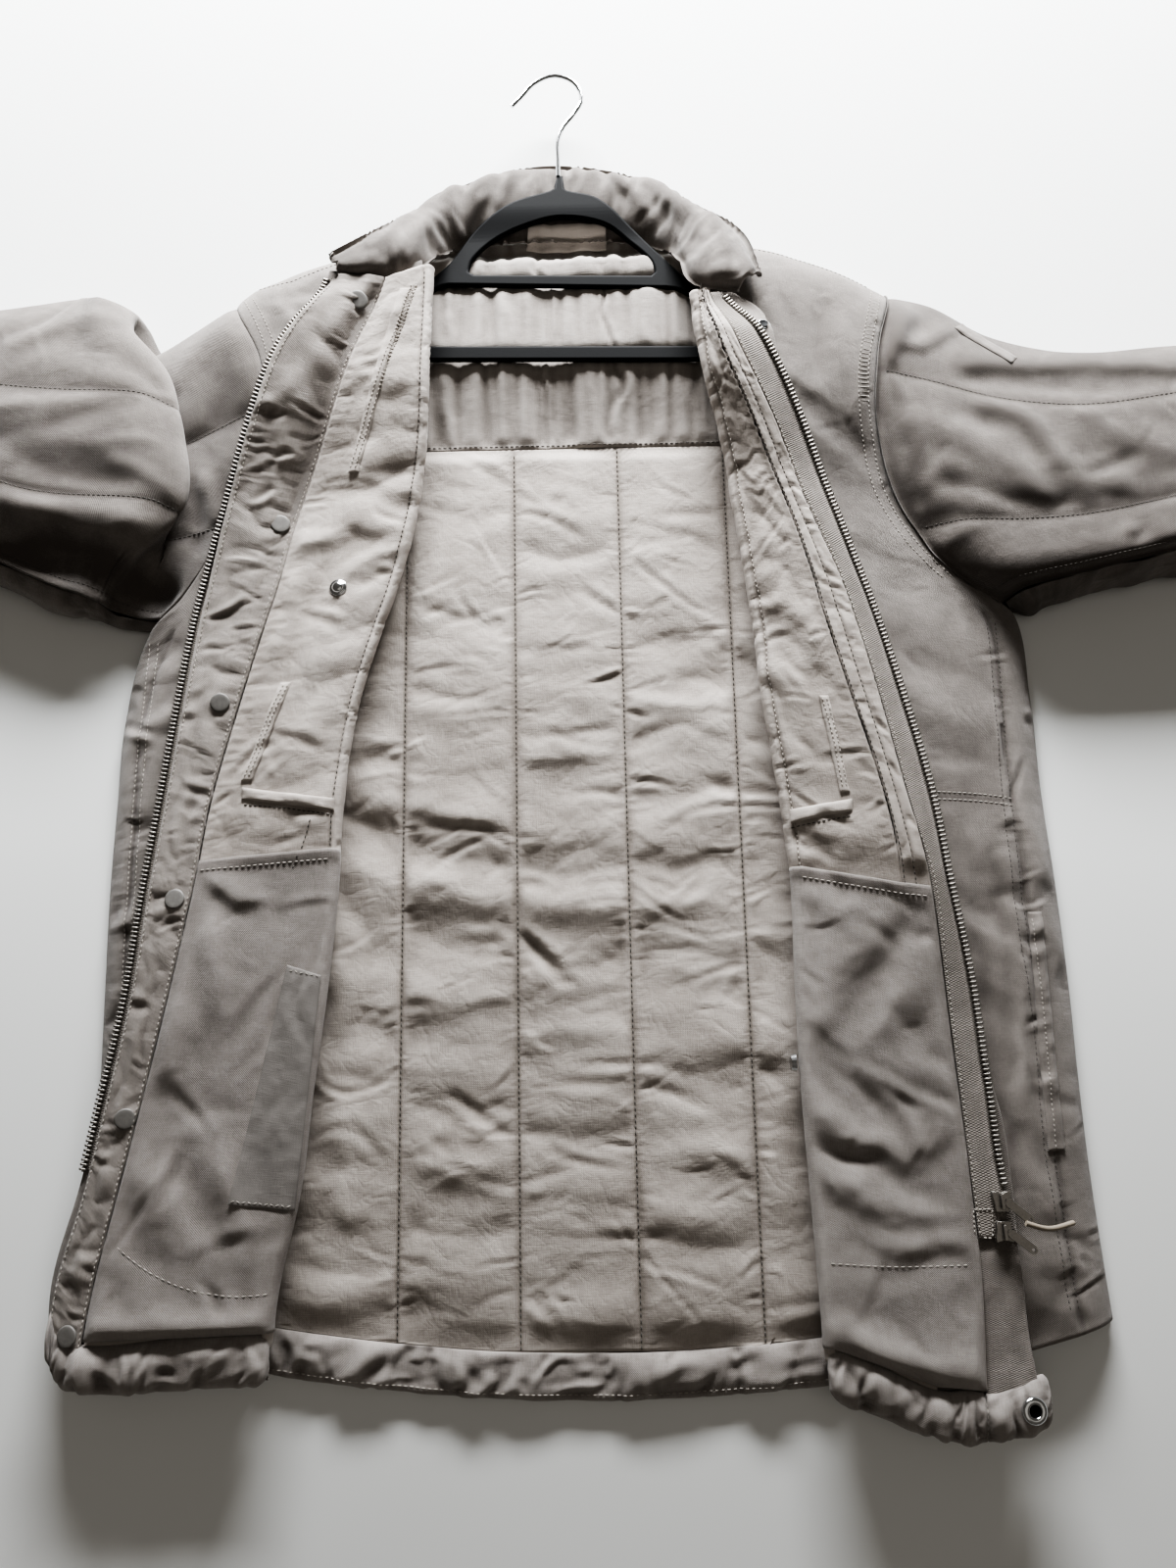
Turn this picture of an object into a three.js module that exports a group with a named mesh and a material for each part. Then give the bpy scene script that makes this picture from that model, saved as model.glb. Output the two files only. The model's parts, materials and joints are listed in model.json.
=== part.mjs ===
// A quilted jacket on a hanger, laid open on a flat surface: sleeves out to the sides, both fronts turned back.
// Millimetres. X runs across the garment, Y from hem to collar, Z up from the surface it lies on.
import * as THREE from "three";

// ---- named sizes ----
const SHELL = 2.0; // outer cloth with its thin wadding
const BACK = 1.8; // back shell, flat under the garment
const LINING = 3.0; // lining of the fronts with wadding
const FACING = 3.2; // facing beside the zip, four layers of cloth
const POCKET = 1.4; // single cloth
const GAP = 0.35; // between pieces that touch
const SEAM = 0.2; // each side of a seam
const BODY_RISE = 14; // how far the fronts stand off the back
const SHOULDER_RISE = 17; // more of it where the hanger lies inside
const ARMPIT_Y = 86;
const QUILT_LOW = 5.2; // quilted lining at a seam line
const QUILT_HIGH = 9.2; // quilted lining between seam lines
const SLEEVE_WALL = 2.4;
const SLEEVE_GAP = 2.1; // armhole edges are cut on chords of one curve
const CUFF_X = 820; // where the sleeve ends and the cuff band starts
const CUFF_W = 40;
const COLLAR_WALL = 4;
const SNAP_R = 6.5;
const SNAP_H = 1.8;
const WIRE_R = 1.7;
const CORD_R = 1.6;

// ---- cross-sections of the laid-out garment, one row each: where its lines lie at that height ----
const SECTIONS = [
  { y: -440, sideR: -322, foldR: -201, seamR: -319, zipR: -340, foldL: 139, seamL: 204, tapeL: 232, zipL: 266, sideL: 325 },
  { y: -400, sideR: -322, foldR: -201, seamR: -319, zipR: -342, foldL: 137, seamL: 204, tapeL: 234, zipL: 266, sideL: 324 },
  { y: -350, sideR: -322, foldR: -198, seamR: -313, zipR: -344, foldL: 136, seamL: 204, tapeL: 236, zipL: 265, sideL: 321 },
  { y: -290, sideR: -323, foldR: -186, seamR: -300, zipR: -328, foldL: 134, seamL: 204, tapeL: 234, zipL: 254, sideL: 318 },
  { y: -230, sideR: -324, foldR: -180, seamR: -287, zipR: -316, foldL: 132, seamL: 204, tapeL: 231, zipL: 250, sideL: 317 },
  { y: -170, sideR: -325, foldR: -173, seamR: -275, zipR: -305, foldL: 132, seamL: 204, tapeL: 227, zipL: 245, sideL: 317 },
  { y: -100, sideR: -326, foldR: -167, seamR: -262, zipR: -297, foldL: 133, seamL: 203, tapeL: 221, zipL: 234, sideL: 315 },
  { y: -40, sideR: -325, foldR: -165, seamR: -253, zipR: -289, foldL: 128, seamL: 194, tapeL: 209, zipL: 226, sideL: 312 },
  { y: 30, sideR: -322, foldR: -155, seamR: -236, zipR: -280, foldL: 120, seamL: 176, tapeL: 195, zipL: 211, sideL: 311 },
  { y: 86, sideR: -305, foldR: -139, seamR: -221, zipR: -272, foldL: 116, seamL: 162, tapeL: 182, zipL: 197, sideL: 304 },
  { y: 110, sideR: -283, foldR: -131, seamR: -214, zipR: -267, foldL: 114, seamL: 157, tapeL: 175, zipL: 190, sideL: 268 },
  { y: 160, sideR: -256, foldR: -119, seamR: -202, zipR: -255, foldL: 109, seamL: 143, tapeL: 157, zipL: 175, sideL: 231 },
  { y: 220, sideR: -232, foldR: -110, seamR: -183, zipR: -238, foldL: 99, seamL: 122, tapeL: 137, zipL: 156, sideL: 214 },
  { y: 280, sideR: -229, foldR: -107, seamR: -163, zipR: -216, foldL: 86, seamL: 99, tapeL: 111, zipL: 131, sideL: 215 },
  { y: 340, sideR: -254, foldR: -105, seamR: -140, zipR: -183, foldL: 80, seamL: 90, tapeL: 97, zipL: 106, sideL: 230 },
  { y: 410, sideR: -256, foldR: -104, seamR: -136, zipR: -178, foldL: 80, seamL: 90, tapeL: 97, zipL: 106, sideL: 232 },
];
// shoulder and back neck, seen from above
const SHOULDER = [
  { x: -330, y: 310 }, { x: -256, y: 345 }, { x: -238, y: 361 }, { x: -197, y: 378 }, { x: -148, y: 394 }, { x: -90, y: 400 },
  { x: 0, y: 398 }, { x: 70, y: 398 }, { x: 127, y: 388 }, { x: 156, y: 381 }, { x: 190, y: 366 }, { x: 232, y: 342 }, { x: 320, y: 305 },
];
const HEM = [
  { x: -322, y: -372 }, { x: -250, y: -390 }, { x: -200, y: -402 }, { x: -87, y: -416 }, { x: 0, y: -420 }, { x: 65, y: -419 },
  { x: 142, y: -413 }, { x: 220, y: -398 }, { x: 324, y: -378 },
];
// where each front's columns start and end
const FRONT_R = { under: [-374, -396, -400], flap: [-402, -405, -386], neck: [352, 342, 345] };
const FRONT_L = { under: [-379, -400, -405], flap: [-417, -440, -443], neck: [327, 326, 325] };
// rows of the fronts as shares of their length, from the hem up
const FRONT_ROWS = [0, 0.04, 0.075, 0.13, 0.24, 0.35, 0.415, 0.46, 0.54, 0.615, 0.66, 0.7, 0.76, 0.83, 0.91, 1];
const ROW = { hemRoll: 1, pocketTop: 6, tapeFoot: 3, neck: 15 };
const UNDER_COLS = [0, 0.05, 0.13, 0.28, 0.5, 0.76, 1];
const BEND = [-60, 0, 60]; // degrees round the fold line
const LINING_COLS = [0, 0.12, 0.34, 0.58, 0.82, 1];
const FACING_COLS = [0, 0.34, 0.68, 1];
// storm flap on the wearer's left front: how far it reaches past the zip
const STORM = [{ y: -440, out: 4 }, { y: -420, out: 5 }, { y: -404, out: -3 }, { y: -345, out: -4 }, { y: -300, out: 5 }, { y: -262, out: 7 }, { y: -225, out: 2 }, { y: -190, out: -3 }, { y: 230, out: -3 }, { y: 262, out: 1 }, { y: 295, out: 12 }, { y: 312, out: 16 }, { y: 330, out: 2 }];
// vertical quilting lines of the back lining
const QUILT_X = [-302, -204, -127, -50, 27, 104, 181, 300];
const QUILT_ROWS = [-388, -355, -220, -120, -92, -64, 40, 120, 224.6];
// sleeves: a row for each section from the body to the cuff
// `joins` are the sections between armhole and sleeve: k is their share of the way, out and deep the overlap of a fold
const JOINS_R = [
  { k: 0.42, top: 302, seam: 98, bot: 91, h: 0.42, out: -19, deep: 1 },
  { k: 0.62, top: 332, seam: 102, bot: 93, h: 0.66, out: 0, deep: 1 },
  { k: 0.8, top: 343, seam: 107, bot: 96, h: 0.93, out: -19, deep: 1 },
];
const JOINS_L = [
  { k: 0.3, top: 327, seam: 98, bot: 86, h: 0.78, out: 0, deep: 0 },
  { k: 0.65, top: 300, seam: 102, bot: 90, h: 0.92, out: 0, deep: 0 },
];
const SLEEVE_R = [
  { x: -362, top: 343, seam: 112, bot: 99, h: 49 },
  { x: -428, top: 333, seam: 141, bot: 127, h: 52 },
  { x: -545, top: 322, seam: 164, bot: 148, h: 50 },
  { x: -680, top: 306, seam: 168, bot: 151, h: 44 },
  { x: -770, top: 296, seam: 164, bot: 149, h: 39 },
  { x: -CUFF_X, top: 288, seam: 161, bot: 147, h: 34 },
];
const SLEEVE_L = [
  { x: 338, top: 286, seam: 106, bot: 95, h: 42 },
  { x: 440, top: 285, seam: 127, bot: 115, h: 48 },
  { x: 560, top: 279, seam: 144, bot: 130, h: 48 },
  { x: 690, top: 270, seam: 149, bot: 134, h: 43 },
  { x: CUFF_X, top: 260, seam: 147, bot: 134, h: 34 },
];
// the deep fold across the wearer's right sleeve: its edge, seen from above
const OVERLAP = [{ y: 90, x: -300 }, { y: 108, x: -272 }, { y: 146, x: -276 }, { y: 185, x: -277 }, { y: 237, x: -285 }, { y: 276, x: -298 }, { y: 300, x: -322 }, { y: 340, x: -334 }];
// round a sleeve: share from the under-arm seam to the outer fold, share of its height
const TOP_SLEEVE = [
  { w: 0.004, h: 0.66 }, { w: 0.1, h: 0.84 }, { w: 0.28, h: 0.97 }, { w: 0.52, h: 1.0 }, { w: 0.76, h: 0.92 },
  { w: 0.92, h: 0.72 }, { w: 1.0, h: 0.42 }, { w: 0.975, h: 0.12 }, { w: 0.88, h: 0 },
];
const UNDER_SLEEVE = [{ w: 0.87, h: 0 }, { w: 0.7, h: 0 }, { w: 0.53, h: 0 }, { w: 0.36, h: 0 }, { w: 0.2, h: 0 }, { w: 0.07, h: 0 }];
// the collar: a row for each section, inner seam point, outer edge point, heights; stand 1 = upright, 0 = rolled flat
const COLLAR = [
  { ix: -176, iy: 348.5, ox: -183, oy: 355, zi: 41.5, top: 47, lip: 43, stand: 0 },
  { ix: -150, iy: 346, ox: -158, oy: 372, zi: 41, top: 50, lip: 40, stand: 0 },
  { ix: -124, iy: 349, ox: -144, oy: 385, zi: 40, top: 52, lip: 34, stand: 0 },
  { ix: -112, iy: 362, ox: -136, oy: 401, zi: 38, top: 52, lip: 22, stand: 0.1 },
  { ix: -101, iy: 382, ox: -117, oy: 421, zi: 24, top: 50, lip: 14, stand: 0.4 },
  { ix: -78, iy: 392, ox: -84, oy: 444, zi: 9, top: 40, lip: 10, stand: 1 },
  { ix: -50, iy: 392, ox: -50, oy: 453, zi: 8, top: 34, lip: 9, stand: 1 },
  { ix: -26, iy: 393, ox: -26, oy: 455, zi: 7, top: 17.5, lip: 8, stand: 1 },
  { ix: 0, iy: 393, ox: 1, oy: 455, zi: 7, top: 17, lip: 8, stand: 1 },
  { ix: 26, iy: 392, ox: 32, oy: 449, zi: 8, top: 33, lip: 9, stand: 1 },
  { ix: 56, iy: 392, ox: 64, oy: 439, zi: 9, top: 40, lip: 10, stand: 1 },
  { ix: 77, iy: 381, ox: 94, oy: 415, zi: 24, top: 50, lip: 14, stand: 0.4 },
  { ix: 88, iy: 359, ox: 114, oy: 391, zi: 38, top: 52, lip: 26, stand: 0.1 },
  { ix: 86, iy: 337, ox: 124, oy: 366, zi: 41, top: 52, lip: 37, stand: 0 },
  { ix: 106, iy: 331.5, ox: 127, oy: 345, zi: 41.5, top: 50, lip: 41, stand: 0 },
  { ix: 122, iy: 329.5, ox: 130, oy: 333, zi: 42, top: 47, lip: 43, stand: 0 },
];
const ROLL_PATH = { w: [0, 0.14, 0.45, 0.8, 1], f: [0, 0.66, 1, 0.8, 0] };
const STAND_PATH = { w: [0, 0.55, 0.7, 0.9, 1], f: [0, 0.2, 0.86, 0.92, 0] };
// hanger outline, seen from above
const HANGER_Z = 20.6;
const HANGER_T = 8;
const HANGER_TIP = { y: 302, r: -196, l: 172 };
const ARCH = [{ x: -88, top: 378, bot: 368 }, { x: -70, top: 398, bot: 384 }, { x: -54, top: 413, bot: 397 }, { x: -33, top: 424, bot: 405 }, { x: -12, top: 427, bot: 409 }, { x: 8, top: 424, bot: 405 }, { x: 28, top: 414, bot: 397 }, { x: 44, top: 400, bot: 385 }, { x: 62, top: 380, bot: 370 }];
const BAR_UP = { y0: 358, y1: 366 };
const BAR_DOWN = { y0: 294, y1: 304 };
const HOOK = [{ x: -13, y: 440 }, { x: -13, y: 456 }, { x: -13, y: 470 }, { x: -9, y: 483 }, { x: -1, y: 494 }, { x: 6, y: 508 }, { x: 1, y: 523 }, { x: -15, y: 530 }, { x: -31, y: 523 }, { x: -40, y: 512 }, { x: -48, y: 503 }];
const SNAPS = [{ x: -158, y: 323 }, { x: -213, y: 159 }, { x: -249, y: 28 }, { x: -273, y: -105 }, { x: -297, y: -244 }, { x: -326, y: -366 }];

// ---- interpolation ----
const lerp = (a, b, t) => a + (b - a) * t;
const clamp = (v, a, b) => Math.min(b, Math.max(a, v));
const ramp = (a, b, v) => {
  const t = clamp((v - a) / (b - a), 0, 1);
  return t * t * (3 - 2 * t);
};
// smooth value of column `col` of a table sorted by `key`
function at(table, key, col, v) {
  const n = table.length;
  if (v <= table[0][key]) return table[0][col];
  if (v >= table[n - 1][key]) return table[n - 1][col];
  let i = 0;
  while (table[i + 1][key] < v) i++;
  const slope = (k) => {
    const a = table[Math.max(0, k - 1)], b = table[Math.min(n - 1, k + 1)];
    return (b[col] - a[col]) / (b[key] - a[key]);
  };
  const a = table[i], b = table[i + 1], h = b[key] - a[key], t = (v - a[key]) / h;
  return (2 * t ** 3 - 3 * t * t + 1) * a[col] + (t ** 3 - 2 * t * t + t) * h * slope(i) + (-2 * t ** 3 + 3 * t * t) * b[col] + (t ** 3 - t * t) * h * slope(i + 1);
}
const lineX = (name, y) => at(SECTIONS, "y", name, y);
const shoulderY = (x) => at(SHOULDER, "x", "y", x);

// ---- heights of the layers ----
// distance inside the garment's outer fold, seen from above
function inset(x, y) {
  const side = (x < 0 ? -lineX("sideR", Math.min(y, 30)) : lineX("sideL", Math.min(y, 30))) - Math.abs(x);
  const top = (shoulderY(x) - y) * 0.9;
  const k = 12;
  return -k * Math.log(Math.exp(-side / k) + Math.exp(-Math.min(top, 400) / k));
}
const rise = (y) => BODY_RISE + SHOULDER_RISE * ramp(170, 285, y);
const underZ = (x, y) => 4 + rise(y) * (1 - Math.exp(-Math.max(0, inset(x, y)) / 13));
const flapZ = (x, y) => 10 + rise(Math.min(y, 330)) * (1 - Math.exp(-Math.max(0, Math.min(inset(x, Math.min(y, 318)), 200) + 30) / 25));

// ---- solids from grids of points ----
function closedGrid(bottom, top) {
  const rows = bottom.length, cols = bottom[0].length, pos = [], idx = [];
  for (const g of [bottom, top]) for (const row of g) for (const p of row) pos.push(...p);
  const id = (g, i, j) => g * rows * cols + i * cols + j;
  const quad = (a, b, c, d) => idx.push(a, b, c, a, c, d);
  for (let i = 0; i < rows - 1; i++)
    for (let j = 0; j < cols - 1; j++) {
      quad(id(1, i, j), id(1, i, j + 1), id(1, i + 1, j + 1), id(1, i + 1, j));
      quad(id(0, i, j), id(0, i + 1, j), id(0, i + 1, j + 1), id(0, i, j + 1));
    }
  for (let j = 0; j < cols - 1; j++) {
    quad(id(0, 0, j), id(0, 0, j + 1), id(1, 0, j + 1), id(1, 0, j));
    quad(id(0, rows - 1, j + 1), id(0, rows - 1, j), id(1, rows - 1, j), id(1, rows - 1, j + 1));
  }
  for (let i = 0; i < rows - 1; i++) {
    quad(id(0, i + 1, 0), id(0, i, 0), id(1, i, 0), id(1, i + 1, 0));
    quad(id(0, i, cols - 1), id(0, i + 1, cols - 1), id(1, i + 1, cols - 1), id(1, i, cols - 1));
  }
  let volume = 0;
  const v = (k) => [pos[3 * k], pos[3 * k + 1], pos[3 * k + 2]];
  for (let k = 0; k < idx.length; k += 3) {
    const [a, b, c] = [v(idx[k]), v(idx[k + 1]), v(idx[k + 2])];
    volume += a[0] * (b[1] * c[2] - b[2] * c[1]) - a[1] * (b[0] * c[2] - b[2] * c[0]) + a[2] * (b[0] * c[1] - b[1] * c[0]);
  }
  if (volume < 0) for (let k = 0; k < idx.length; k += 3) [idx[k + 1], idx[k + 2]] = [idx[k + 2], idx[k + 1]];
  const g = new THREE.BufferGeometry();
  g.setAttribute("position", new THREE.Float32BufferAttribute(pos, 3));
  g.setIndex(idx);
  g.computeVertexNormals();
  return g;
}
function normals(grid) {
  const R = grid.length, C = grid[0].length;
  return grid.map((row, i) => row.map((_, j) => {
    const a = grid[i][Math.max(0, j - 1)], b = grid[i][Math.min(C - 1, j + 1)];
    const c = grid[Math.max(0, i - 1)][j], d = grid[Math.min(R - 1, i + 1)][j];
    const u = [b[0] - a[0], b[1] - a[1], b[2] - a[2]], w = [d[0] - c[0], d[1] - c[1], d[2] - c[2]];
    const n = [u[1] * w[2] - u[2] * w[1], u[2] * w[0] - u[0] * w[2], u[0] * w[1] - u[1] * w[0]];
    const l = Math.hypot(...n) || 1;
    return n.map((q) => q / l);
  }));
}
const moved = (grid, nrm, d) => grid.map((row, i) => row.map((p, j) => {
  const s = typeof d === "function" ? d(i, j) : d;
  return [p[0] + nrm[i][j][0] * s, p[1] + nrm[i][j][1] * s, p[2] + nrm[i][j][2] * s];
}));
function wall(grid, thickness) {
  const n = normals(grid);
  const down = (g) => g.map((r) => r.map((p) => [p[0], p[1], Math.max(0, p[2])])); // nothing below the surface it lies on
  return closedGrid(down(moved(grid, n, -thickness / 2)), down(moved(grid, n, thickness / 2)));
}
const slice = (grid, i0, i1, j0, j1) => grid.slice(i0, i1 + 1).map((r) => r.slice(j0, j1 + 1).map((p) => [...p]));
// pull the rim of a grid in by SEAM on the sides named
function trimmed(grid, { left, right, low, high }) {
  const g = grid.map((r) => r.map((p) => [...p])), R = g.length, C = g[0].length;
  const pull = (p, q) => {
    const d = Math.hypot(q[0] - p[0], q[1] - p[1], q[2] - p[2]) || 1;
    return [0, 1, 2].map((k) => p[k] + ((q[k] - p[k]) * SEAM) / d);
  };
  for (let i = 0; i < R; i++) {
    if (left) g[i][0] = pull(g[i][0], g[i][1]);
    if (right) g[i][C - 1] = pull(g[i][C - 1], g[i][C - 2]);
  }
  for (let j = 0; j < C; j++) {
    if (low) g[0][j] = pull(g[0][j], g[1][j]);
    if (high) g[R - 1][j] = pull(g[R - 1][j], g[R - 2][j]);
  }
  return g;
}

// ---- the group ----
const garment = new THREE.Group();
const COLOR = { shell: 0xa39a8f, lining: 0xb9afa3, facing: 0xada499, label: 0x8f8c88, snap: 0x8d8984, metal: 0x9a9288, black: 0x232427, chrome: 0xc4c6c9, cord: 0xb6a98f, tape: 0xa1988a };
function add(name, geometry, color, roughness = 0.9, metalness = 0) {
  const m = new THREE.Mesh(geometry, new THREE.MeshStandardMaterial({ color: COLOR[color], roughness, metalness }));
  m.name = name;
  garment.add(m);
  return m;
}

// the turned-back edge stands up beside the zip, where the collar's weight pulls it
function crest(letter, x, y) {
  if (letter === "R") return 9 * ramp(90, 220, y) * ramp(342, 300, y) * clamp((lineX("seamR", y) - x) / (lineX("seamR", y) - lineX("zipR", y)), 0, 1);
  return 7 * ramp(-230, -60, y) * ramp(322, 285, y) * clamp((x - lineX("foldL", y)) / (lineX("seamL", y) - lineX("foldL", y)), 0, 1);
}
// ---- fronts: under part from the side seam, round the fold line, then the turned-back flap ----
function front(letter, dir) {
  const spec = letter === "R" ? FRONT_R : FRONT_L;
  const X = (n, y) => lineX(n + letter, y);
  const cols = [];
  for (const u of UNDER_COLS)
    cols.push((v) => {
      const neck = u === 1 ? spec.neck[0] : null;
      const low = u < 0.5 ? lerp(spec.under[0], spec.under[1], u * 2) : lerp(spec.under[1], spec.under[2], u * 2 - 1);
      const xTop = lerp(X("side", 345), X("fold", 352) - dir * 3, u);
      const high = neck ?? (u > 0.7 ? lerp(shoulderY(xTop), spec.neck[0], ramp(0.6, 1.05, u)) : shoulderY(xTop) - (u === 0 ? 2 : 0));
      const y = lerp(low, high, v);
      const x = lerp(X("side", y), X("fold", y) - dir * 3, u);
      return [x, y, underZ(x, y)];
    });
  for (const a of BEND)
    cols.push((v) => {
      const y = lerp(spec.flap[0], spec.neck[0], v), x = X("fold", y) - dir * 3;
      const lo = underZ(x, y), hi = flapZ(x, y), r = (hi - lo) / 2, t = THREE.MathUtils.degToRad(a);
      return [x + dir * 3.4 * Math.cos(t), y, (lo + hi) / 2 + r * Math.sin(t)];
    });
  const flapCol = (a, b, t, ka, kb) => (v) => {
    const y = lerp(lerp(spec.flap[ka], spec.flap[kb], t), lerp(spec.neck[ka], spec.neck[kb], t), v);
    const x = lerp(X(a, y) - (a === "fold" ? dir * 3 : 0), X(b, y), t);
    return [x, y, flapZ(x, y) + crest(letter, x, y)];
  };
  for (const t of LINING_COLS) cols.push(flapCol("fold", "seam", t, 0, 1));
  for (const t of FACING_COLS.slice(1)) cols.push(flapCol("seam", letter === "R" ? "zip" : "tape", t, 1, 2));
  return FRONT_ROWS.map((v) => cols.map((c) => c(v)));
}
const FLAP0 = UNDER_COLS.length + BEND.length; // first flap column
const SEAMC = FLAP0 + LINING_COLS.length - 1;
const LASTC = SEAMC + FACING_COLS.length - 1;
const LASTR = FRONT_ROWS.length - 1;

// pieces that lie on a flap are its own points, moved up; `stack` keeps how high each point already is
function flapLayers(grid, up) {
  const nrm = normals(grid).map((r) => r.map((n) => n.map((q) => q * up)));
  const stack = grid.map((r) => r.map(() => SHELL / 2));
  return {
    put(name, color, [i0, i1, j0, j1], thick, trim, rough = 0.9) {
      const t = typeof thick === "function" ? thick : () => thick;
      const g = trimmed(slice(grid, i0, i1, j0, j1), trim), n = slice(nrm, i0, i1, j0, j1);
      const base = g.map((r, i) => r.map((_, j) => stack[i + i0][j + j0] + GAP));
      add(name, closedGrid(moved(g, n, (i, j) => base[i][j]), moved(g, n, (i, j) => base[i][j] + t(i, j))), color, rough);
      for (let i = i0; i <= i1; i++) for (let j = j0; j <= j1; j++) stack[i][j] = Math.max(stack[i][j], base[i - i0][j - j0] + t(i - i0, j - j0));
    },
    // height of the top of the stack over a point (x, y)
    height(x, y) {
      let best = -1;
      for (let i = 0; i < grid.length - 1; i++)
        for (let j = FLAP0; j < grid[0].length - 1; j++) {
          const P = (a, b) => [0, 1, 2].map((k) => grid[a][b][k] + nrm[a][b][k] * stack[a][b]);
          const q = [P(i, j), P(i, j + 1), P(i + 1, j + 1), P(i + 1, j)];
          for (const [a, b, c] of [[q[0], q[1], q[2]], [q[0], q[2], q[3]]]) {
            const det = (b[1] - c[1]) * (a[0] - c[0]) + (c[0] - b[0]) * (a[1] - c[1]);
            const l1 = ((b[1] - c[1]) * (x - c[0]) + (c[0] - b[0]) * (y - c[1])) / det;
            const l2 = ((c[1] - a[1]) * (x - c[0]) + (a[0] - c[0]) * (y - c[1])) / det;
            if (l1 >= -1e-6 && l2 >= -1e-6 && l1 + l2 <= 1 + 1e-6) best = Math.max(best, l1 * a[2] + l2 * b[2] + (1 - l1 - l2) * c[2]);
          }
        }
      return best;
    },
  };
}
// a thin patch over four corners, following the height function
function patch(corners, nu, nv, height, gap, thick) {
  const [a, b, c, d] = corners, pts = [];
  for (let i = 0; i <= nv; i++) {
    const row = [];
    for (let j = 0; j <= nu; j++) {
      const s = j / nu, t = i / nv;
      const x = lerp(lerp(a[0], b[0], s), lerp(d[0], c[0], s), t), y = lerp(lerp(a[1], b[1], s), lerp(d[1], c[1], s), t);
      row.push([x, y, height(x, y)]);
    }
    pts.push(row);
  }
  const lift = (h) => pts.map((r) => r.map((p) => [p[0], p[1], p[2] + h]));
  return closedGrid(lift(gap), lift(gap + thick));
}
const overDisc = (height, x, y, r) => Math.max(...[0, 60, 120, 180, 240, 300].map((a) => height(x + r * Math.cos(a * Math.PI / 180), y + r * Math.sin(a * Math.PI / 180))), height(x, y));

const hemPuff = (cols) => (i, j) => (i === 0 ? 1.6 : 3.2 + 1.1 * Math.sin(j * 2.4 + cols));
const liningPuff = (i, j) => LINING + (j === 0 || j === 5 ? 0 : 1.0 + 0.7 * Math.sin(i * 1.7 + j));

// wearer's right front (on the -X side)
const gridR = front("R", 1);
add("front_r_shell", wall(gridR, SHELL), "shell");
const upR = Math.sign(normals(gridR)[5][FLAP0 + 2][2]);
const R = flapLayers(gridR, upR);
R.put("front_r_hem_facing", "facing", [0, ROW.hemRoll, FLAP0, LASTC], hemPuff(1), { high: true });
R.put("front_r_lining", "lining", [ROW.hemRoll, ROW.neck, FLAP0, SEAMC], liningPuff, { right: true, low: true });
R.put("front_r_facing", "facing", [ROW.hemRoll, ROW.neck, SEAMC, LASTC], (i, j) => FACING + (j === 1 || j === 2 ? 0.9 : 0), { left: true, low: true });
R.put("front_r_patch_pocket", "shell", [ROW.hemRoll, ROW.pocketTop, FLAP0, SEAMC - 0], POCKET, { low: true, right: true });

// wearer's left front (on the +X side)
const gridL = front("L", -1);
add("front_l_shell", wall(gridL, SHELL), "shell");
const upL = Math.sign(normals(gridL)[5][FLAP0 + 2][2]);
const L = flapLayers(gridL, upL);
L.put("front_l_hem_facing", "facing", [0, ROW.hemRoll, FLAP0, LASTC], hemPuff(3), { high: true });
L.put("front_l_lining", "lining", [ROW.hemRoll, ROW.neck, FLAP0, SEAMC], liningPuff, { right: true, low: true });
L.put("front_l_facing", "facing", [ROW.hemRoll, ROW.neck, SEAMC, LASTC], (i, j) => FACING + (j === 1 || j === 2 ? 0.7 : 0), { left: true, low: true });
L.put("front_l_patch_pocket", "shell", [ROW.hemRoll, ROW.pocketTop, FLAP0, LASTC], POCKET, { low: true, right: true });

// storm flap and zip tape carry on from the shell's last column on the wearer's left front
const stormCols = [0, 0.5, 1];
const stormGrid = FRONT_ROWS.map((v, i) => stormCols.map((t) => {
  const e = gridL[i][LASTC], y = e[1];
  const x0 = e[0] + 0.5, x1 = lineX("zipL", y) + at(STORM, "y", "out", y);
  const x = lerp(x0, Math.max(x1, x0 + 9), t);
  return [x, y - (i === 0 ? 1 * t : 0), flapZ(x, y) + crest("L", x, y)];
}));
add("storm_flap_l", wall(stormGrid, SHELL), "shell");
const stormN = normals(stormGrid).map((r) => r.map((n) => n.map((q) => q * Math.sign(n[2]))));
function tapeOn(rows) {
  const g = stormGrid.slice(rows[0], rows[1] + 1).map((r, i) => {
    const y = r[0][1], a = r[0][0] + 0.2, b = Math.max(lineX("zipL", y), a + 8), t = [0, 0.5, 1];
    return t.map((k) => [lerp(a, Math.min(b, r[2][0] + 3), k), y, flapZ(lerp(a, b, k), y) + crest("L", lerp(a, b, k), y)]);
  });
  const lift = (h) => g.map((r) => r.map((p) => [p[0], p[1], p[2] + h]));
  return closedGrid(lift(SHELL / 2 + 0.7), lift(SHELL / 2 + 0.7 + 1.6));
}
add("zip_tape_l", tapeOn([ROW.tapeFoot, ROW.neck]), "tape");
// the hem facing's last piece, across the foot of the storm flap
{
  const g = trimmed(stormGrid.slice(0, ROW.hemRoll + 1), { left: true, high: true }), n = stormN.slice(0, ROW.hemRoll + 1);
  add("front_l_hem_end", closedGrid(moved(g, n, () => SHELL / 2 + GAP), moved(g, n, (i, j) => SHELL / 2 + GAP + (i === 0 ? 1.6 : 3.2 - 0.4 * j))), "facing");
}
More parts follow.
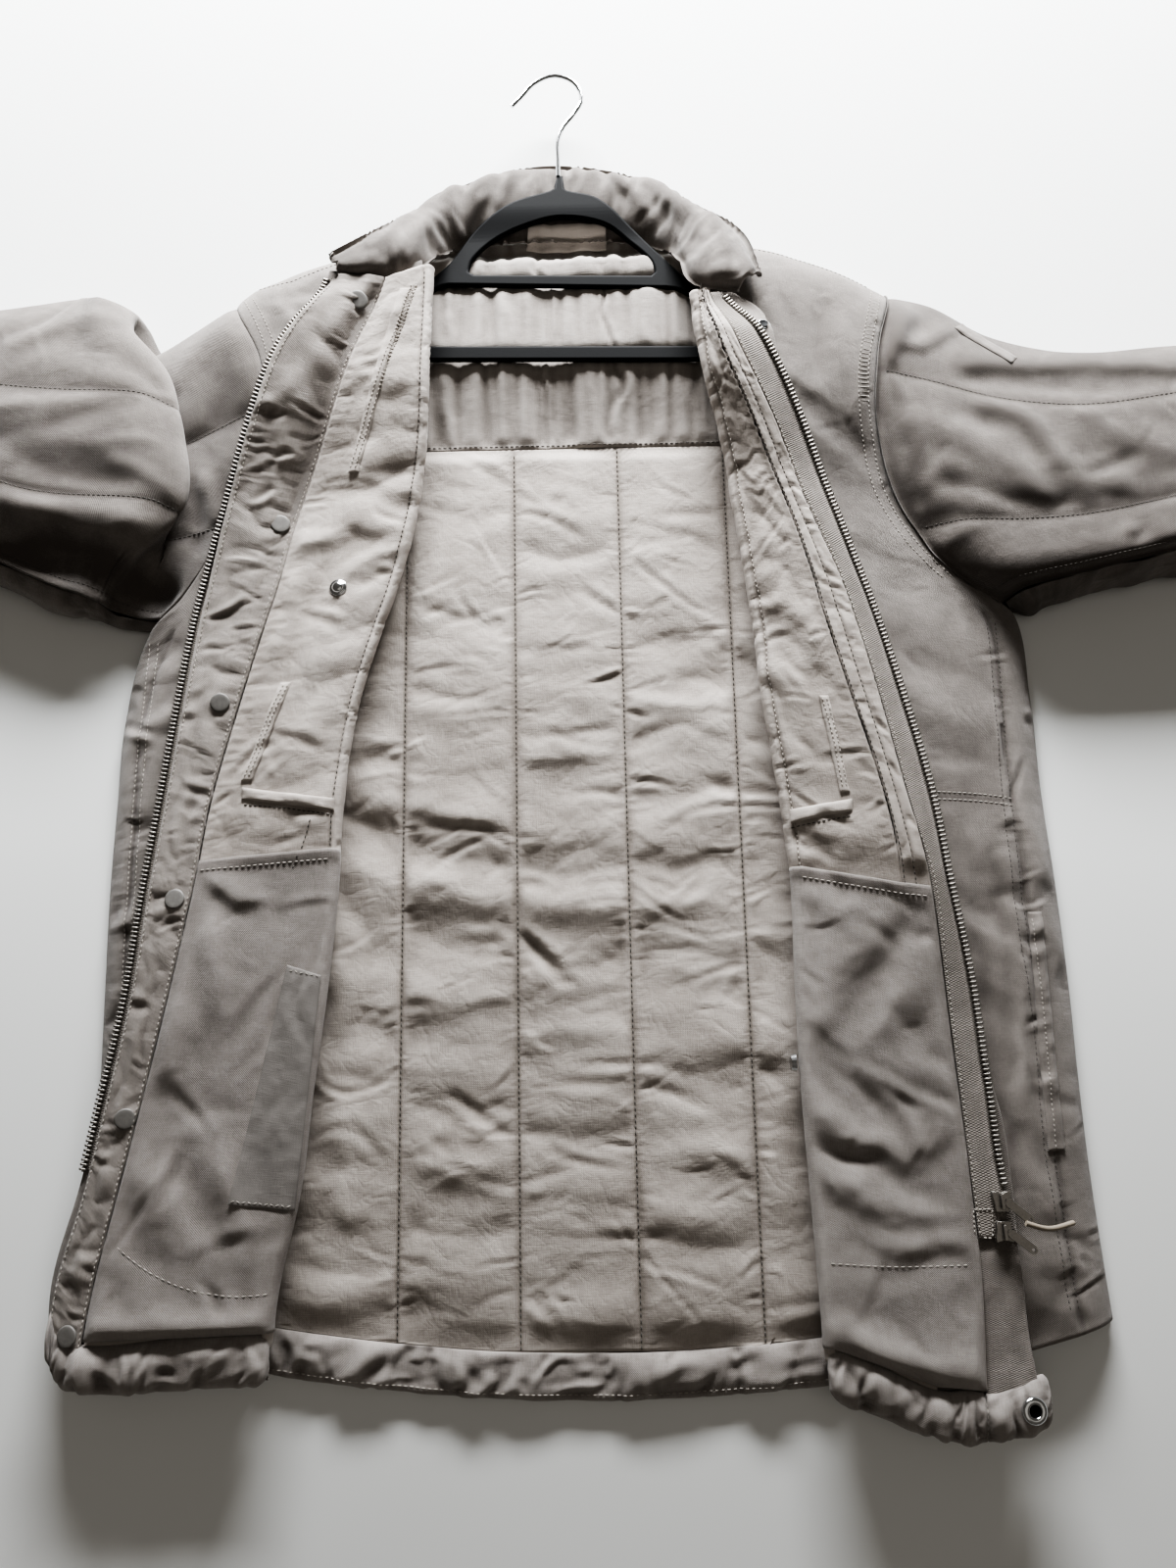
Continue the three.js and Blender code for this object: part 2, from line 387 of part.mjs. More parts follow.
// zip tape along the wearer's right front edge
{
  const g = gridR.slice(ROW.tapeFoot, ROW.neck + 1).map((r) => [0.5, 4, 7.5].map((w) => [r[LASTC][0] - w, r[LASTC][1], r[LASTC][2]]));
  const lift = (h) => g.map((r) => r.map((p) => [p[0], p[1], p[2] + h]));
  add("zip_tape_r", closedGrid(lift(-0.4), lift(1.4)), "tape");
}

// small pieces on the linings
const onR = (x, y) => R.height(x, y), onL = (x, y) => L.height(x, y);
add("pocket_welt_r", patch([[-230, -38], [-172, -47], [-172, -39], [-230, -30]], 6, 1, onR, 0.9, 1.4), "lining");
add("pocket_welt_l", patch([[137, -62], [176, -56], [176, -49], [137, -54]], 5, 1, onL, 0.9, 1.4), "lining");
add("pocket_edge_r", patch([[-232, -24], [-226, -24], [-202, 42], [-208, 42]], 1, 6, onR, 0.9, 1.2), "lining");
add("pocket_edge_l", patch([[167, -42], [172, -42], [162, 22], [157, 22]], 1, 6, onL, 0.9, 1.2), "lining");
add("inner_strip_r", patch([[-164, 196], [-158, 196], [-122, 330], [-128, 330]], 1, 8, onR, 0.9, 1.2), "lining");
add("care_label", patch([[-229, -297], [-195, -300], [-180, -158], [-201, -153]], 3, 8, onR, 0.6, 0.9), "label", 0.45);
SNAPS.forEach((s, k) => {
  const g = new THREE.CylinderGeometry(SNAP_R - 0.6, SNAP_R, SNAP_H, 20);
  g.rotateX(Math.PI / 2);
  const x = clamp(s.x, -330, -100), z = overDisc(onR, x, s.y, SNAP_R);
  g.translate(x, s.y, Math.max(z, 0) + GAP + SNAP_H / 2);
  add("snap_cap_" + (k + 1), g, "snap", 0.4);
});
function stud(name, x, y, z) {
  const g = new THREE.CylinderGeometry(5.2, 6, 3.4, 20);
  g.rotateX(Math.PI / 2);
  g.translate(x, y, z + GAP + 1.7);
  add(name, g, "chrome", 0.2, 1);
}
stud("stud_r", -171, 110, overDisc(onR, -171, 110, 6.2));
// the other stud sits on the fold line of the wearer's left front, on edge
{
  const y = -218, g = new THREE.CylinderGeometry(5.2, 6, 3.2, 20);
  g.rotateZ(Math.PI / 2);
  g.translate(lineX("foldL", y) - 1.6 - GAP - 1.6, y, (underZ(lineX("foldL", y), y) + flapZ(lineX("foldL", y), y)) / 2 + 1);
  add("stud_l", g, "chrome", 0.2, 1);
}
function ring(name, x, y, z) {
  const g = new THREE.TorusGeometry(6.4, 1.7, 8, 20);
  g.translate(x, y, z + GAP + 1.7);
  add(name, g, "chrome", 0.2, 1);
}
ring("ring_top_l", 134, 303, flapZ(134, 303) + crest("L", 134, 303) + SHELL / 2 + 0.8);
ring("ring_bottom_l", 259, -423, flapZ(259, -423) + SHELL / 2 + 4.6);

// side pocket welt on the shell of the wearer's left front, beside the flap
const shellL = (x, y) => underZ(x, y) + SHELL / 2;
add("side_welt_l", patch([[289, -276], [299, -276], [300, -124], [291, -124]], 3, 8, shellL, 0.9, 1.4), "shell");

// ---- back ----
{
  const shares = [0, 0.04, 0.1, 0.2, 0.3, 0.4, 0.5, 0.6, 0.7, 0.8, 0.9, 0.96, 1];
  const rows = [0, 0.06, 0.25, 0.45, 0.58, 0.642, 0.675, 0.71, 0.745, 0.787, 0.828, 0.87, 0.912, 0.954, 1];
  const g = rows.map((v) => shares.map((u) => {
    const xt = lerp(lineX("sideR", 345), lineX("sideL", 345), u), xb = lerp(lineX("sideR", -380), lineX("sideL", -380), u);
    const y = lerp(at(HEM, "x", "y", xb), shoulderY(xt) - (u === 0 || u === 1 ? 2 : 0), v);
    return [lerp(lineX("sideR", y), lineX("sideL", y), u), y, 0];
  }));
  const up = (h) => g.map((r) => r.map((p) => [p[0], p[1], h]));
  add("back_shell", closedGrid(up(0), up(BACK)), "shell");
}
{
  const xs = [], high = [];
  for (let k = 0; k < QUILT_X.length - 1; k++)
    for (const [t, h] of [[0, 0], [0.16, 0.72], [0.5, 1], [0.84, 0.72]]) xs.push(lerp(QUILT_X[k], QUILT_X[k + 1], t)), high.push(k === 0 || k === QUILT_X.length - 2 ? h * 0.35 : h);
  xs.push(QUILT_X.at(-1));
  high.push(0);
  const edge = (y, x) => clamp(x, lineX("sideR", y) + (y > 60 ? 9 : 15), lineX("sideL", y) - (y > 60 ? 9 : 15));
  const g = QUILT_ROWS.map((y) => {
    const a = edge(y, -400), b = edge(y, 400);
    return xs.map((x, j) => {
      // outer columns squeeze in where the armholes narrow the panel
      const k = j < 4 ? lerp(a, QUILT_X[1], j / 4) : j > xs.length - 6 ? lerp(QUILT_X.at(-2), b, (j - (xs.length - 5)) / 4) : x;
      return [k, Math.max(y, at(HEM, "x", "y", k) + 28 + GAP), high[j]];
    });
  });
  const trough = (y) => 1 - 0.45 * Math.exp(-(((y + 92) / 22) ** 2));
  const edgeDrop = (i) => (i === 0 || i === QUILT_ROWS.length - 1 ? 0.35 : 1);
  const top = g.map((r, i) => r.map((p) => [p[0], p[1], (Math.abs(p[0]) > 285 ? 3.9 : QUILT_LOW) + (QUILT_HIGH - QUILT_LOW) * p[2] * trough(p[1]) * edgeDrop(i)]));
  add("back_quilt_lining", closedGrid(g.map((r) => r.map((p) => [p[0], p[1], BACK + GAP])), top), "lining");
}
{
  const xs = [-210, -165, -120, -75, -52, -31, -29, 0, 26, 28, 60, 95, 135, 170, 200];
  const ys = [225.2, 236, 262, 292, 330, 364];
  const g = ys.map((y, i) => xs.map((x, j) => {
    const a = lineX("sideR", y) + 9, b = lineX("sideL", y) - 9;
    const xx = j === 0 ? a : j === xs.length - 1 ? b : clamp(x, a + 2 * j, b - 2 * (xs.length - 1 - j));
    return [xx, Math.min(y + (i === ys.length - 1 && Math.abs(x) < 90 ? 18 : 0), shoulderY(xx) - 8), 0];
  }));
  const top = g.map((r, i) => r.map((p, j) => [p[0], p[1], BACK + GAP + 1.8 + (j === 6 || j === 9 ? 1.3 : 0.5 * Math.sin(j * 2.1 + i)) * (i && i < ys.length - 1 ? 1 : 0.3)]));
  add("back_yoke_lining", closedGrid(g.map((r) => r.map((p) => [p[0], p[1], BACK + GAP])), top), "lining");
}
{
  const n = 22;
  const g = [0, 0.3, 0.7, 1].map((v) => Array.from({ length: n + 1 }, (_, j) => {
    const x = lerp(-292, 292, j / n);
    return [x, lerp(at(HEM, "x", "y", x) + 0.4, at(HEM, "x", "y", x) + 28, v), 0];
  }));
  const top = g.map((r, i) => r.map((p, j) => [p[0], p[1], [3.6, 5.6, 5.9, 4.4][i] + (i === 1 || i === 2 ? 0.8 * Math.sin(j * 2.2) : 0) - (Math.abs(p[0]) > 280 ? 1 : 0)]));
  add("back_hem_facing", closedGrid(g.map((r) => r.map((p) => [p[0], p[1], BACK + GAP])), top), "facing");
}
add("neck_label", patch([[-42, 372], [24, 372], [26, 388], [-40, 388]], 4, 2, () => BACK + GAP + 4.4, 0, 0.9), "label", 0.45);

// ---- sleeves ----
function sleeve(letter, stations, joins, dir) {
  const arm = (y) => lineX("side" + letter, clamp(y, ARMPIT_Y, 345));
  const topY = shoulderY(arm(345)) - 1, seamY = ARMPIT_Y + 8, botY = ARMPIT_Y + 3;
  const z = (h) => SLEEVE_WALL / 2 + h;
  const round = (s, list) => list.map((p) => ({ y: lerp(s.seam, s.top, p.w), z: z(s.h * p.h), w: p.w, h: p.h }));
  const flank = (s) => [{ y: s.bot + 5, z: z(0.03 * s.h) }, { y: s.bot, z: z(0.26 * s.h) }, { y: s.bot + 2, z: z(0.44 * s.h) }, { y: s.seam - 0.9, z: z(0.6 * s.h) }];
  const first = { top: topY, seam: seamY, bot: botY, h: 16 };
  const top0 = round(first, TOP_SLEEVE).map((p) => ({ ...p, z: p.h > 0.6 ? Math.max(underZ(arm(p.y), p.y), z(9)) : z(p.h * 10) }));
  const ringsTop = [top0.map((p) => [arm(p.y) + dir * SLEEVE_GAP * Math.hypot(1, (arm(p.y + 4) - arm(p.y - 4)) / 8), p.y, p.z])];
  const ringsUnder = [[...round(first, UNDER_SLEEVE), ...flank(first)].map((p) => [arm(p.y) + dir * SLEEVE_GAP * Math.hypot(1, (arm(p.y + 4) - arm(p.y - 4)) / 8), p.y, p.z])];
  const s3 = stations[0];
  for (const f of joins) {
    const s = { ...f, h: s3.h * f.h };
    const plain = (y) => lerp(arm(Math.min(y, 340)), s3.x, f.k);
    const deep = (p) => f.deep * ramp(0.02, 0.35, p.w) * (p.h > 0.5 ? 1 : p.h > 0.3 ? 0.8 : p.h > 0.05 ? 0.35 : 0);
    ringsTop.push(round(s, TOP_SLEEVE).map((p) => [lerp(plain(p.y), at(OVERLAP, "y", "x", p.y) + f.out, deep(p)), p.y, p.z]));
    ringsUnder.push([...round(s, UNDER_SLEEVE), ...flank(s)].map((p) => [plain(p.y), p.y, p.z]));
  }
  for (const s of stations) {
    ringsTop.push(round(s, TOP_SLEEVE).map((p) => [s.x, p.y, p.z]));
    ringsUnder.push([...round(s, UNDER_SLEEVE), ...flank(s)].map((p) => [s.x, p.y, p.z]));
  }
  const l = letter.toLowerCase();
  add("sleeve_" + l + "_top", wall(ringsTop, SLEEVE_WALL), "shell");
  add("sleeve_" + l + "_under", wall(ringsUnder, SLEEVE_WALL), "shell");
  // cuff band: a closed ring carried on from the last section
  const e = stations.at(-1), band = [];
  const around = 18;
  for (const [x, grow] of [[e.x + dir * 0.7, 1], [e.x + dir * CUFF_W * 0.5, 2.2], [e.x + dir * CUFF_W, 0.5]]) {
    const row = [];
    for (let k = 0; k < around; k++) {
      const a = (k / around) * 2 * Math.PI, c = Math.cos(a), s = Math.sin(a);
      const y = (e.top + e.bot) / 2 + ((e.top - e.bot) / 2 + grow) * Math.sign(c) * Math.abs(c) ** 0.7;
      const zz = SLEEVE_WALL / 2 + (e.h + grow) * (0.5 + 0.5 * Math.sign(s) * Math.abs(s) ** 0.7);
      row.push([x, y, Math.max(zz, SLEEVE_WALL / 2)]);
    }
    band.push(row);
  }
  add("cuff_" + l, ringWall(band, SLEEVE_WALL), "shell");
}
// a closed band: every row goes right round
function ringWall(rows, thickness) {
  const n = rows[0].length, wrap = rows.map((r) => [...r, r[0]]);
  const cy = rows[0].reduce((s, p) => s + p[1], 0) / n, cz = rows[0].reduce((s, p) => s + p[2], 0) / n;
  const out = (d) => rows.map((r) => r.map((p, k) => {
    const a = r[(k + n - 1) % n], b = r[(k + 1) % n];
    let ny = b[2] - a[2], nz = -(b[1] - a[1]);
    const l = Math.hypot(ny, nz) || 1;
    if (ny * (p[1] - cy) + nz * (p[2] - cz) < 0) (ny = -ny), (nz = -nz);
    return [p[0], p[1] + (ny / l) * d, Math.max(0, p[2] + (nz / l) * d)];
  }));
  const outer = out(thickness / 2), inner = out(-thickness / 2), pos = [], idx = [], R = rows.length;
  for (const g of [outer, inner]) for (const r of g) for (const p of r) pos.push(...p);
  const id = (g, i, k) => g * R * n + i * n + (k % n);
  const quad = (a, b, c, d) => idx.push(a, b, c, a, c, d);
  for (let k = 0; k < n; k++) {
    for (let i = 0; i < R - 1; i++) {
      quad(id(0, i, k), id(0, i, k + 1), id(0, i + 1, k + 1), id(0, i + 1, k));
      quad(id(1, i, k), id(1, i + 1, k), id(1, i + 1, k + 1), id(1, i, k + 1));
    }
    quad(id(0, 0, k + 1), id(0, 0, k), id(1, 0, k), id(1, 0, k + 1));
    quad(id(0, R - 1, k), id(0, R - 1, k + 1), id(1, R - 1, k + 1), id(1, R - 1, k));
  }
  let volume = 0;
  const v = (k) => [pos[3 * k], pos[3 * k + 1], pos[3 * k + 2]];
  for (let k = 0; k < idx.length; k += 3) {
    const [a, b, c] = [v(idx[k]), v(idx[k + 1]), v(idx[k + 2])];
    volume += a[0] * (b[1] * c[2] - b[2] * c[1]) - a[1] * (b[0] * c[2] - b[2] * c[0]) + a[2] * (b[0] * c[1] - b[1] * c[0]);
  }
  if (volume < 0) for (let k = 0; k < idx.length; k += 3) [idx[k + 1], idx[k + 2]] = [idx[k + 2], idx[k + 1]];
  const g = new THREE.BufferGeometry();
  g.setAttribute("position", new THREE.Float32BufferAttribute(pos, 3));
  g.setIndex(idx);
  g.computeVertexNormals();
  return g;
}
sleeve("R", SLEEVE_R, JOINS_R, -1);
sleeve("L", SLEEVE_L, JOINS_L, 1);
// tab of the sleeve pocket, with a thread loop at its end
const TAB = { x0: 284, y0: 292, x1: 316, y1: 262, half: 8, z: 43 };
{
  const dx = TAB.x1 - TAB.x0, dy = TAB.y1 - TAB.y0, l = Math.hypot(dx, dy), nx = (-dy / l) * TAB.half, ny = (dx / l) * TAB.half;
  const c = [[TAB.x0 - nx, TAB.y0 - ny], [TAB.x1 - nx, TAB.y1 - ny], [TAB.x1 + nx, TAB.y1 + ny], [TAB.x0 + nx, TAB.y0 + ny]];
  add("sleeve_tab_l", patch(c, 3, 1, () => TAB.z, 0, 2.2), "shell");
}

// ---- collar ----
{
  const rows = COLLAR.map((c) => {
    const path = ROLL_PATH.w.map((_, k) => ({ w: lerp(ROLL_PATH.w[k], STAND_PATH.w[k], c.stand), f: lerp(ROLL_PATH.f[k], STAND_PATH.f[k], c.stand) }));
    return path.map((p, k) => [lerp(c.ix, c.ox, p.w), lerp(c.iy, c.oy, p.w), k < 2 ? lerp(c.zi, c.top, p.f) : lerp(c.lip, c.top, p.f)]);
  });
  add("collar", wall(rows, COLLAR_WALL), "shell");
}

// ---- hanger ----
{
  const V = (x, y) => new THREE.Vector2(x, y);
  const outline = [V(HANGER_TIP.r, HANGER_TIP.y + 9), V(-122, 348), ...ARCH.map((a) => V(a.x, a.top)), V(100, 348), V(HANGER_TIP.l, HANGER_TIP.y + 9), V(HANGER_TIP.l + 8, HANGER_TIP.y + 1), V(HANGER_TIP.l, BAR_DOWN.y0), V(HANGER_TIP.r, BAR_DOWN.y0), V(HANGER_TIP.r - 8, HANGER_TIP.y + 1)];
  const s = new THREE.Shape(outline.reverse());
  const inner = ARCH.slice(1, -1);
  s.holes.push(new THREE.Path([V(inner[0].x, BAR_UP.y1 + 2), ...inner.map((a) => V(a.x, a.bot)), V(inner.at(-1).x, BAR_UP.y1 + 2)]));
  s.holes.push(new THREE.Path([V(HANGER_TIP.r + 12, BAR_DOWN.y1), V(-112, BAR_UP.y0 - 16), V(-96, BAR_UP.y0), V(70, BAR_UP.y0), V(88, BAR_UP.y0 - 16), V(HANGER_TIP.l - 12, BAR_DOWN.y1)]));
  const g = new THREE.ExtrudeGeometry(s, { depth: HANGER_T, bevelEnabled: false });
  g.translate(0, 0, HANGER_Z);
  add("hanger_body", g, "black", 0.45);
  const neck = new THREE.CylinderGeometry(5, 7.5, 12, 16);
  neck.translate(-13, 433.6, HANGER_Z + HANGER_T / 2);
  add("hanger_neck", neck, "black", 0.45);
  const curve = new THREE.CatmullRomCurve3(HOOK.map((p) => new THREE.Vector3(p.x, p.y, HANGER_Z + HANGER_T / 2)));
  const circle = new THREE.Shape();
  circle.absarc(0, 0, WIRE_R, 0, 2 * Math.PI);
  add("hanger_hook", new THREE.ExtrudeGeometry(circle, { steps: 30, curveSegments: 5, extrudePath: curve }), "chrome", 0.2, 1);
}

// ---- zip sliders, pull tabs and puller cord ----
const SLIDER = { x: 251, upperY: -304, lowerY: -322, w: 10, l: 12, h: 4.4 };
const TAB_L = 18, TAB_W = 5, TAB_T = 1.3;
const sliderZ = Math.max(flapZ(246, -304), flapZ(256, -304)) + SHELL / 2 + 0.7 + 1.6 + 0.9;
function slider(name, y) {
  const g = new THREE.BoxGeometry(SLIDER.w, SLIDER.l, SLIDER.h);
  g.translate(SLIDER.x, y, sliderZ + SLIDER.h / 2);
  add(name, g, "metal", 0.35, 1);
}
slider("zip_slider_upper", SLIDER.upperY);
slider("zip_slider_lower", SLIDER.lowerY);
function pullTab(name, y, angle, z) {
  const s = new THREE.Shape(), w = TAB_W / 2;
  s.moveTo(0, -w); s.lineTo(TAB_L - w, -w);
  s.absarc(TAB_L - w, 0, w, -Math.PI / 2, Math.PI / 2, false);
  s.lineTo(0, w);
  s.absarc(0, 0, w, Math.PI / 2, (3 * Math.PI) / 2, false);
  const hole = new THREE.Path();
  hole.absarc(TAB_L - w, 0, 1.3, 0, 2 * Math.PI, true);
  s.holes.push(hole);
  const g = new THREE.ExtrudeGeometry(s, { depth: TAB_T, bevelEnabled: false, curveSegments: 8 });
  g.rotateZ(angle);
  g.translate(SLIDER.x + SLIDER.w / 2 - 1, y, z);
  add(name, g, "metal", 0.35, 1);
}
const tabZ = sliderZ + SLIDER.h + GAP;
pullTab("zip_pull_upper", SLIDER.upperY - 1, -0.7, tabZ);
pullTab("zip_pull_lower", SLIDER.lowerY - 1, -0.66, tabZ);
{
  const a = -0.7, ex = SLIDER.x + SLIDER.w / 2 - 1 + (TAB_L + 2.2) * Math.cos(a), ey = SLIDER.upperY - 1 + (TAB_L + 2.2) * Math.sin(a);
  const pts = [[ex, ey, tabZ + 0.6], [ex + 5, ey - 3, tabZ - 2], [ex + 13, ey - 4, tabZ - 6], [ex + 21, ey - 2, tabZ - 9], [ex + 28, ey + 1, tabZ - 10.5]];
  const curve = new THREE.CatmullRomCurve3(pts.map((p) => new THREE.Vector3(...p)));
  const circle = new THREE.Shape();
  circle.absarc(0, 0, CORD_R, 0, 2 * Math.PI);
  add("puller_cord", new THREE.ExtrudeGeometry(circle, { steps: 9, curveSegments: 4, extrudePath: curve }), "cord");
}

// ---- stand the garment on the origin of its own frame ----
const box = new THREE.Box3().setFromObject(garment);
export const OFFSET = [-(box.min.x + box.max.x) / 2, -(box.min.y + box.max.y) / 2, -box.min.z];
garment.position.set(...OFFSET);
export default garment;
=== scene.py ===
import bpy, math, json
import numpy as np
from mathutils import Matrix, Vector

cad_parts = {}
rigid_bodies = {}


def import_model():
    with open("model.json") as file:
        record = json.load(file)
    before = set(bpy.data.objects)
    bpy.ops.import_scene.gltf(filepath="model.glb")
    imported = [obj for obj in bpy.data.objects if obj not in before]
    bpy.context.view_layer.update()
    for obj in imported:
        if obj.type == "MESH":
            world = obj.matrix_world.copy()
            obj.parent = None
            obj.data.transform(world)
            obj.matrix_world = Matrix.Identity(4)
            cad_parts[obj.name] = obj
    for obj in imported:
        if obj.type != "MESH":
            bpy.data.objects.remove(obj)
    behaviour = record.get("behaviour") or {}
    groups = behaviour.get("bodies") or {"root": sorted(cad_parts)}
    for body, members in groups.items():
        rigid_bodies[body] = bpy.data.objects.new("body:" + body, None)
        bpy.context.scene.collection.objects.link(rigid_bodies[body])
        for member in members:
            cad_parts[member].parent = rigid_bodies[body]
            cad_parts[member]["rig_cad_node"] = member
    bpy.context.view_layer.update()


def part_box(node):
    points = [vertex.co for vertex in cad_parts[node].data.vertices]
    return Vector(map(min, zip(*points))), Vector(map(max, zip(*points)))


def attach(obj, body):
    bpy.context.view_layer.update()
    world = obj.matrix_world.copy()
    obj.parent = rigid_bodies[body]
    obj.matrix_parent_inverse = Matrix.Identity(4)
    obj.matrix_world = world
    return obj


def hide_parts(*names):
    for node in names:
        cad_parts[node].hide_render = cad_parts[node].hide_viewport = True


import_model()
F = np.float32

# ---------------------------------------------------------------- named sizes, mm, the same lines as the part's source
OFFY = -43.775          # the part stands on the centre of its box; its tables are 43.775 mm further up
SECTIONS = np.array([   # y, sideR, foldR, seamR, zipR, foldL, seamL, tapeL, zipL, sideL
    (-440, -322, -201, -319, -340, 139, 204, 232, 266, 325), (-400, -322, -201, -319, -342, 137, 204, 234, 266, 324),
    (-350, -322, -198, -313, -344, 136, 204, 236, 265, 321), (-290, -323, -186, -300, -328, 134, 204, 234, 254, 318),
    (-230, -324, -180, -287, -316, 132, 204, 231, 250, 317), (-170, -325, -173, -275, -305, 132, 204, 227, 245, 317),
    (-100, -326, -167, -262, -297, 133, 203, 221, 234, 315), (-40, -325, -165, -253, -289, 128, 194, 209, 226, 312),
    (30, -322, -155, -236, -280, 120, 176, 195, 211, 311), (86, -305, -139, -221, -272, 116, 162, 182, 197, 304),
    (110, -283, -131, -214, -267, 114, 157, 175, 190, 268), (160, -256, -119, -202, -255, 109, 143, 157, 175, 231),
    (220, -232, -110, -183, -238, 99, 122, 137, 156, 214), (280, -229, -107, -163, -216, 86, 99, 111, 131, 215),
    (340, -254, -105, -140, -183, 80, 88, 92, 98, 230), (410, -256, -104, -136, -178, 80, 88, 92, 98, 232)], float)
COL = {n: k for k, n in enumerate("y sideR foldR seamR zipR foldL seamL tapeL zipL sideL".split())}
SHOULDER = np.array([(-330, 310), (-256, 345), (-238, 361), (-197, 378), (-148, 394), (-90, 400), (0, 398), (70, 398), (127, 388), (156, 381), (190, 366), (232, 342), (320, 305)], float)
HEM = np.array([(-322, -372), (-250, -390), (-200, -402), (-87, -416), (0, -420), (65, -419), (142, -413), (220, -398), (324, -378)], float)
FRONT = {"R": dict(under=(-374, -396, -400), flap=(-402, -405, -386), neck=(352, 342, 345), dir=1),
         "L": dict(under=(-379, -400, -405), flap=(-417, -440, -443), neck=(327, 326, 325), dir=-1)}
STORM = np.array([(-440, 4), (-420, 5), (-404, -3), (-345, -4), (-300, 5), (-262, 7), (-225, 2), (-190, -3), (230, -3), (262, 1), (295, 12), (312, 16), (330, 2)], float)
QUILT_X = [-204, -127, -50, 27, 104]
SLEEVE = {  # x, top, seam, bot, h
    "R": np.array([(-362, 343, 112, 99, 49), (-428, 333, 141, 127, 52), (-545, 322, 164, 148, 50), (-680, 306, 168, 151, 44), (-770, 296, 164, 149, 39), (-820, 288, 161, 147, 34)], float),
    "L": np.array([(338, 286, 106, 95, 42), (440, 285, 127, 115, 48), (560, 279, 144, 130, 48), (690, 270, 149, 134, 43), (820, 260, 147, 134, 34)], float)}
JOINS = {   # share of the way, top, seam, bot, share of height, out, deep
    "R": [(0.42, 302, 98, 91, 0.42, -19, 1), (0.60, 326, 101, 93, 0.60, -5, 1), (0.62, 332, 102, 93, 0.70, 0, 1), (0.66, 337, 103, 94, 0.80, -6, 1), (0.8, 343, 107, 96, 0.93, -19, 1)],
    "L": [(0.3, 327, 98, 86, 0.78, 0, 0), (0.65, 300, 102, 90, 0.92, 0, 0)]}
OVERLAP = np.array([(90, -300), (108, -272), (146, -276), (185, -277), (237, -285), (276, -298), (300, -322), (340, -334)], float)
TOP_SLEEVE = np.array([(0.004, 0.66), (0.1, 0.84), (0.28, 0.97), (0.52, 1.0), (0.76, 0.92), (0.92, 0.72), (1.0, 0.42), (0.975, 0.12), (0.88, 0)], float)
UNDER_SLEEVE = np.array([(0.87, 0), (0.7, 0), (0.53, 0), (0.36, 0), (0.2, 0), (0.07, 0)], float)
COLLAR = np.array([  # ix, iy, ox, oy, zi, top, lip, stand
    (-176, 348.5, -183, 355, 41.5, 47, 43, 0), (-150, 346, -158, 372, 41, 49, 40, 0), (-124, 349, -144, 385, 38, 49, 34, 0),
    (-110, 362, -135, 400, 33, 43, 22, 0.2), (-99, 378, -114, 418, 20, 35, 14, 0.6), (-77, 390, -82, 439, 10, 28, 10, 1),
    (-50, 392, -54, 450, 9, 24, 9, 1), (-26, 393, -28, 455, 8, 22, 8, 1), (0, 393, 2, 454, 8, 22, 8, 1), (26, 392, 32, 447, 9, 24, 9, 1),
    (54, 388, 64, 434, 10, 28, 10, 1), (70, 374, 92, 412, 20, 35, 14, 0.6), (80, 356, 113, 390, 33, 43, 26, 0.2),
    (84, 337, 124, 366, 38, 48, 37, 0), (106, 331.5, 127, 345, 41.5, 50, 41, 0), (122, 329.5, 130, 333, 42, 47, 43, 0)], float)

# ---------------------------------------------------------------- interpolation
def ramp(a, b, v):
    t = np.clip((np.asarray(v, float) - a) / (b - a), 0, 1)
    return t * t * (3 - 2 * t)
def lerp(a, b, t): return a + (b - a) * t
def herm(xs, ys, v):
    """Smooth line through a table, the same one as in the part's source."""
    xs, ys, v = np.asarray(xs, float), np.asarray(ys, float), np.asarray(v, float)
    n = len(xs)
    lo, hi = np.maximum(np.arange(n) - 1, 0), np.minimum(np.arange(n) + 1, n - 1)
    m = (ys[hi] - ys[lo]) / (xs[hi] - xs[lo])
    i = np.clip(np.searchsorted(xs, v) - 1, 0, n - 2)
    h = xs[i + 1] - xs[i]
    t = np.clip((v - xs[i]) / h, 0, 1)
    return (2 * t**3 - 3 * t * t + 1) * ys[i] + (t**3 - 2 * t * t + t) * h * m[i] + (-2 * t**3 + 3 * t * t) * ys[i + 1] + (t**3 - t * t) * h * m[i + 1]
def line(name, y): return herm(SECTIONS[:, 0], SECTIONS[:, COL[name]], y)
def shoulder(x): return herm(SHOULDER[:, 0], SHOULDER[:, 1], x)
def hem(x): return herm(HEM[:, 0], HEM[:, 1], x)
def inset(x, y):
    x, y = np.asarray(x, float), np.asarray(y, float)
    ym = np.minimum(y, 30)
    side = np.where(x < 0, -line("sideR", ym), line("sideL", ym)) - np.abs(x)
    top = np.minimum((shoulder(x) - y) * 0.9, 400)
    return -12 * np.log(np.exp(-side / 12) + np.exp(-top / 12))
def rise(y): return 14 + 17 * ramp(170, 285, y)
def under_z(x, y): return 4 + rise(y) * (1 - np.exp(-np.maximum(0, inset(x, y)) / 13))
def flap_z(x, y): return 10 + rise(np.minimum(y, 330)) * (1 - np.exp(-np.maximum(0, np.minimum(inset(x, np.minimum(y, 318)), 200) + 30) / 25))

def crest(letter, x, y):
    """How far the turned-back edge stands up beside the zip, where the collar's weight pulls it."""
    if letter == "R": return 9 * ramp(90, 220, y) * ramp(342, 300, y) * np.clip((line("seamR", y) - x) / (line("seamR", y) - line("zipR", y)), 0, 1)
    return 12 * ramp(-230, -60, y) * ramp(322, 285, y) * np.clip((x - line("foldL", y)) / (line("seamL", y) - line("foldL", y)), 0, 1)
def top_z(letter, x, y): return flap_z(x, y) + crest(letter, x, y)

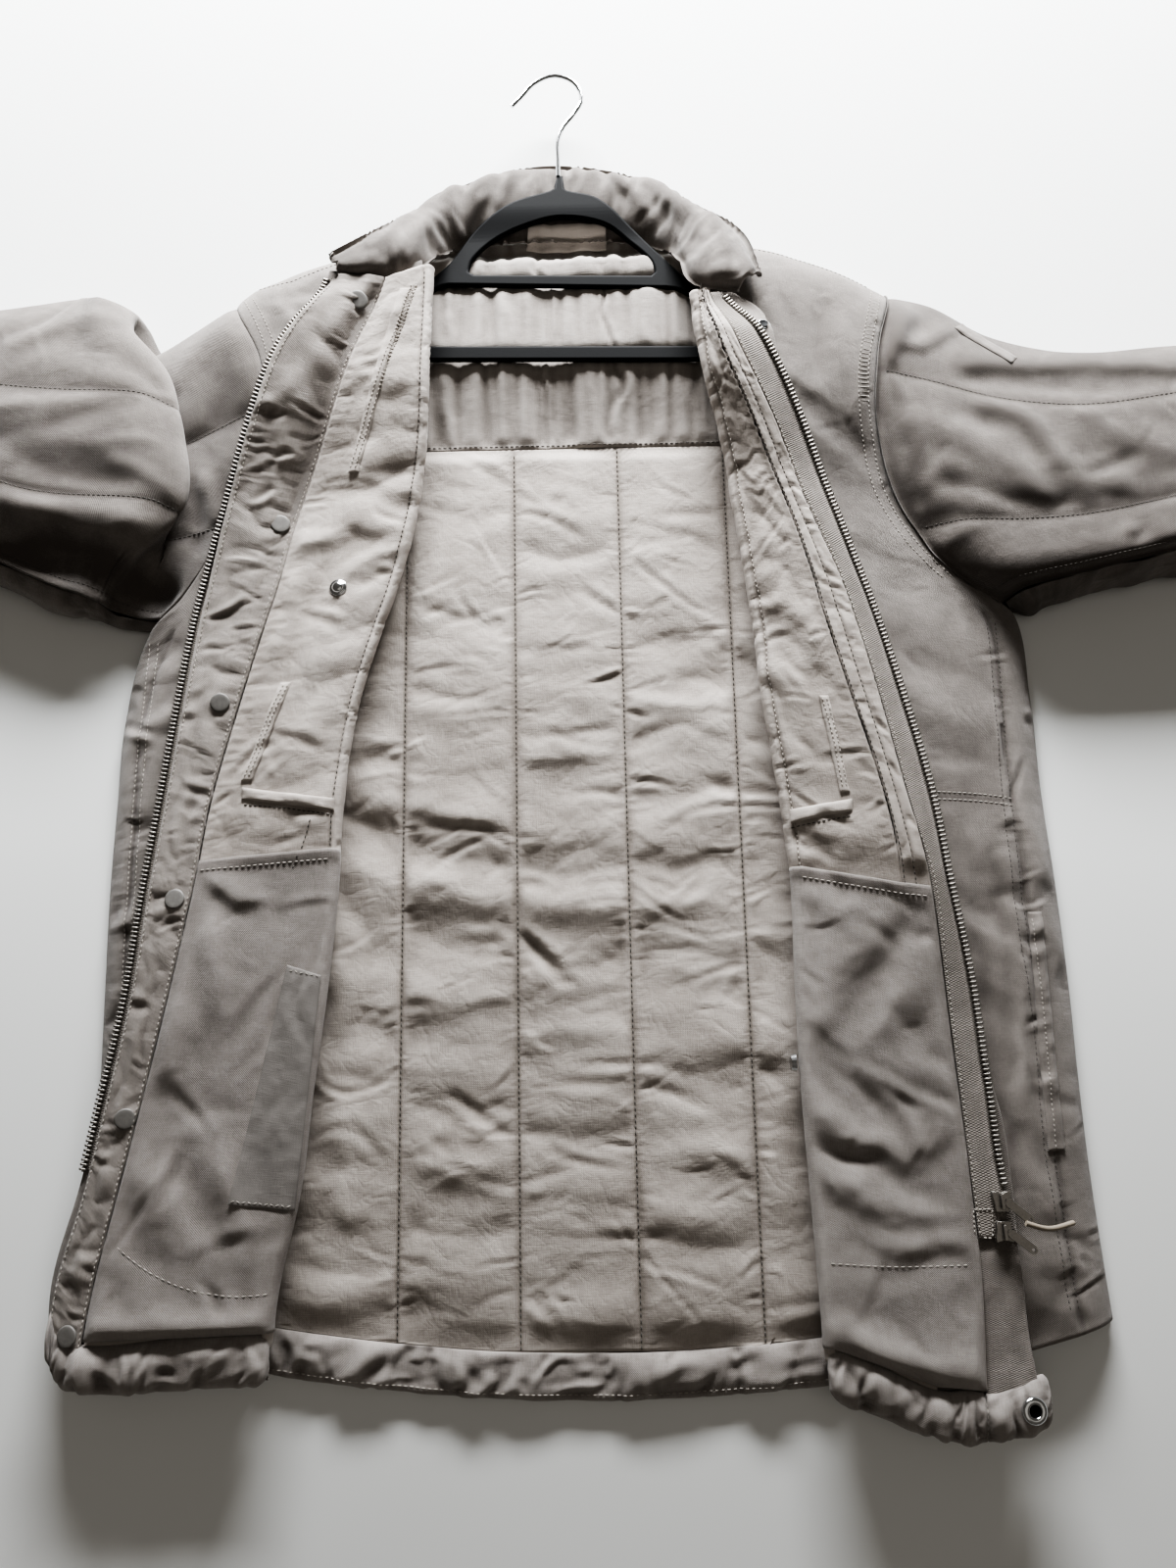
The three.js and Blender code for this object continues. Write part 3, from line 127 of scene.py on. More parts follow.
# ---------------------------------------------------------------- fields on a grid
def blur(a, su, sv):
    """Gaussian blur of a 2-D field, su and sv in cells along rows (axis 1) and columns (axis 0)."""
    def one(a, s, axis):
        if s < 0.3: return a
        r = int(3 * s) + 1
        k = np.exp(-0.5 * (np.arange(-r, r + 1) / s) ** 2); k /= k.sum()
        pad = [(0, 0), (0, 0)]; pad[axis] = (r, r)
        b = np.pad(a, pad, mode="reflect" if a.shape[axis] > r else "edge")
        n = b.shape[axis]
        f = np.fft.rfft(b, n=n + 2 * r, axis=axis) * (np.fft.rfft(k, n=n + 2 * r)[:, None] if axis == 0 else np.fft.rfft(k, n=n + 2 * r)[None, :])
        c = np.fft.irfft(f, n=n + 2 * r, axis=axis)
        return np.take(c, np.arange(2 * r, 2 * r + a.shape[axis]), axis=axis)
    return one(one(np.asarray(a, float), su, 1), sv, 0)
def noise(shape, su, sv, seed):
    rng = np.random.default_rng(seed)
    a = blur(rng.standard_normal(shape), su, sv)
    return (a - a.mean()) / (a.std() + 1e-9)
def creases(shape, su, sv, seed):
    """Crumpled cloth: sharp valleys that wander between full cushions, mean about nought."""
    return np.abs(noise(shape, su, sv, seed)) - 0.8
def folds(X, Y, table):
    """Listed folds: x0, y0, x1, y1, bend, half width, height (negative is a trough)."""
    H = np.zeros_like(X, float)
    X = X + 5.0 * noise(X.shape, 9, 9, 71) + 1.6 * noise(X.shape, 3, 3, 73); Y = Y + 5.0 * noise(X.shape, 9, 9, 72) + 1.6 * noise(X.shape, 3, 3, 74)
    for k, (x0, y0, x1, y1, bend, w, h) in enumerate(table):
        dx, dy = x1 - x0, y1 - y0
        l = math.hypot(dx, dy)
        s = ((X - x0) * dx + (Y - y0) * dy) / l / l
        t = (-(X - x0) * dy + (Y - y0) * dx) / l - bend * 4 * s * (1 - s)
        e = w / l * 1.2
        taper = ramp(-e, e * 1.5, s) * (1 - ramp(1 - e * 1.5, 1 + e, s))
        q = t / w
        # a trough is a sharp crease with full sides, a ridge is round; both wander in depth along their length
        wander = 0.78 + 0.35 * np.sin(7.0 * s + 1.7 * k)
        H += h * taper * wander * (np.exp(-np.abs(q) ** (1.25 if h < 0 else 1.9)) - 0.32 * np.exp(-((np.abs(q) - 1.9) / 0.9) ** 2))
    return H
def strokes(X, Y, table, seed=75, wide=1.0, deep=0.40, high=0.50):
    """Long folds drawn along a line of points: half width, height (negative is a trough), how much steeper the side
    towards the hem is, then the points. Ends run out to nothing, and no fold keeps one depth along its length."""
    H = np.zeros_like(X, float)
    X = X + 1.3 * noise(X.shape, 4, 4, seed) + 0.5 * noise(X.shape, 1.6, 1.6, seed + 2)
    Y = Y + 1.3 * noise(X.shape, 4, 4, seed + 1) + 0.5 * noise(X.shape, 1.6, 1.6, seed + 3)
    for k, (w, h, skew, *pts) in enumerate(table):
        w = w * wide; h = max(-deep * w, min(high * w, h))
        p = np.array(pts, float)
        for i, j in ((0, 1), (-1, -2)):
            e = p[i] - p[j]; p[i] = p[i] + e / (np.linalg.norm(e) + 1e-9) * 1.3 * w
        d = np.concatenate([[0], np.cumsum(np.linalg.norm(np.diff(p, axis=0), axis=1))])
        n = int(d[-1] / 1.6) + 2
        s = np.linspace(0, 1, n)
        q = np.stack([herm(d, p[:, 0], s * d[-1]), herm(d, p[:, 1], s * d[-1])], 1)
        g = np.gradient(q, axis=0); g /= np.linalg.norm(g, axis=1, keepdims=True) + 1e-9
        lo, hi = q.min(0) - 3.2 * w, q.max(0) + 3.2 * w
        m = (X > lo[0]) & (X < hi[0]) & (Y > lo[1]) & (Y < hi[1])
        if not m.any(): continue
        dx = X[m][:, None] - q[None, :, 0]; dy = Y[m][:, None] - q[None, :, 1]
        j = np.argmin(dx * dx + dy * dy, axis=1); r = np.arange(len(j))
        ax, ay = dx[r, j], dy[r, j]
        t = np.hypot(ax, ay)
        below = ay * np.abs(g[j, 0]) - ax * g[j, 1] * np.sign(g[j, 0] + 1e-9) < 0
        ww = w * np.where(below, 1 - 0.5 * skew, 1 + 0.35 * skew)
        e = min(0.48, 2.4 * w / (d[-1] + 1e-9))
        taper = ramp(0, e, s[j]) * ramp(0, e, 1 - s[j])
        along = 0.85 + 0.22 * np.sin(d[-1] / 19.0 * s[j] + 2.1 * k)
        f = t / ww
        H[m] += h * taper * along * (np.exp(-f ** 1.5) if h < 0 else np.exp(-f ** 1.8)) - 0.12 * h * taper * np.exp(-((f - 1.9) / 0.8) ** 2)
    return H
def crumples(X, Y, n, ang, spread, length, width, depth, seed, keep=None):
    """Many small creases: each is a short bent line with a sharp bottom and a soft bank on both sides, no two alike.
    ang is the way they mostly run, in degrees from +X; keep is a field of 0..1 that thins them out."""
    rng = np.random.default_rng(seed)
    H = np.zeros_like(X, float)
    x0, x1, y0, y1 = X.min(), X.max(), Y.min(), Y.max()
    wx = X + 3.2 * noise(X.shape, 7, 7, seed + 1); wy = Y + 3.2 * noise(X.shape, 7, 7, seed + 2)
    for _ in range(n):
        cx, cy = rng.uniform(x0, x1), rng.uniform(y0, y1)
        l = length * rng.lognormal(0, 0.45); w = width * rng.lognormal(0, 0.35); d = depth * rng.lognormal(-0.1, 0.5)
        a = math.radians(ang + spread * rng.standard_normal())
        c, s = math.cos(a), math.sin(a)
        m = (np.abs(X - cx) < l + 4 * w) & (np.abs(Y - cy) < l + 4 * w)
        if not m.any(): continue
        dx, dy = wx[m] - cx, wy[m] - cy
        u = (dx * c + dy * s) / l; t = (-dx * s + dy * c) - rng.normal(0, 0.16) * l * u * u
        e = np.clip(1 - u * u, 0, 1) ** 1.5
        q = np.abs(t) / w
        side = 1 + 0.5 * rng.standard_normal() * np.sign(t)      # one bank stands higher than the other
        H[m] += d * e * (0.55 * side * np.exp(-((q - 1.5) / 0.95) ** 2) - np.exp(-q ** 1.2))
    return H if keep is None else H * keep
def grid_normals(P):
    du = np.gradient(P, axis=1); dv = np.gradient(P, axis=0)
    n = np.cross(du, dv)
    return n / (np.linalg.norm(n, axis=2, keepdims=True) + 1e-9)

def relax(P0, N, eu, ev, start, target=None, lo=-3.0, hi=6.0, pin=None, iters=60, kt=0.02, ka=0.02, bend=0.06):
    """Settles cloth that is longer than the ground it is sewn to: rest lengths grow by eu along rows and ev along
    columns, stitched points stay where they are, and the rest buckles inside lo..hi along the normals."""
    P0 = P0.astype(F); N = N.astype(F)
    def grow(e, like):
        e = np.broadcast_to(np.asarray(e, float), P0.shape[:2])
        return (1 + e).astype(F)
    gu, gv = grow(eu, P0), grow(ev, P0)
    Lu = np.linalg.norm(P0[:, 1:] - P0[:, :-1], axis=2) * 0.5 * (gu[:, 1:] + gu[:, :-1])
    Lv = np.linalg.norm(P0[1:] - P0[:-1], axis=2) * 0.5 * (gv[1:] + gv[:-1])
    gd = np.sqrt(0.5 * (gu ** 2 + gv ** 2))
    La = np.linalg.norm(P0[1:, 1:] - P0[:-1, :-1], axis=2) * 0.5 * (gd[1:, 1:] + gd[:-1, :-1])
    Lb = np.linalg.norm(P0[1:, :-1] - P0[:-1, 1:], axis=2) * 0.5 * (gd[1:, :-1] + gd[:-1, 1:])
    start = np.asarray(start, F)
    P = P0 + N * start[..., None]
    T = start if target is None else np.asarray(target, F)
    lo = np.broadcast_to(np.asarray(lo, F), start.shape); hi = np.broadcast_to(np.asarray(hi, F), start.shape)
    pinned = np.zeros(start.shape, bool) if pin is None else pin
    PP = (P0 + N * T[..., None])[pinned]
    def solve(a, b, L, k):
        d = b - a
        n = np.sqrt((d * d).sum(2)) + 1e-6
        c = (0.5 * k * (n - L) / n)[..., None] * d
        a += c; b -= c
    for it in range(iters):
        for o in (0, 1):
            solve(P[:, o:-1:2], P[:, o + 1::2], Lu[:, o::2], 0.9)
            solve(P[o:-1:2], P[o + 1::2], Lv[o::2], 0.9)
            a, b = P[o:-1:2], P[o + 1::2]
            solve(a[:, :-1], b[:, 1:], La[o::2], 0.3)
            solve(a[:, 1:], b[:, :-1], Lb[o::2], 0.3)
        lap = 0.25 * (P[:-2, 1:-1] + P[2:, 1:-1] + P[1:-1, :-2] + P[1:-1, 2:]) - P[1:-1, 1:-1]
        P[1:-1, 1:-1] += bend * lap
        D = P - P0
        h = (D * N).sum(2)
        tang = D - N * h[..., None]
        h2 = np.clip(h + kt * (T - h), lo, hi)
        P = P0 + N * h2[..., None] + tang * (1 - ka)
        if pinned.any(): P[pinned] = PP
    return P.astype(float)

# ---------------------------------------------------------------- meshes
OBJ = {}
def mesh_from(name, verts, faces, mat, smooth=True, uv=None, attrs=None, body="jacket"):
    me = bpy.data.meshes.new(name)
    v = np.asarray(verts, float).copy()
    v[:, 1] += OFFY
    v *= 0.001
    f = np.asarray(faces, np.int32)
    k = f.shape[1]
    me.vertices.add(len(v)); me.vertices.foreach_set("co", v.ravel())
    me.loops.add(f.size); me.loops.foreach_set("vertex_index", f.ravel())
    me.polygons.add(len(f))
    me.polygons.foreach_set("loop_start", np.arange(0, f.size, k, dtype=np.int32))
    me.polygons.foreach_set("loop_total", np.full(len(f), k, np.int32))
    if uv is not None:
        layer = me.uv_layers.new(name="UVMap")
        layer.data.foreach_set("uv", np.asarray(uv, float)[f.ravel()].ravel())
    for key, val in (attrs or {}).items():
        a = me.attributes.new(key, "FLOAT", "POINT")
        a.data.foreach_set("value", np.asarray(val, np.float32).ravel())
    me.update(calc_edges=True)
    me.validate()
    if smooth: me.shade_smooth()
    me.materials.append(mat)
    o = bpy.data.objects.new(name, me)
    bpy.context.scene.collection.objects.link(o)
    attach(o, body)
    OBJ[name] = o
    return o
def grid_faces(R, C, base=0, flip=False):
    i, j = np.meshgrid(np.arange(R - 1), np.arange(C - 1), indexing="ij")
    a = (i * C + j).ravel() + base
    q = np.stack([a, a + 1, a + C + 1, a + C], 1)
    return q[:, ::-1] if flip else q
def cloth(name, P, mat, t=2.0, edge=0.5, uvm=None, seam=None, up=True, crease_mm=None, painted_light_shade_offset=None, sides="lrbt"):
    """A thin shell: the face that shows, with its rim turned down by t round the named sides."""
    R, C = P.shape[:2]
    N = grid_normals(P)
    if up: N = N * np.where(N[..., 2].mean() < 0, -1, 1)
    flip = np.cross(P[0, 1] - P[0, 0], P[1, 0] - P[0, 0]) @ N[0, 0] < 0
    verts = [P.reshape(-1, 3)]
    faces = [grid_faces(R, C, 0, flip)]
    su = np.concatenate([np.zeros((R, 1)), np.cumsum(np.linalg.norm(np.diff(P, axis=1), axis=2), axis=1)], 1)
    sv = np.concatenate([np.zeros((1, C)), np.cumsum(np.linalg.norm(np.diff(P, axis=0), axis=2), axis=0)], 0)
    su = su[R // 2][None, :].repeat(R, 0); sv = sv[:, C // 2][:, None].repeat(C, 1)
    uv = [np.stack([su, sv], 2).reshape(-1, 2)]
    cell = max(np.median(np.linalg.norm(np.diff(P, axis=1), axis=2)), 0.1), max(np.median(np.linalg.norm(np.diff(P, axis=0), axis=2)), 0.1)
    # painted fold shading: how far each point stands out of the blurred surface; the fabric paints ridges lighter and
    # creases darker
    lowp = np.stack([blur(P[..., k], 5.0 / cell[0], 5.0 / cell[1]) for k in range(3)], 2)
    cr = ((P - lowp) * N).sum(2)
    cr = np.clip(cr / 1.2, -1, 1)
    # attributes the fabric paints from: fold shading, painted shade along seams, per-piece painted shade and light
    at = {"painted_fold_shading": [cr.ravel()], "seam": [(np.zeros((R, C)) if seam is None else seam).ravel()], "painted_light_shade_offset": [(np.zeros((R, C)) if painted_light_shade_offset is None else painted_light_shade_offset).ravel()]}
    ids = np.arange(R * C).reshape(R, C)
    rims = {"b": (ids[0], (P[0] - P[1])), "t": (ids[-1][::-1], (P[-1] - P[-2])[::-1]), "l": (ids[:, 0][::-1], (P[:, 0] - P[:, 1])[::-1]), "r": (ids[:, -1], P[:, -1] - P[:, -2])}
    flatP, flatN, flatuv = P.reshape(-1, 3), N.reshape(-1, 3), uv[0]
    base = R * C
    for k in sides:
        idx, out = rims[k]
        out = out / (np.linalg.norm(out, axis=1, keepdims=True) + 1e-9)
        prev = idx
        for o, d in ((edge * 0.8, 0.22 * t), (edge, 0.55 * t), (edge * 0.7, 0.85 * t), (0.0, t)):
            v = flatP[idx] + out * o - flatN[idx] * d
            v[:, 2] = np.maximum(v[:, 2], 0.0)
            cur = np.arange(len(idx)) + base
            base += len(idx)
            verts.append(v); uv.append(flatuv[idx] + d)
            for a in at: at[a].append(at[a][0][idx] * (1 if a != "painted_fold_shading" else 1))
            q = np.stack([prev[1:], prev[:-1], cur[:-1], cur[1:]], 1)
            faces.append(q[:, ::-1] if flip else q)
            prev = cur
    o = mesh_from(name, np.concatenate(verts), np.concatenate(faces), mat, uv=np.concatenate(uv), attrs={a: np.concatenate(v) for a, v in at.items()})
    return o
def sample(P, a, b):
    """Bilinear point of a grid at fractional row a and column b."""
    a = np.clip(a, 0, P.shape[0] - 1.001); b = np.clip(b, 0, P.shape[1] - 1.001)
    i, j = a.astype(int), b.astype(int)
    s, t = (a - i)[:, None], (b - j)[:, None]
    return P[i, j] * (1 - s) * (1 - t) + P[i, j + 1] * (1 - s) * t + P[i + 1, j] * s * (1 - t) + P[i + 1, j + 1] * s * t
STITCH = {}
def stitches(key, P, rows, cols, length=3.2, gap=1.1, width=0.75, lift=0.15, zig=0.0, mat=None):
    """Stitches on a finished grid, along the path of fractional rows and columns."""
    N = grid_normals(P); N = N * np.where(N[..., 2].mean() < 0, -1, 1)
    rows, cols = np.asarray(rows, float), np.asarray(cols, float)
    pts = sample(P, rows, cols)
    s = np.concatenate([[0], np.cumsum(np.linalg.norm(np.diff(pts, axis=0), axis=1))])
    n = int(s[-1] / (length + gap))
    if n < 1: return
    k = np.arange(n)
    s0 = k * (length + gap) + gap / 2
    def at(q): return np.interp(q, s, rows), np.interp(q, s, cols)
    A = sample(P, *at(s0)); B = sample(P, *at(s0 + length)); M = sample(P, *at(s0 + length / 2))
    Nn = sample(N, *at(s0 + length / 2))
    d = B - A; d /= np.linalg.norm(d, axis=1, keepdims=True) + 1e-9
    w = np.cross(Nn, d); w /= np.linalg.norm(w, axis=1, keepdims=True) + 1e-9
    if zig:
        z = np.where(k % 2 == 0, 1, -1)[:, None] * zig
        A = A + w * z; B = B - w * z
        d = B - A; d /= np.linalg.norm(d, axis=1, keepdims=True) + 1e-9
        w = np.cross(Nn, d); w /= np.linalg.norm(w, axis=1, keepdims=True) + 1e-9
    h = width / 2
    ring = []
    for q, r, up in ((A, 0.25, -0.2), (A * 0.8 + B * 0.2, 1, 0.25), (A * 0.5 + B * 0.5, 1.1, 0.4), (A * 0.2 + B * 0.8, 1, 0.25), (B, 0.25, -0.2)):
        c = q + Nn * (lift + up * width)
        ring.append([c + w * h * r, c + Nn * h * r, c - w * h * r, c - Nn * h * r])
    V = np.stack([np.stack(x, 1) for x in ring], 1).reshape(-1, 3)
    f = []
    for a in range(4):
        for b in range(4):
            f.append([a * 4 + b, a * 4 + (b + 1) % 4, (a + 1) * 4 + (b + 1) % 4, (a + 1) * 4 + b])
    f.append([0, 3, 2, 1]); f.append([16, 17, 18, 19])
    f = np.array(f)
    faces = (np.arange(n)[:, None, None] * 20 + f[None]).reshape(-1, 4)
    STITCH.setdefault(key, []).append((V, faces))
def flush_stitches(mats):
    for key, parts in STITCH.items():
        base, V, Fc = 0, [], []
        for v, f in parts:
            V.append(v); Fc.append(f + base); base += len(v)
        mesh_from("stitches_" + key, np.concatenate(V), np.concatenate(Fc), mats[key])

# ---------------------------------------------------------------- materials
def new_mat(name):
    m = bpy.data.materials.new(name)
    m.use_nodes = True
    nt = m.node_tree
    b = nt.nodes["Principled BSDF"]
    return m, nt, b
def N_(nt, kind, **kw):
    n = nt.nodes.new(kind)
    for k, v in kw.items():
        if k in n.inputs: n.inputs[k].default_value = v
        else: setattr(n, k, v)
    return n
def fabric(name, base, dark, light, rough=0.92, sheen=0.25, slub=0.25, weave=0.5, grain=0.35, warp=(0.62, 0.62), crum=0.5):
    """Woven cotton: weave and slubs in the cloth's own coordinates; painted shade darker in creases and in seam
    grooves, painted highlight paler on ridges, and a per-piece offset that paints shade on most pieces and light on the
    collar.
    """
    m, nt, b = new_mat(name)
    L = nt.links.new
    uv = N_(nt, "ShaderNodeUVMap", uv_map="UVMap")
    geo = N_(nt, "ShaderNodeTexCoord")
    painted_fold_shading = N_(nt, "ShaderNodeAttribute", attribute_name="painted_fold_shading")
    seam = N_(nt, "ShaderNodeAttribute", attribute_name="seam")
    painted_light_shade_offset = N_(nt, "ShaderNodeAttribute", attribute_name="painted_light_shade_offset")
    mp = N_(nt, "ShaderNodeMapping"); mp.inputs["Scale"].default_value = (1 / warp[0], 1 / warp[1], 1)
    L(uv.outputs["UV"], mp.inputs["Vector"])
    sep = N_(nt, "ShaderNodeSeparateXYZ"); L(mp.outputs["Vector"], sep.inputs[0])
    def wave(out):
        s = N_(nt, "ShaderNodeMath", operation="MULTIPLY"); s.inputs[1].default_value = math.pi; L(out, s.inputs[0])
        c = N_(nt, "ShaderNodeMath", operation="SINE"); L(s.outputs[0], c.inputs[0])
        return c.outputs[0]
    mul = N_(nt, "ShaderNodeMath", operation="MULTIPLY"); L(wave(sep.outputs[0]), mul.inputs[0]); L(wave(sep.outputs[1]), mul.inputs[1])
    # slubs: noise stretched along each thread direction
    def stretched(sx, sy):
        q = N_(nt, "ShaderNodeMapping"); q.inputs["Scale"].default_value = (sx, sy, 1); L(uv.outputs["UV"], q.inputs["Vector"])
        n = N_(nt, "ShaderNodeTexNoise"); n.inputs["Scale"].default_value = 1.0; n.inputs["Detail"].default_value = 2.0; L(q.outputs["Vector"], n.inputs["Vector"])
        return n.outputs["Fac"]
    a1, a2 = stretched(0.12, 1.5), stretched(1.5, 0.12)
    mx = N_(nt, "ShaderNodeMath", operation="ADD"); L(a1, mx.inputs[0]); L(a2, mx.inputs[1])
    fine = N_(nt, "ShaderNodeTexNoise"); fine.inputs["Scale"].default_value = 900.0; fine.inputs["Detail"].default_value = 3.0; L(geo.outputs["Object"], fine.inputs["Vector"])
    big = N_(nt, "ShaderNodeTexNoise"); big.inputs["Scale"].default_value = 14.0; big.inputs["Detail"].default_value = 5.0; big.inputs["Roughness"].default_value = 0.6; L(geo.outputs["Object"], big.inputs["Vector"])
    mid = N_(nt, "ShaderNodeTexNoise"); mid.inputs["Scale"].default_value = 70.0; mid.inputs["Detail"].default_value = 4.0; L(geo.outputs["Object"], mid.inputs["Vector"])
    # colour factor: 0 dark .. 1 light
    def madd(x, k, c):
        n = N_(nt, "ShaderNodeMath", operation="MULTIPLY_ADD"); L(x, n.inputs[0]); n.inputs[1].default_value = k
        if isinstance(c, float): n.inputs[2].default_value = c
        else: L(c, n.inputs[2])
        return n.outputs[0]
    f = madd(big.outputs["Fac"], 0.8, 0.5 - 0.4)
    f = madd(mid.outputs["Fac"], 0.5, f); f = madd(mx.outputs[0], slub, f); f = madd(fine.outputs["Fac"], grain, f)
    # painted fold shading: painted shade darkens creases, painted highlight lightens ridges
    f = madd(painted_fold_shading.outputs["Fac"], 0.30, f)
    # per-piece offset: painted shade on most pieces, painted light on the collar
    f = madd(painted_light_shade_offset.outputs["Fac"], 0.5, f)
    # painted shade in seam grooves
    f = madd(seam.outputs["Fac"], -0.85, f)
    off = N_(nt, "ShaderNodeMath", operation="ADD"); off.inputs[1].default_value = -(0.25 + slub + grain * 0.5); L(f, off.inputs[0])
    ra = N_(nt, "ShaderNodeValToRGB"); L(off.outputs[0], ra.inputs["Fac"])
    ra.color_ramp.elements[0].position = 0.0; ra.color_ramp.elements[0].color = (*dark, 1)
    ra.color_ramp.elements[1].position = 1.0; ra.color_ramp.elements[1].color = (*light, 1)
    e = ra.color_ramp.elements.new(0.5); e.color = (*base, 1)
    L(ra.outputs["Color"], b.inputs["Base Color"])
    b.inputs["Roughness"].default_value = rough
    b.inputs["Sheen Weight"].default_value = sheen
    b.inputs["Sheen Roughness"].default_value = 0.5
    b.inputs["Specular IOR Level"].default_value = 0.2
    def crumple(scale, det):
        n = N_(nt, "ShaderNodeTexNoise"); n.noise_type = "RIDGED_MULTIFRACTAL"; n.normalize = False
        n.inputs["Scale"].default_value = scale; n.inputs["Detail"].default_value = det; n.inputs["Roughness"].default_value = 0.5
        n.inputs["Offset"].default_value = 0.9; n.inputs["Gain"].default_value = 2.0
        n.inputs["Distortion"].default_value = 0.6
        L(geo.outputs["Object"], n.inputs["Vector"])
        return n.outputs["Fac"]
    c1, c2 = crumple(46.0, 2.0), crumple(150.0, 1.0)
    b1 = N_(nt, "ShaderNodeBump"); b1.inputs["Strength"].default_value = weave; b1.inputs["Distance"].default_value = 0.00012; L(mul.outputs[0], b1.inputs["Height"])
    b2 = N_(nt, "ShaderNodeBump"); b2.inputs["Strength"].default_value = 0.5; b2.inputs["Distance"].default_value = 0.0003; L(mx.outputs[0], b2.inputs["Height"]); L(b1.outputs["Normal"], b2.inputs["Normal"])
    b3 = N_(nt, "ShaderNodeBump"); b3.inputs["Strength"].default_value = 0.45; b3.inputs["Distance"].default_value = 0.0012; L(mid.outputs["Fac"], b3.inputs["Height"]); L(b2.outputs["Normal"], b3.inputs["Normal"])
    b4 = N_(nt, "ShaderNodeBump"); b4.invert = True; b4.inputs["Strength"].default_value = crum; b4.inputs["Distance"].default_value = 0.0011; L(c1, b4.inputs["Height"]); L(b3.outputs["Normal"], b4.inputs["Normal"])
    b5 = N_(nt, "ShaderNodeBump"); b5.invert = True; b5.inputs["Strength"].default_value = crum; b5.inputs["Distance"].default_value = 0.0004; L(c2, b5.inputs["Height"]); L(b4.outputs["Normal"], b5.inputs["Normal"])
    L(b5.outputs["Normal"], b.inputs["Normal"])
    return m
def plain(name, color, rough=0.5, metal=0.0, bump=0.0, scale=400.0, spec=0.5, vary=0.12):
    m, nt, b = new_mat(name)
    L = nt.links.new
    tc = N_(nt, "ShaderNodeTexCoord")
    n = N_(nt, "ShaderNodeTexNoise"); n.inputs["Scale"].default_value = scale; n.inputs["Detail"].default_value = 4.0; L(tc.outputs["Object"], n.inputs["Vector"])
    ra = N_(nt, "ShaderNodeValToRGB"); L(n.outputs["Fac"], ra.inputs["Fac"])
    ra.color_ramp.elements[0].position = 0.3; ra.color_ramp.elements[1].position = 0.7
    ra.color_ramp.elements[0].color = (*[c * (1 - vary) for c in color], 1); ra.color_ramp.elements[1].color = (*[min(1, c * (1 + vary)) for c in color], 1)
    L(ra.outputs["Color"], b.inputs["Base Color"])
    b.inputs["Roughness"].default_value = rough; b.inputs["Metallic"].default_value = metal; b.inputs["Specular IOR Level"].default_value = spec
    if bump:
        bp = N_(nt, "ShaderNodeBump"); bp.inputs["Strength"].default_value = bump; bp.inputs["Distance"].default_value = 0.0002; L(n.outputs["Fac"], bp.inputs["Height"]); L(bp.outputs["Normal"], b.inputs["Normal"])
    return m
M = dict(
    shell=fabric("shell_canvas", (0.196, 0.177, 0.162), (0.108, 0.095, 0.086), (0.295, 0.270, 0.250), slub=0.3, weave=1.0, crum=0.14),
    lining=fabric("lining_cotton", (0.372, 0.337, 0.308), (0.22, 0.195, 0.173), (0.49, 0.452, 0.419), slub=0.2, weave=0.35, sheen=0.15, crum=0.24),
    facing=fabric("facing_canvas", (0.262, 0.237, 0.217), (0.145, 0.127, 0.113), (0.375, 0.344, 0.319), slub=0.35, weave=0.9, crum=0.28),
    pocket=fabric("pocket_canvas", (0.262, 0.239, 0.223), (0.150, 0.134, 0.122), (0.375, 0.347, 0.327), slub=0.45, weave=1.0, crum=0.16),
    yoke=fabric("yoke_cotton", (0.31, 0.282, 0.259), (0.18, 0.159, 0.142), (0.42, 0.389, 0.362), slub=0.15, weave=0.3, sheen=0.3, crum=0.10),
    # a pale label cloth, made paler still as painted light where the collar shades it
    neck=fabric("neck_label_satin_and_painted_light", (0.56, 0.515, 0.475), (0.36, 0.325, 0.295), (0.66, 0.615, 0.575), rough=0.55, slub=0.1, weave=0.3, crum=0.10),
    label=fabric("label_satin", (0.222, 0.208, 0.196), (0.13, 0.121, 0.114), (0.24, 0.226, 0.214), rough=0.5, slub=0.1, weave=0.2, sheen=0.0, grain=0.15, crum=0.06),
    tape=fabric("zip_tape", (0.235, 0.213, 0.193), (0.13, 0.115, 0.102), (0.35, 0.322, 0.296), slub=0.5, weave=2.4, warp=(1.4, 0.8), crum=0.0),
    # dark grey thread: the thread's own grey, darkened further as painted shade of the grooves it lies in
    thread=plain("thread_grey_and_painted_shade", (0.115, 0.108, 0.100), 0.85, spec=0.1),
    thread_pale=plain("thread_pale", (0.42, 0.392, 0.358), 0.85, spec=0.1),
    metal=plain("zip_metal", (0.27, 0.255, 0.235), 0.42, 1.0, bump=0.3, scale=900.0),
    snap=plain("snap_enamel", (0.165, 0.158, 0.148), 0.5, 0.1, bump=0.05),
    chrome=plain("chrome", (0.62, 0.63, 0.64), 0.16, 1.0, vary=0.03),
    black=plain("hanger_plastic", (0.0045, 0.0048, 0.0054), 0.6, 0.0, bump=0.12, scale=600.0, spec=0.10),
    cord=plain("cord_cotton", (0.30, 0.262, 0.215), 0.9, bump=0.6, scale=1500.0, spec=0.1),
)
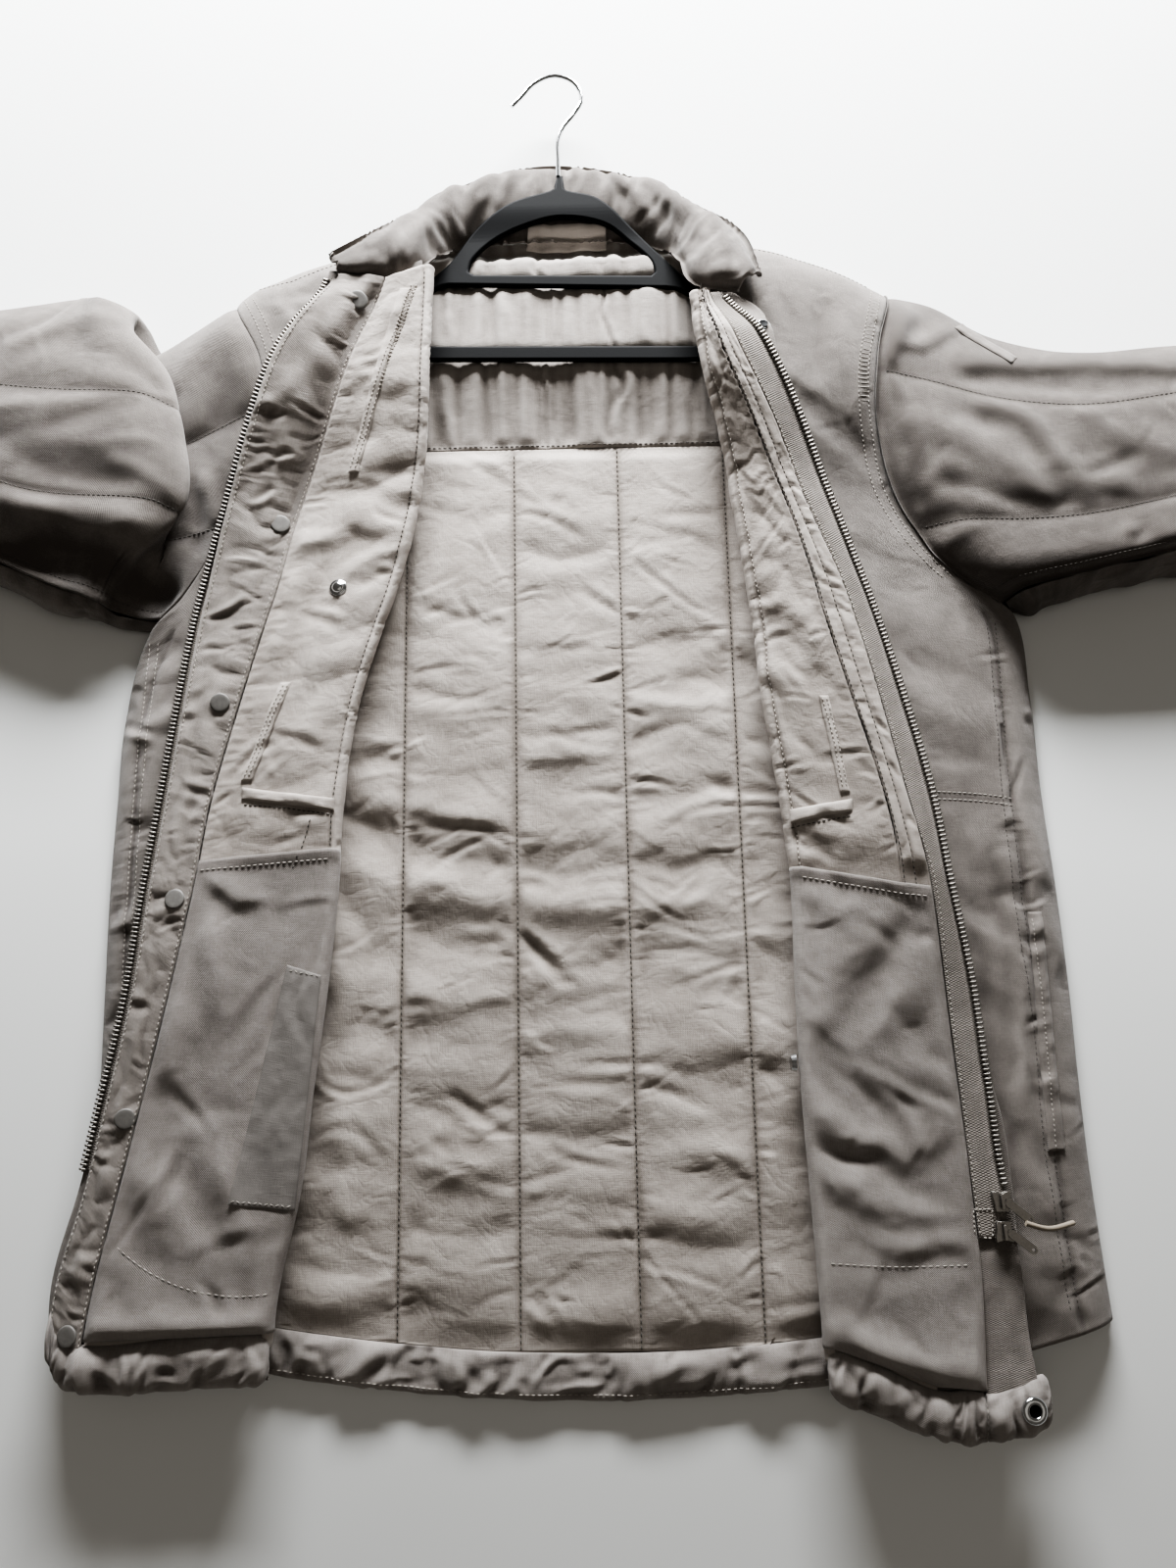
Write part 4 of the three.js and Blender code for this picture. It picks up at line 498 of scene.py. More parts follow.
# ---------------------------------------------------------------- surfaces already made, looked at from above
from mathutils.bvhtree import BVHTree
TREES = {}
SHEETS = []
def spline(C, axis, step=2.6, n=None):
    """Points along one axis of a coarse grid, filled in by a smooth line through them."""
    C = np.moveaxis(np.asarray(C, float), axis, 0)
    seg = np.linalg.norm(np.diff(C, axis=0), axis=-1).mean(axis=1)
    p = np.concatenate([[0], np.cumsum(seg)])
    n = n or int(p[-1] / step) + 2
    q = np.linspace(0, p[-1], n)
    m = np.gradient(C, p, axis=0)
    i = np.clip(np.searchsorted(p, q) - 1, 0, len(p) - 2)
    h = (p[i + 1] - p[i])[:, None, None]; t = ((q - p[i])[:, None, None]) / h
    out = (2 * t**3 - 3 * t * t + 1) * C[i] + (t**3 - 2 * t * t + t) * h * m[i] + (-2 * t**3 + 3 * t * t) * C[i + 1] + (t**3 - t * t) * h * m[i + 1]
    return np.moveaxis(out, 0, axis), q / p[-1], p / p[-1]
def up_normals(P, sign=None):
    N = grid_normals(P)
    s = sign if sign is not None else (1 if N[..., 2].mean() > 0 else -1)
    return N * s
def piece(name, P, mat, held="laid", rests=("back_shell",), t=2.0, edge=0.5, seam=None, painted_light_shade_offset=None, sides="lrbt", replaces=(), sign=None, see=True):
    o = cloth(name, P, M[mat], t=t, edge=edge, seam=seam, painted_light_shade_offset=painted_light_shade_offset, sides=sides, up=sign is None)
    R, C = P.shape[:2]
    w = np.linalg.norm(np.diff(P, axis=1), axis=2).sum(1); l = np.linalg.norm(np.diff(P, axis=0), axis=2).sum(0)
    a = P[:-1, :-1]; b = P[:-1, 1:]; c = P[1:, 1:]; d = P[1:, :-1]
    area = 0.5 * (np.linalg.norm(np.cross(b - a, c - a), axis=2) + np.linalg.norm(np.cross(c - a, d - a), axis=2)).sum() * 1e-6
    W, L = float(w.max()) * 1e-3, float(l.max()) * 1e-3
    SHEETS.append((o, W, L, max(0.31 * W * L, min(area, W * L)), held, rests))
    if replaces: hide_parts(*replaces)
    if see:
        idx = grid_faces(R, C)
        TREES[name] = BVHTree.FromPolygons([tuple(v) for v in P.reshape(-1, 3)], [tuple(int(k) for k in q) for q in idx])
    return o
def surf(x, y, only=None):
    """Height and normal of the topmost cloth over a point."""
    best, nb = 0.0, Vector((0, 0, 1))
    for k, t in TREES.items():
        if only and k not in only: continue
        hit, n, _, _ = t.ray_cast(Vector((x, y, 300.0)), Vector((0, 0, -1)))
        if hit is not None and hit.z > best:
            best, nb = hit.z, (n if n.z > 0 else -n)
    return best, nb
def sew(key, pts, length=3.0, gap=1.0, width=0.75, lift=0.0, only=None, zig=0.0, cross=0.0, closed=False):
    """Stitches along a line seen from above, each laid on the cloth under it. cross > 0 makes rungs across the line instead."""
    pts = np.asarray(pts, float)
    if len(pts) > 2:
        d = np.concatenate([[0], np.cumsum(np.linalg.norm(np.diff(pts, axis=0), axis=1))])
        q = np.linspace(0, d[-1], int(d[-1] / 4) + 2)
        m = np.gradient(pts, d, axis=0)
        i = np.clip(np.searchsorted(d, q) - 1, 0, len(d) - 2); h = (d[i + 1] - d[i])[:, None]; t = (q - d[i])[:, None] / h
        pts = (2 * t**3 - 3 * t * t + 1) * pts[i] + (t**3 - 2 * t * t + t) * h * m[i] + (-2 * t**3 + 3 * t * t) * pts[i + 1] + (t**3 - t * t) * h * m[i + 1]
    s = np.concatenate([[0], np.cumsum(np.linalg.norm(np.diff(pts, axis=0), axis=1))])
    at = lambda q: np.array([np.interp(q, s, pts[:, 0]), np.interp(q, s, pts[:, 1])])
    V, n = [], 0
    q = gap / 2
    while q + length < s[-1]:
        a, b = at(q), at(q + length)
        if cross:
            c, d = (a + b) / 2, b - a
            w = np.array([-d[1], d[0]]); w /= np.linalg.norm(w) + 1e-9
            a, b = c + w * cross / 2, c - w * cross / 2
        za, na = surf(a[0], a[1], only); zb, n2 = surf(b[0], b[1], only)
        if za > 0 and zb > 0 and abs(za - zb) < max(2.5, 0.6 * length):
            zm, nm = surf((a[0] + b[0]) / 2, (a[1] + b[1]) / 2, only)
            A = np.array([a[0], a[1], za]); B = np.array([b[0], b[1], zb]); nm = np.array(nm)
            dd = B - A; l = np.linalg.norm(dd); dd /= l + 1e-9
            w = np.cross(nm, dd); w /= np.linalg.norm(w) + 1e-9
            if zig:
                k = 1 if n % 2 else -1
                A = A + w * zig * k; B = B - w * zig * k
            h = width / 2
            for f, r, up in ((0, 0.25, -0.25), (0.2, 1, 0.22), (0.5, 1.1, 0.34), (0.8, 1, 0.22), (1, 0.25, -0.25)):
                c = A * (1 - f) + B * f + nm * (lift + up * width)
                V += [c + w * h * r, c + nm * h * r, c - w * h * r, c - nm * h * r]
            n += 1
        q += (length + gap) if not cross else (width + gap)
    if n:
        f = [[a * 4 + b, a * 4 + (b + 1) % 4, (a + 1) * 4 + (b + 1) % 4, (a + 1) * 4 + b] for a in range(4) for b in range(4)] + [[0, 3, 2, 1], [16, 17, 18, 19]]
        STITCH.setdefault(key, []).append((np.array(V), (np.arange(n)[:, None, None] * 20 + np.array(f)[None]).reshape(-1, 4)))
def arc_len(P):
    su = np.concatenate([np.zeros((P.shape[0], 1)), np.cumsum(np.linalg.norm(np.diff(P, axis=1), axis=2), axis=1)], 1)
    sv = np.concatenate([np.zeros((1, P.shape[1])), np.cumsum(np.linalg.norm(np.diff(P, axis=0), axis=2), axis=0)], 0)
    return su, sv

# ---------------------------------------------------------------- back
BACK_FOLDS = [  # half width, height (negative is a trough), how much steeper the side towards the hem is, then its points
    (12, -5, 0, (-172, -46), (-121, -69), (-68, -82), (-28, -89), (25, -87), (79, -85), (126, -78)),
    (14, 3.6, 0, (-169, -25), (-115, -44), (-54, -54), (-1, -58), (53, -56), (114, -45)),
    (11, 3, 0, (-168, -80), (-114, -98), (-55, -109), (11, -113), (78, -108)),
    (6, -2.6, 0, (-121, 44), (-102, 35), (-67, 32)),
    (6, -2.8, 0, (-118, -50), (-88, -61), (-61, -58)),
    (5, -2.2, 0, (-48, 72), (-26, 65), (2, 74)),
    (5, -2.2, 0, (-47, 11), (-20, 5), (14, 10)),
    (6, 2.4, 0, (-40, -7), (-13, -11), (17, -5)),
    (6, -2.6, 0, (30, 70), (58, 73), (96, 83)),
    (5, -2.2, 0, (31, -2), (62, 8), (92, 1)),
    (6, -2.6, 0, (63, 44), (84, 47), (101, 38)),
    (6, -2.8, 0, (67, -41), (88, -31), (108, -30)),
    (7, 2.4, 0, (29, 34), (63, 26), (97, 29)),
    (6, -2, 0, (-110, 177), (-85, 169), (-56, 175)),
    (6, -2, 0, (-116, 102), (-88, 93), (-57, 86)),
    (6, -1.8, 0, (-42, 146), (-18, 137), (18, 144)),
    (6, -1.8, 0, (39, 144), (67, 149), (92, 143)),
    (12, 3.6, 0, (-181, -96), (-169, -146), (-165, -191)),
    (9, -3.6, 0, (-167, -93), (-150, -140), (-152, -197)),
    (9, 3, 0, (-184, -209), (-164, -253), (-156, -313)),
    (7, -2.6, 0, (-124, -127), (-97, -137), (-58, -134)),
    (8, 2.4, 0, (-120, -166), (-94, -174), (-58, -171)),
    (7, -2.4, 0, (-48, -142), (-16, -152), (24, -143)),
    (8, 2.4, 0, (-49, -199), (-16, -192), (26, -200)),
    (7, -2.6, 0, (30, -150), (63, -143), (102, -155)),
    (7, -2.4, 0, (32, -214), (67, -222), (102, -215)),
    (6, -2.4, 0, (109, -139), (125, -149)),
    (6, -2.4, 0, (105, -221), (124, -228)),
    (8, -2.2, 0, (-122, -235), (-94, -245), (-59, -240)),
    (8, 2.2, 0, (-119, -272), (-90, -279), (-56, -275)),
    (8, -2.2, 0, (-49, -255), (-11, -263), (27, -257)),
    (8, -2.2, 0, (-50, -309), (-12, -303), (29, -311)),
    (8, 2.2, 0, (33, -275), (65, -270), (102, -280)),
    (8, -2.2, 0, (31, -323), (68, -331), (106, -326)),
    (7, -2.2, 0, (-125, -314), (-93, -322), (-56, -318)),
    (7, -2.4, 0, (-193, -336), (-168, -342), (-134, -338)),
]
YOKE_FOLDS = [(-31, 226, -29, 380, 0, 2.0, -2.0), (-26, 226, -25, 380, 0, 3.4, 0.8), (25, 226, 24, 380, 0, 2.0, -2.0), (30, 226, 29, 380, 0, 3.4, 0.8), (-96, 226, -95, 330, 0, 5, 0.8), (-60, 226, -61, 340, 0, 5, 0.7), (54, 226, 55, 330, 0, 5, 0.8), (84, 226, 83, 330, 0, 5, 0.7)]
def yoke():
    d = 2.0
    xs = np.arange(-214, 204, d); ys = np.arange(225.4, 398, d)
    X, Y = np.meshgrid(xs, ys)
    X = np.clip(X, line("sideR", Y) + 8, line("sideL", Y) - 8)
    Y = np.minimum(Y, shoulder(X) - 3)
    P0 = np.stack([X, Y, 4.4 + 13.6 * ramp(216, 304, Y) * ramp(387, 371, Y + np.maximum(0, 398 - shoulder(X))) - 4.0 * np.exp(-((Y - 293.5) / 6.5) ** 2) - 4.0 * np.exp(-((Y - 354) / 5.5) ** 2)], 2)
    N = np.zeros_like(P0); N[..., 2] = 1
    g = noise(X.shape, 2.4 / d, 26 / d, 21) * 1.5 + noise(X.shape, 5 / d, 34 / d, 22) * 1.3 + noise(X.shape, 14 / d, 26 / d, 23) * 0.3
    fade = ramp(0, 10, Y - 225)
    start = 1.2 + g * (0.35 + 0.65 * np.exp(-(Y - 225) / 60)) * ramp(-1, 6, Y - 225) + folds(X, Y, YOKE_FOLDS) * fade
    target = 1.0 + folds(X, Y, YOKE_FOLDS) + 0.5 * noise(X.shape, 9 / d, 60 / d, 24)
    pin = np.zeros(X.shape, bool); pin[0] = True; pin[-1] = True
    target[0] = 0.6
    P = relax(P0, N, 0.045, 0.01, start, target + 0.5 * g * fade, lo=-1.0, hi=4.4, pin=pin, iters=60, kt=0.05, bend=0.02)
    piece("back_yoke_cloth", P, "yoke", t=2.0, replaces=("back_yoke_lining",))
    sew("quilt", [(x, 227.4) for x in np.arange(-125, 118, 8)], 2.8, 1.0)
    return P
def back_lining():
    d = 2.1
    xs = np.arange(-232, 172, d); ys = np.concatenate([np.arange(-392, 224.0, d), [224.8]])
    X, Y = np.meshgrid(xs, ys)
    bottom = hem(X) + 27.5
    Y = np.maximum(Y, bottom + (Y - ys.min()) * 0.12)
    near = np.min(np.abs(X[..., None] - np.array(QUILT_X + [181])), axis=2)
    t = np.clip(near / 38.5, 0, 1)
    puff = 4.2 * (1 - (1 - t) ** 2.6)
    P0 = np.stack([X, Y, np.full_like(X, 5.0)], 2)
    N = np.zeros_like(P0); N[..., 2] = 1
    big = strokes(X, Y, BACK_FOLDS)
    edge = np.minimum(ramp(0, 20, Y - bottom), ramp(0, 12, 225 - Y))
    body = np.minimum(1, near / 8.0)
    calm = 1 - 0.45 * ramp(60, 200, Y)
    wav = noise(X.shape, 17 / d, 7.5 / d, 5) * 0.55 + noise(X.shape, 26 / d, 14 / d, 7) * 0.9 + creases(X.shape, 20 / d, 11 / d, 6) * 0.45
    crum = crumples(X, Y, 300, 4, 24, 17, 2.4, 0.5, 51) + crumples(X, Y, 60, -14, 22, 36, 3.6, 0.8, 52) + crumples(X, Y, 420, 0, 30, 8, 1.8, 0.7, 53, np.exp(-near / 9) + 0.15)
    seams = noise(X.shape, 8 / d, 2.6 / d, 3) * 1.6 * np.exp(-near / 7)
    wr = seams + wav + crum
    start = puff * edge + (big * 0.75 + wr * calm) * edge * body
    target = puff * edge + (big * 0.65 + (wav + crum) * calm) * edge * np.minimum(1, near / 7)
    pin = np.zeros(X.shape, bool)
    for q in QUILT_X: pin[:, np.argmin(np.abs(xs - q))] = True
    pin[0] = True; pin[-1] = True
    target[pin] = 0
    near_seam = np.exp(-near / 11)
    ev = 0.012 + 0.055 * near_seam + 0.008 * np.clip(noise(X.shape, 40 / d, 40 / d, 8), -1, 1)
    top = np.exp(-(225 - Y) / 12)
    P = relax(P0, N, 0.008 + 0.05 * top, ev, start, target, lo=-1.6, hi=13.0, pin=pin, iters=70, kt=0.08, bend=0.012)
    # painted shade along the quilting seams
    seam = np.exp(-(near / 1.3) ** 2) * 0.5
    o = piece("back_quilt_lining_cloth", P, "lining", t=3.0, seam=seam, sides="bt", replaces=("back_quilt_lining",))
    for q in QUILT_X:
        j = np.argmin(np.abs(xs - q)); r = np.arange(0, len(ys) - 1, 0.5)
        stitches("quilt", P, r, np.full(len(r), float(j)), length=2.9, gap=0.9, width=0.75, lift=0.05)
    return P
def back_hem():
    d = 2.1
    xs = np.arange(-292, 293, d)
    ph = np.radians(np.linspace(-75, 168, 30))
    H, A = np.meshgrid(xs, ph)
    y0 = hem(H)
    P = np.stack([H, y0 + 13.5 - 14 * np.cos(A), 4.2 + 4.6 * np.sin(A)], 2)
    P[..., 2] = np.maximum(P[..., 2], 0.3)
    N = np.stack([np.zeros_like(A), -np.cos(A), np.sin(A)], 2)
    wr = creases(H.shape, 12 / d, 5, 31) * 2.6 + crumples(P[..., 0], P[..., 1], 260, 62, 50, 13, 3.6, 2.0, 33) + 1.2 * noise(H.shape, 14 / d, 4, 34)
    start = wr * np.clip(np.sin(A + 0.2), 0, 1)
    pin = np.zeros(H.shape, bool); pin[-1] = True
    P = relax(P, N, 0.02, 0.01, start, 0.95 * start, lo=-2.6, hi=5.0, pin=pin, iters=30, kt=0.12, bend=0.06)
    P[..., 2] = np.maximum(P[..., 2], 0.2)
    piece("back_hem_cloth", P, "pocket", t=1.5, sides="t", replaces=("back_hem_facing",))
    sew("pale", [(x, hem(x) + 3.4) for x in np.arange(-206, 150, 9)], 2.6, 1.2, 0.7)
def back_shell():
    u = np.linspace(0, 1, 90)[None, :]; v = np.linspace(0, 1, 110)[:, None]
    xt = lerp(line("sideR", 345), line("sideL", 345), u); xb = lerp(line("sideR", -380), line("sideL", -380), u)
    y = lerp(hem(xb), shoulder(xt) - 1, v)
    x = lerp(line("sideR", y), line("sideL", y), u)
    P = np.stack([x, y, np.full_like(x, 1.9) + 0.15 * noise(x.shape, 3, 3, 40)], 2)
    piece("back_shell_cloth", P, "shell", t=1.8, edge=0.6, rests=("surface",), replaces=("back_shell",))

# ---------------------------------------------------------------- fronts
STEP = 2.1
def flap_xy(letter, a, b, ka, kb, t, v, ina=0.0, inb=0.0):
    sp = FRONT[letter]; d = sp["dir"]
    y = lerp(lerp(sp["flap"][ka], sp["flap"][kb], t), lerp(sp["neck"][ka], sp["neck"][kb], t), v)
    x = lerp(line(a + letter, y) - d * ina, line(b + letter, y) + d * inb, t)
    return x, y
def lining_grid(letter, v0, v1, lift, rx=6.0, cols=42, t0=0.0, t1=1.0, roll=True, low=-70):
    """The turned-back lining from under the fold line, over its roll, out to the facing seam."""
    d = FRONT[letter]["dir"]
    rows = int((v1 - v0) * 750 / STEP)
    v = np.linspace(v0, v1, rows)[:, None]
    t = np.linspace(t0, t1, cols)[None, :]
    x, y = flap_xy(letter, "fold", "seam", 0, 1, t, v, ina=rx, inb=0.7)
    ramp_in = ramp(0, 12, np.abs(x - (line("fold" + letter, y) - d * rx)))
    z = top_z(letter, x, y) + lift
    P = np.stack([x, y, z], 2)
    if not roll: return P, 0
    a = np.radians(np.linspace(low, 84, 9))[None, :]
    y0 = np.broadcast_to(y[:, :1], (rows, 9))
    xf = line("fold" + letter, y0) - d * rx
    zt = flap_z(xf, y0) + lift; zb = under_z(xf, y0) - 1.0
    B = np.stack([xf + d * (rx + 0.25 * (lift - 4.6)) * np.cos(a), y0, (zt + zb) / 2 + (zt - zb) / 2 * np.sin(a)], 2)
    return np.concatenate([B, P], 1), 9
LINING_R_FOLDS = [  # half width, height (negative is a trough), how much steeper the side towards the hem is, then its points
    (8, 4.2, 1, (-203, 140), (-182, 150), (-155, 157), (-127, 153)),
    (7, -4.6, 0, (-200, 154), (-182, 157), (-160, 150), (-182, 139)),
    (8, 4, 1, (-168, 118), (-153, 131), (-134, 139), (-117, 144)),
    (6, -4, 0, (-171, 130), (-155, 141), (-137, 147)),
    (5, -2.6, 0, (-138, 198), (-120, 193), (-107, 187)),
    (5, 2.4, 0, (-141, 186), (-124, 181), (-110, 176)),
    (7, -3, 0, (-180, 132), (-187, 110), (-197, 82), (-208, 53)),
    (8, 2.6, 0, (-168, 110), (-177, 74), (-189, 39)),
    (6, 2.4, 0, (-202, 118), (-208, 89), (-217, 64)),
    (9, 2.4, 0, (-179, 25), (-195, -2), (-204, -22)),
    (6, -1.8, 0, (-137, 304), (-133, 292), (-112, 287)),
    (6, 2, 0, (-133, 265), (-119, 258), (-105, 261)),
    (5, -1.6, 0, (-134, 231), (-120, 224), (-106, 226)),
    (8, 2.2, 0, (-230, -39), (-213, -49), (-197, -43)),
    (6, -2, 0, (-239, -42), (-240, -62), (-236, -82)),
    (7, 2.4, 0, (-151, 217), (-162, 168), (-172, 139)),
]
LINING_L_FOLDS = [  # half width, height (negative is a trough), how much steeper the side towards the hem is, then its points
    (9, 3.4, 0, (110, 177), (115, 132), (119, 89)),
    (7, 2.4, 0, (137, 218), (143, 176), (149, 132)),
    (4, 2, 0, (119, 191), (126, 177), (139, 158)),
    (5, -3, 0, (114, 95), (125, 97), (135, 100)),
    (5, 3, 0, (136, 103), (138, 85), (145, 74)),
    (6, -3.6, 0, (141, 70), (151, 51), (160, 31)),
    (8, 2.6, 0, (148, 88), (158, 59), (163, 38)),
    (9, 2.6, 0, (129, 46), (134, 11), (141, -30)),
    (4, -2.4, 0, (138, 28), (158, 27)),
    (7, -1.8, 0, (122, 39), (125, 5), (132, -30)),
    (9, 3, 1, (140, -62), (155, -70), (174, -78)),
    (6, -4, 0, (131, -70), (148, -82), (174, -89)),
    (6, 2.6, 0, (131, -83), (148, -90)),
]
POCKET_R_FOLDS = [  # half width, height (negative is a trough), how much steeper the side towards the hem is, then its points
    (7, 4.5, 1, (-250, -92), (-239, -102), (-227, -108), (-214, -105)),
    (6, -4.5, 0, (-245, -106), (-233, -117), (-219, -121)),
    (5, -3.4, 0, (-216, -98), (-207, -111), (-201, -121)),
    (6, 4, 0, (-204, -103), (-194, -112), (-183, -107)),
    (5, -3, 0, (-194, -126), (-182, -129), (-175, -128)),
    (7, 3, 0, (-249, -123), (-241, -152), (-241, -183)),
    (6, -2.6, 0, (-259, -113), (-260, -145), (-257, -170)),
    (9, 3.4, 0, (-269, -170), (-272, -195), (-266, -219)),
    (8, -3, 0, (-243, -171), (-224, -179), (-213, -178)),
    (9, 5, 1, (-253, -218), (-241, -225), (-222, -224)),
    (7, -6.5, 0, (-255, -234), (-239, -240), (-221, -238)),
    (8, -3.2, 0, (-281, -228), (-267, -249), (-256, -267)),
    (9, 3, 0, (-295, -267), (-281, -287), (-273, -314)),
    (8, -4.2, 0, (-257, -267), (-247, -297), (-233, -323)),
    (8, 3.4, 0, (-272, -279), (-258, -302), (-242, -331)),
    (8, -4, 0, (-299, -293), (-285, -315), (-269, -336)),
    (9, 3.2, 0, (-239, -268), (-222, -297), (-218, -332)),
    (8, -2.6, 0, (-245, -262), (-226, -268), (-213, -261)),
    (6, -3, 0, (-309, -330), (-289, -353), (-270, -370)),
    (8, 3.2, 0, (-312, -342), (-298, -361)),
    (10, 3, 1, (-276, -367), (-252, -377), (-222, -376), (-205, -370)),
    (6, -2.2, 0, (-253, -354), (-228, -360), (-206, -357)),
]
POCKET_L_FOLDS = [  # half width, height (negative is a trough), how much steeper the side towards the hem is, then its points
    (12, -4.6, 0, (213, -123), (199, -142), (181, -167), (162, -188), (151, -203)),
    (10, 3, 0, (190, -126), (169, -151), (152, -176), (142, -194)),
    (8, 3.4, 0, (213, -142), (205, -167), (185, -192), (172, -204)),
    (5, -3, 0, (189, -186), (201, -193), (213, -196)),
    (6, 2.4, 0, (202, -177), (211, -186), (220, -193)),
    (9, 6, 1, (139, -191), (157, -207), (177, -223), (198, -235)),
    (9, -7, 0, (145, -214), (163, -230), (182, -244), (203, -253)),
    (11, 4.5, 1, (138, -246), (162, -263), (192, -272), (214, -265)),
    (5, -4.2, 0, (201, -276), (213, -276), (226, -268)),
    (8, -5.6, 0, (156, -273), (172, -285), (196, -293), (223, -298)),
    (10, 5, 1, (145, -287), (171, -304), (201, -309), (229, -305)),
    (9, -4.4, 0, (136, -300), (153, -313), (164, -320)),
    (8, 3.2, 0, (176, -324), (199, -330), (227, -322)),
    (7, -3.4, 0, (157, -328), (181, -337), (211, -337)),
    (5, -2.4, 0, (187, -341), (201, -344)),
    (9, 2.6, 1, (148, -373), (171, -392), (206, -396), (230, -394)),
    (6, -2.2, 0, (214, -368), (227, -357), (233, -346)),
    (7, -2.2, 0, (149, -361), (160, -370), (184, -373)),
    (6, 2, 0, (143, -106), (158, -122), (171, -119)),
]
def fronts(letter):
    d = FRONT[letter]["dir"]; low = letter.lower()
    pv = 0.435 if letter == "R" else 0.436
    sd = 100 if letter == "R" else 200
    # lining
    P0, nb = lining_grid(letter, 0.028, 1.0, 4.7)
    N = up_normals(P0, None)
    X, Y = P0[..., 0], P0[..., 1]
    su, sv = arc_len(P0)
    fd = su - su[:, nb - 5:nb - 4]                       # distance in from the fold's outermost line
    line7 = np.exp(-((fd - 9) / 1.2) ** 2)
    covered = ramp(-84, -99, Y)                          # under the patch pocket
    cr = creases(X.shape, 14 / STEP, 9 / STEP, sd + 2) * 0.9 + crumples(X, Y, 160, 0, 30, 12, 2.6, 0.7, sd + 3)
    wr = noise(X.shape, 6 / STEP, 2.8 / STEP, sd + 1) * 0.7
    tbl = LINING_R_FOLDS if letter == "R" else LINING_L_FOLDS
    F0 = 0.75 * strokes(X, Y, tbl, sd, 1.3, 0.26, 0.34)
    target = 1.2 * np.exp(-((fd - 28) / 22) ** 2) + F0 + cr - 1.5 * line7
    start = target + wr
    edge = ramp(0, 10, su[:, -1:] - su)
    target = target * np.clip(edge, 0.2, 1) * (1 - covered) - 1.2 * covered
    start = start * np.clip(edge, 0.3, 1) * (1 - covered) - 1.2 * covered
    ev = 0.022 + 0.05 * np.exp(-((fd - 5) / 9) ** 2) + 0.045 * np.exp(-(su[:, -1:] - su) / 10)
    ev = ev * (1 - covered)
    hi = np.where(covered > 0.5, 0.2, 9.0)
    pin = np.zeros(X.shape, bool); pin[0] = True; pin[-1] = True; pin[:, 0] = True; pin[:, -1] = True
    j7 = int(np.argmin(np.abs(fd[len(fd) // 2] - 9))); pin[:, j7] = True
    P = relax(P0, N, 0.012 * (1 - covered), ev, start, target, lo=-2.2, hi=hi, pin=pin, iters=70, kt=0.035, bend=0.03)
    # painted shade along the stitched line
    seam = 0.35 * line7
    # the wearer's left lining is darkened by -0.30 as painted shade
    piece(f"front_{low}_lining_cloth", P, "lining", t=4.0, seam=seam, painted_light_shade_offset=np.full(P.shape[:2], -0.30 if letter == "L" else 0.0), held="folded", rests=("front_%s_shell" % low,), replaces=(f"front_{low}_lining",), sides="rbt")
    a = np.arange(0, P.shape[0] - 1, 0.5)
    stitches("quilt" if letter == "R" else "pale", P, a, np.full(len(a), float(j7)), 2.8, 1.0, 0.75, 0.05)
    # patch pocket
    P0, nb = lining_grid(letter, 0.040, pv, 6.3, rx=6.0, low=-40)
    if letter == "L":      # this pocket reaches across the facing to the zip tape
        tt = np.linspace(0, 1, 15)[None, 1:]
        vv = np.linspace(0.040, pv, P0.shape[0])[:, None]
        xw, yw = flap_xy(letter, "seam", "tape", 1, 2, tt, vv, ina=0.7, inb=1.2)
        P0 = np.concatenate([P0, np.stack([xw, yw, top_z(letter, xw, yw) + 6.3], 2)], 1)
        su, sv = arc_len(P0)
    X, Y = P0[..., 0], P0[..., 1]
    lift_top = ramp(0.965, 1.0, np.linspace(0, 1, P0.shape[0]))[:, None]
    P0[..., 2] += 1.6 * lift_top * ramp(0, 30, np.abs(su[:P0.shape[0], -1:] - su[:P0.shape[0]]))
    N = up_normals(P0, None)
    su2, sv2 = arc_len(P0)
    tbl = POCKET_R_FOLDS if letter == "R" else POCKET_L_FOLDS
    F0 = 0.85 * strokes(X, Y, [q for q in tbl if math.dist(q[3], q[-1]) > 4.4 * q[0]], sd, 1.3, 0.17, 0.26)
    edge = ramp(0, 9, su2[:, -1:] - su2) * ramp(4, 22, su2)
    bot = ramp(0, 5, sv2)
    sag = 2.6 * np.exp(-((sv2 - 9) / 9) ** 2)            # the cloth bags over the hem
    target = (F0 + 1.4) * edge * bot + sag * edge
    cr = (noise(X.shape, 26 / STEP, 26 / STEP, sd + 7) * 0.7 + crumples(X, Y, 26, 62 if letter == "R" else -30, 30, 30, 5.0, 0.8, sd + 8) + crumples(X, Y, 40, 20, 60, 11, 2.6, 0.35, sd + 9)) * edge * bot
    target = target + cr
    start = target + (noise(X.shape, 5 / STEP, 5 / STEP, sd + 6) * 0.35) * edge
    pin = np.zeros(X.shape, bool); pin[0] = True; pin[:, 0] = True; pin[:, -1] = True
    P = relax(P0, N, 0.012, 0.012, start, target, lo=-0.8, hi=11.0, pin=pin, iters=60, kt=0.08, bend=0.06)
    # painted shade along the pocket's top stitching
    top_seam = np.exp(-((sv2[-1:] - sv2 - 6.5) / 1.2) ** 2)
    dash = 0
    piece(f"front_{low}_pocket_cloth", P, "pocket", t=1.4, edge=0.3, seam=0.25 * top_seam + dash, held="laid", rests=(f"front_{low}_lining",), replaces=(f"front_{low}_patch_pocket",))
    b = np.arange(nb, P.shape[1] - 1, 0.5); r = np.interp(6.5, (sv2[-1] - sv2[::-1])[:, P.shape[1] // 2] * 1.0, np.arange(P.shape[0])[::-1]) if False else float(P.shape[0] - 1 - 6.5 / STEP)
    stitches("pale", P, np.full(len(b), r), b, 2.6, 1.3, 0.7, 0.05)
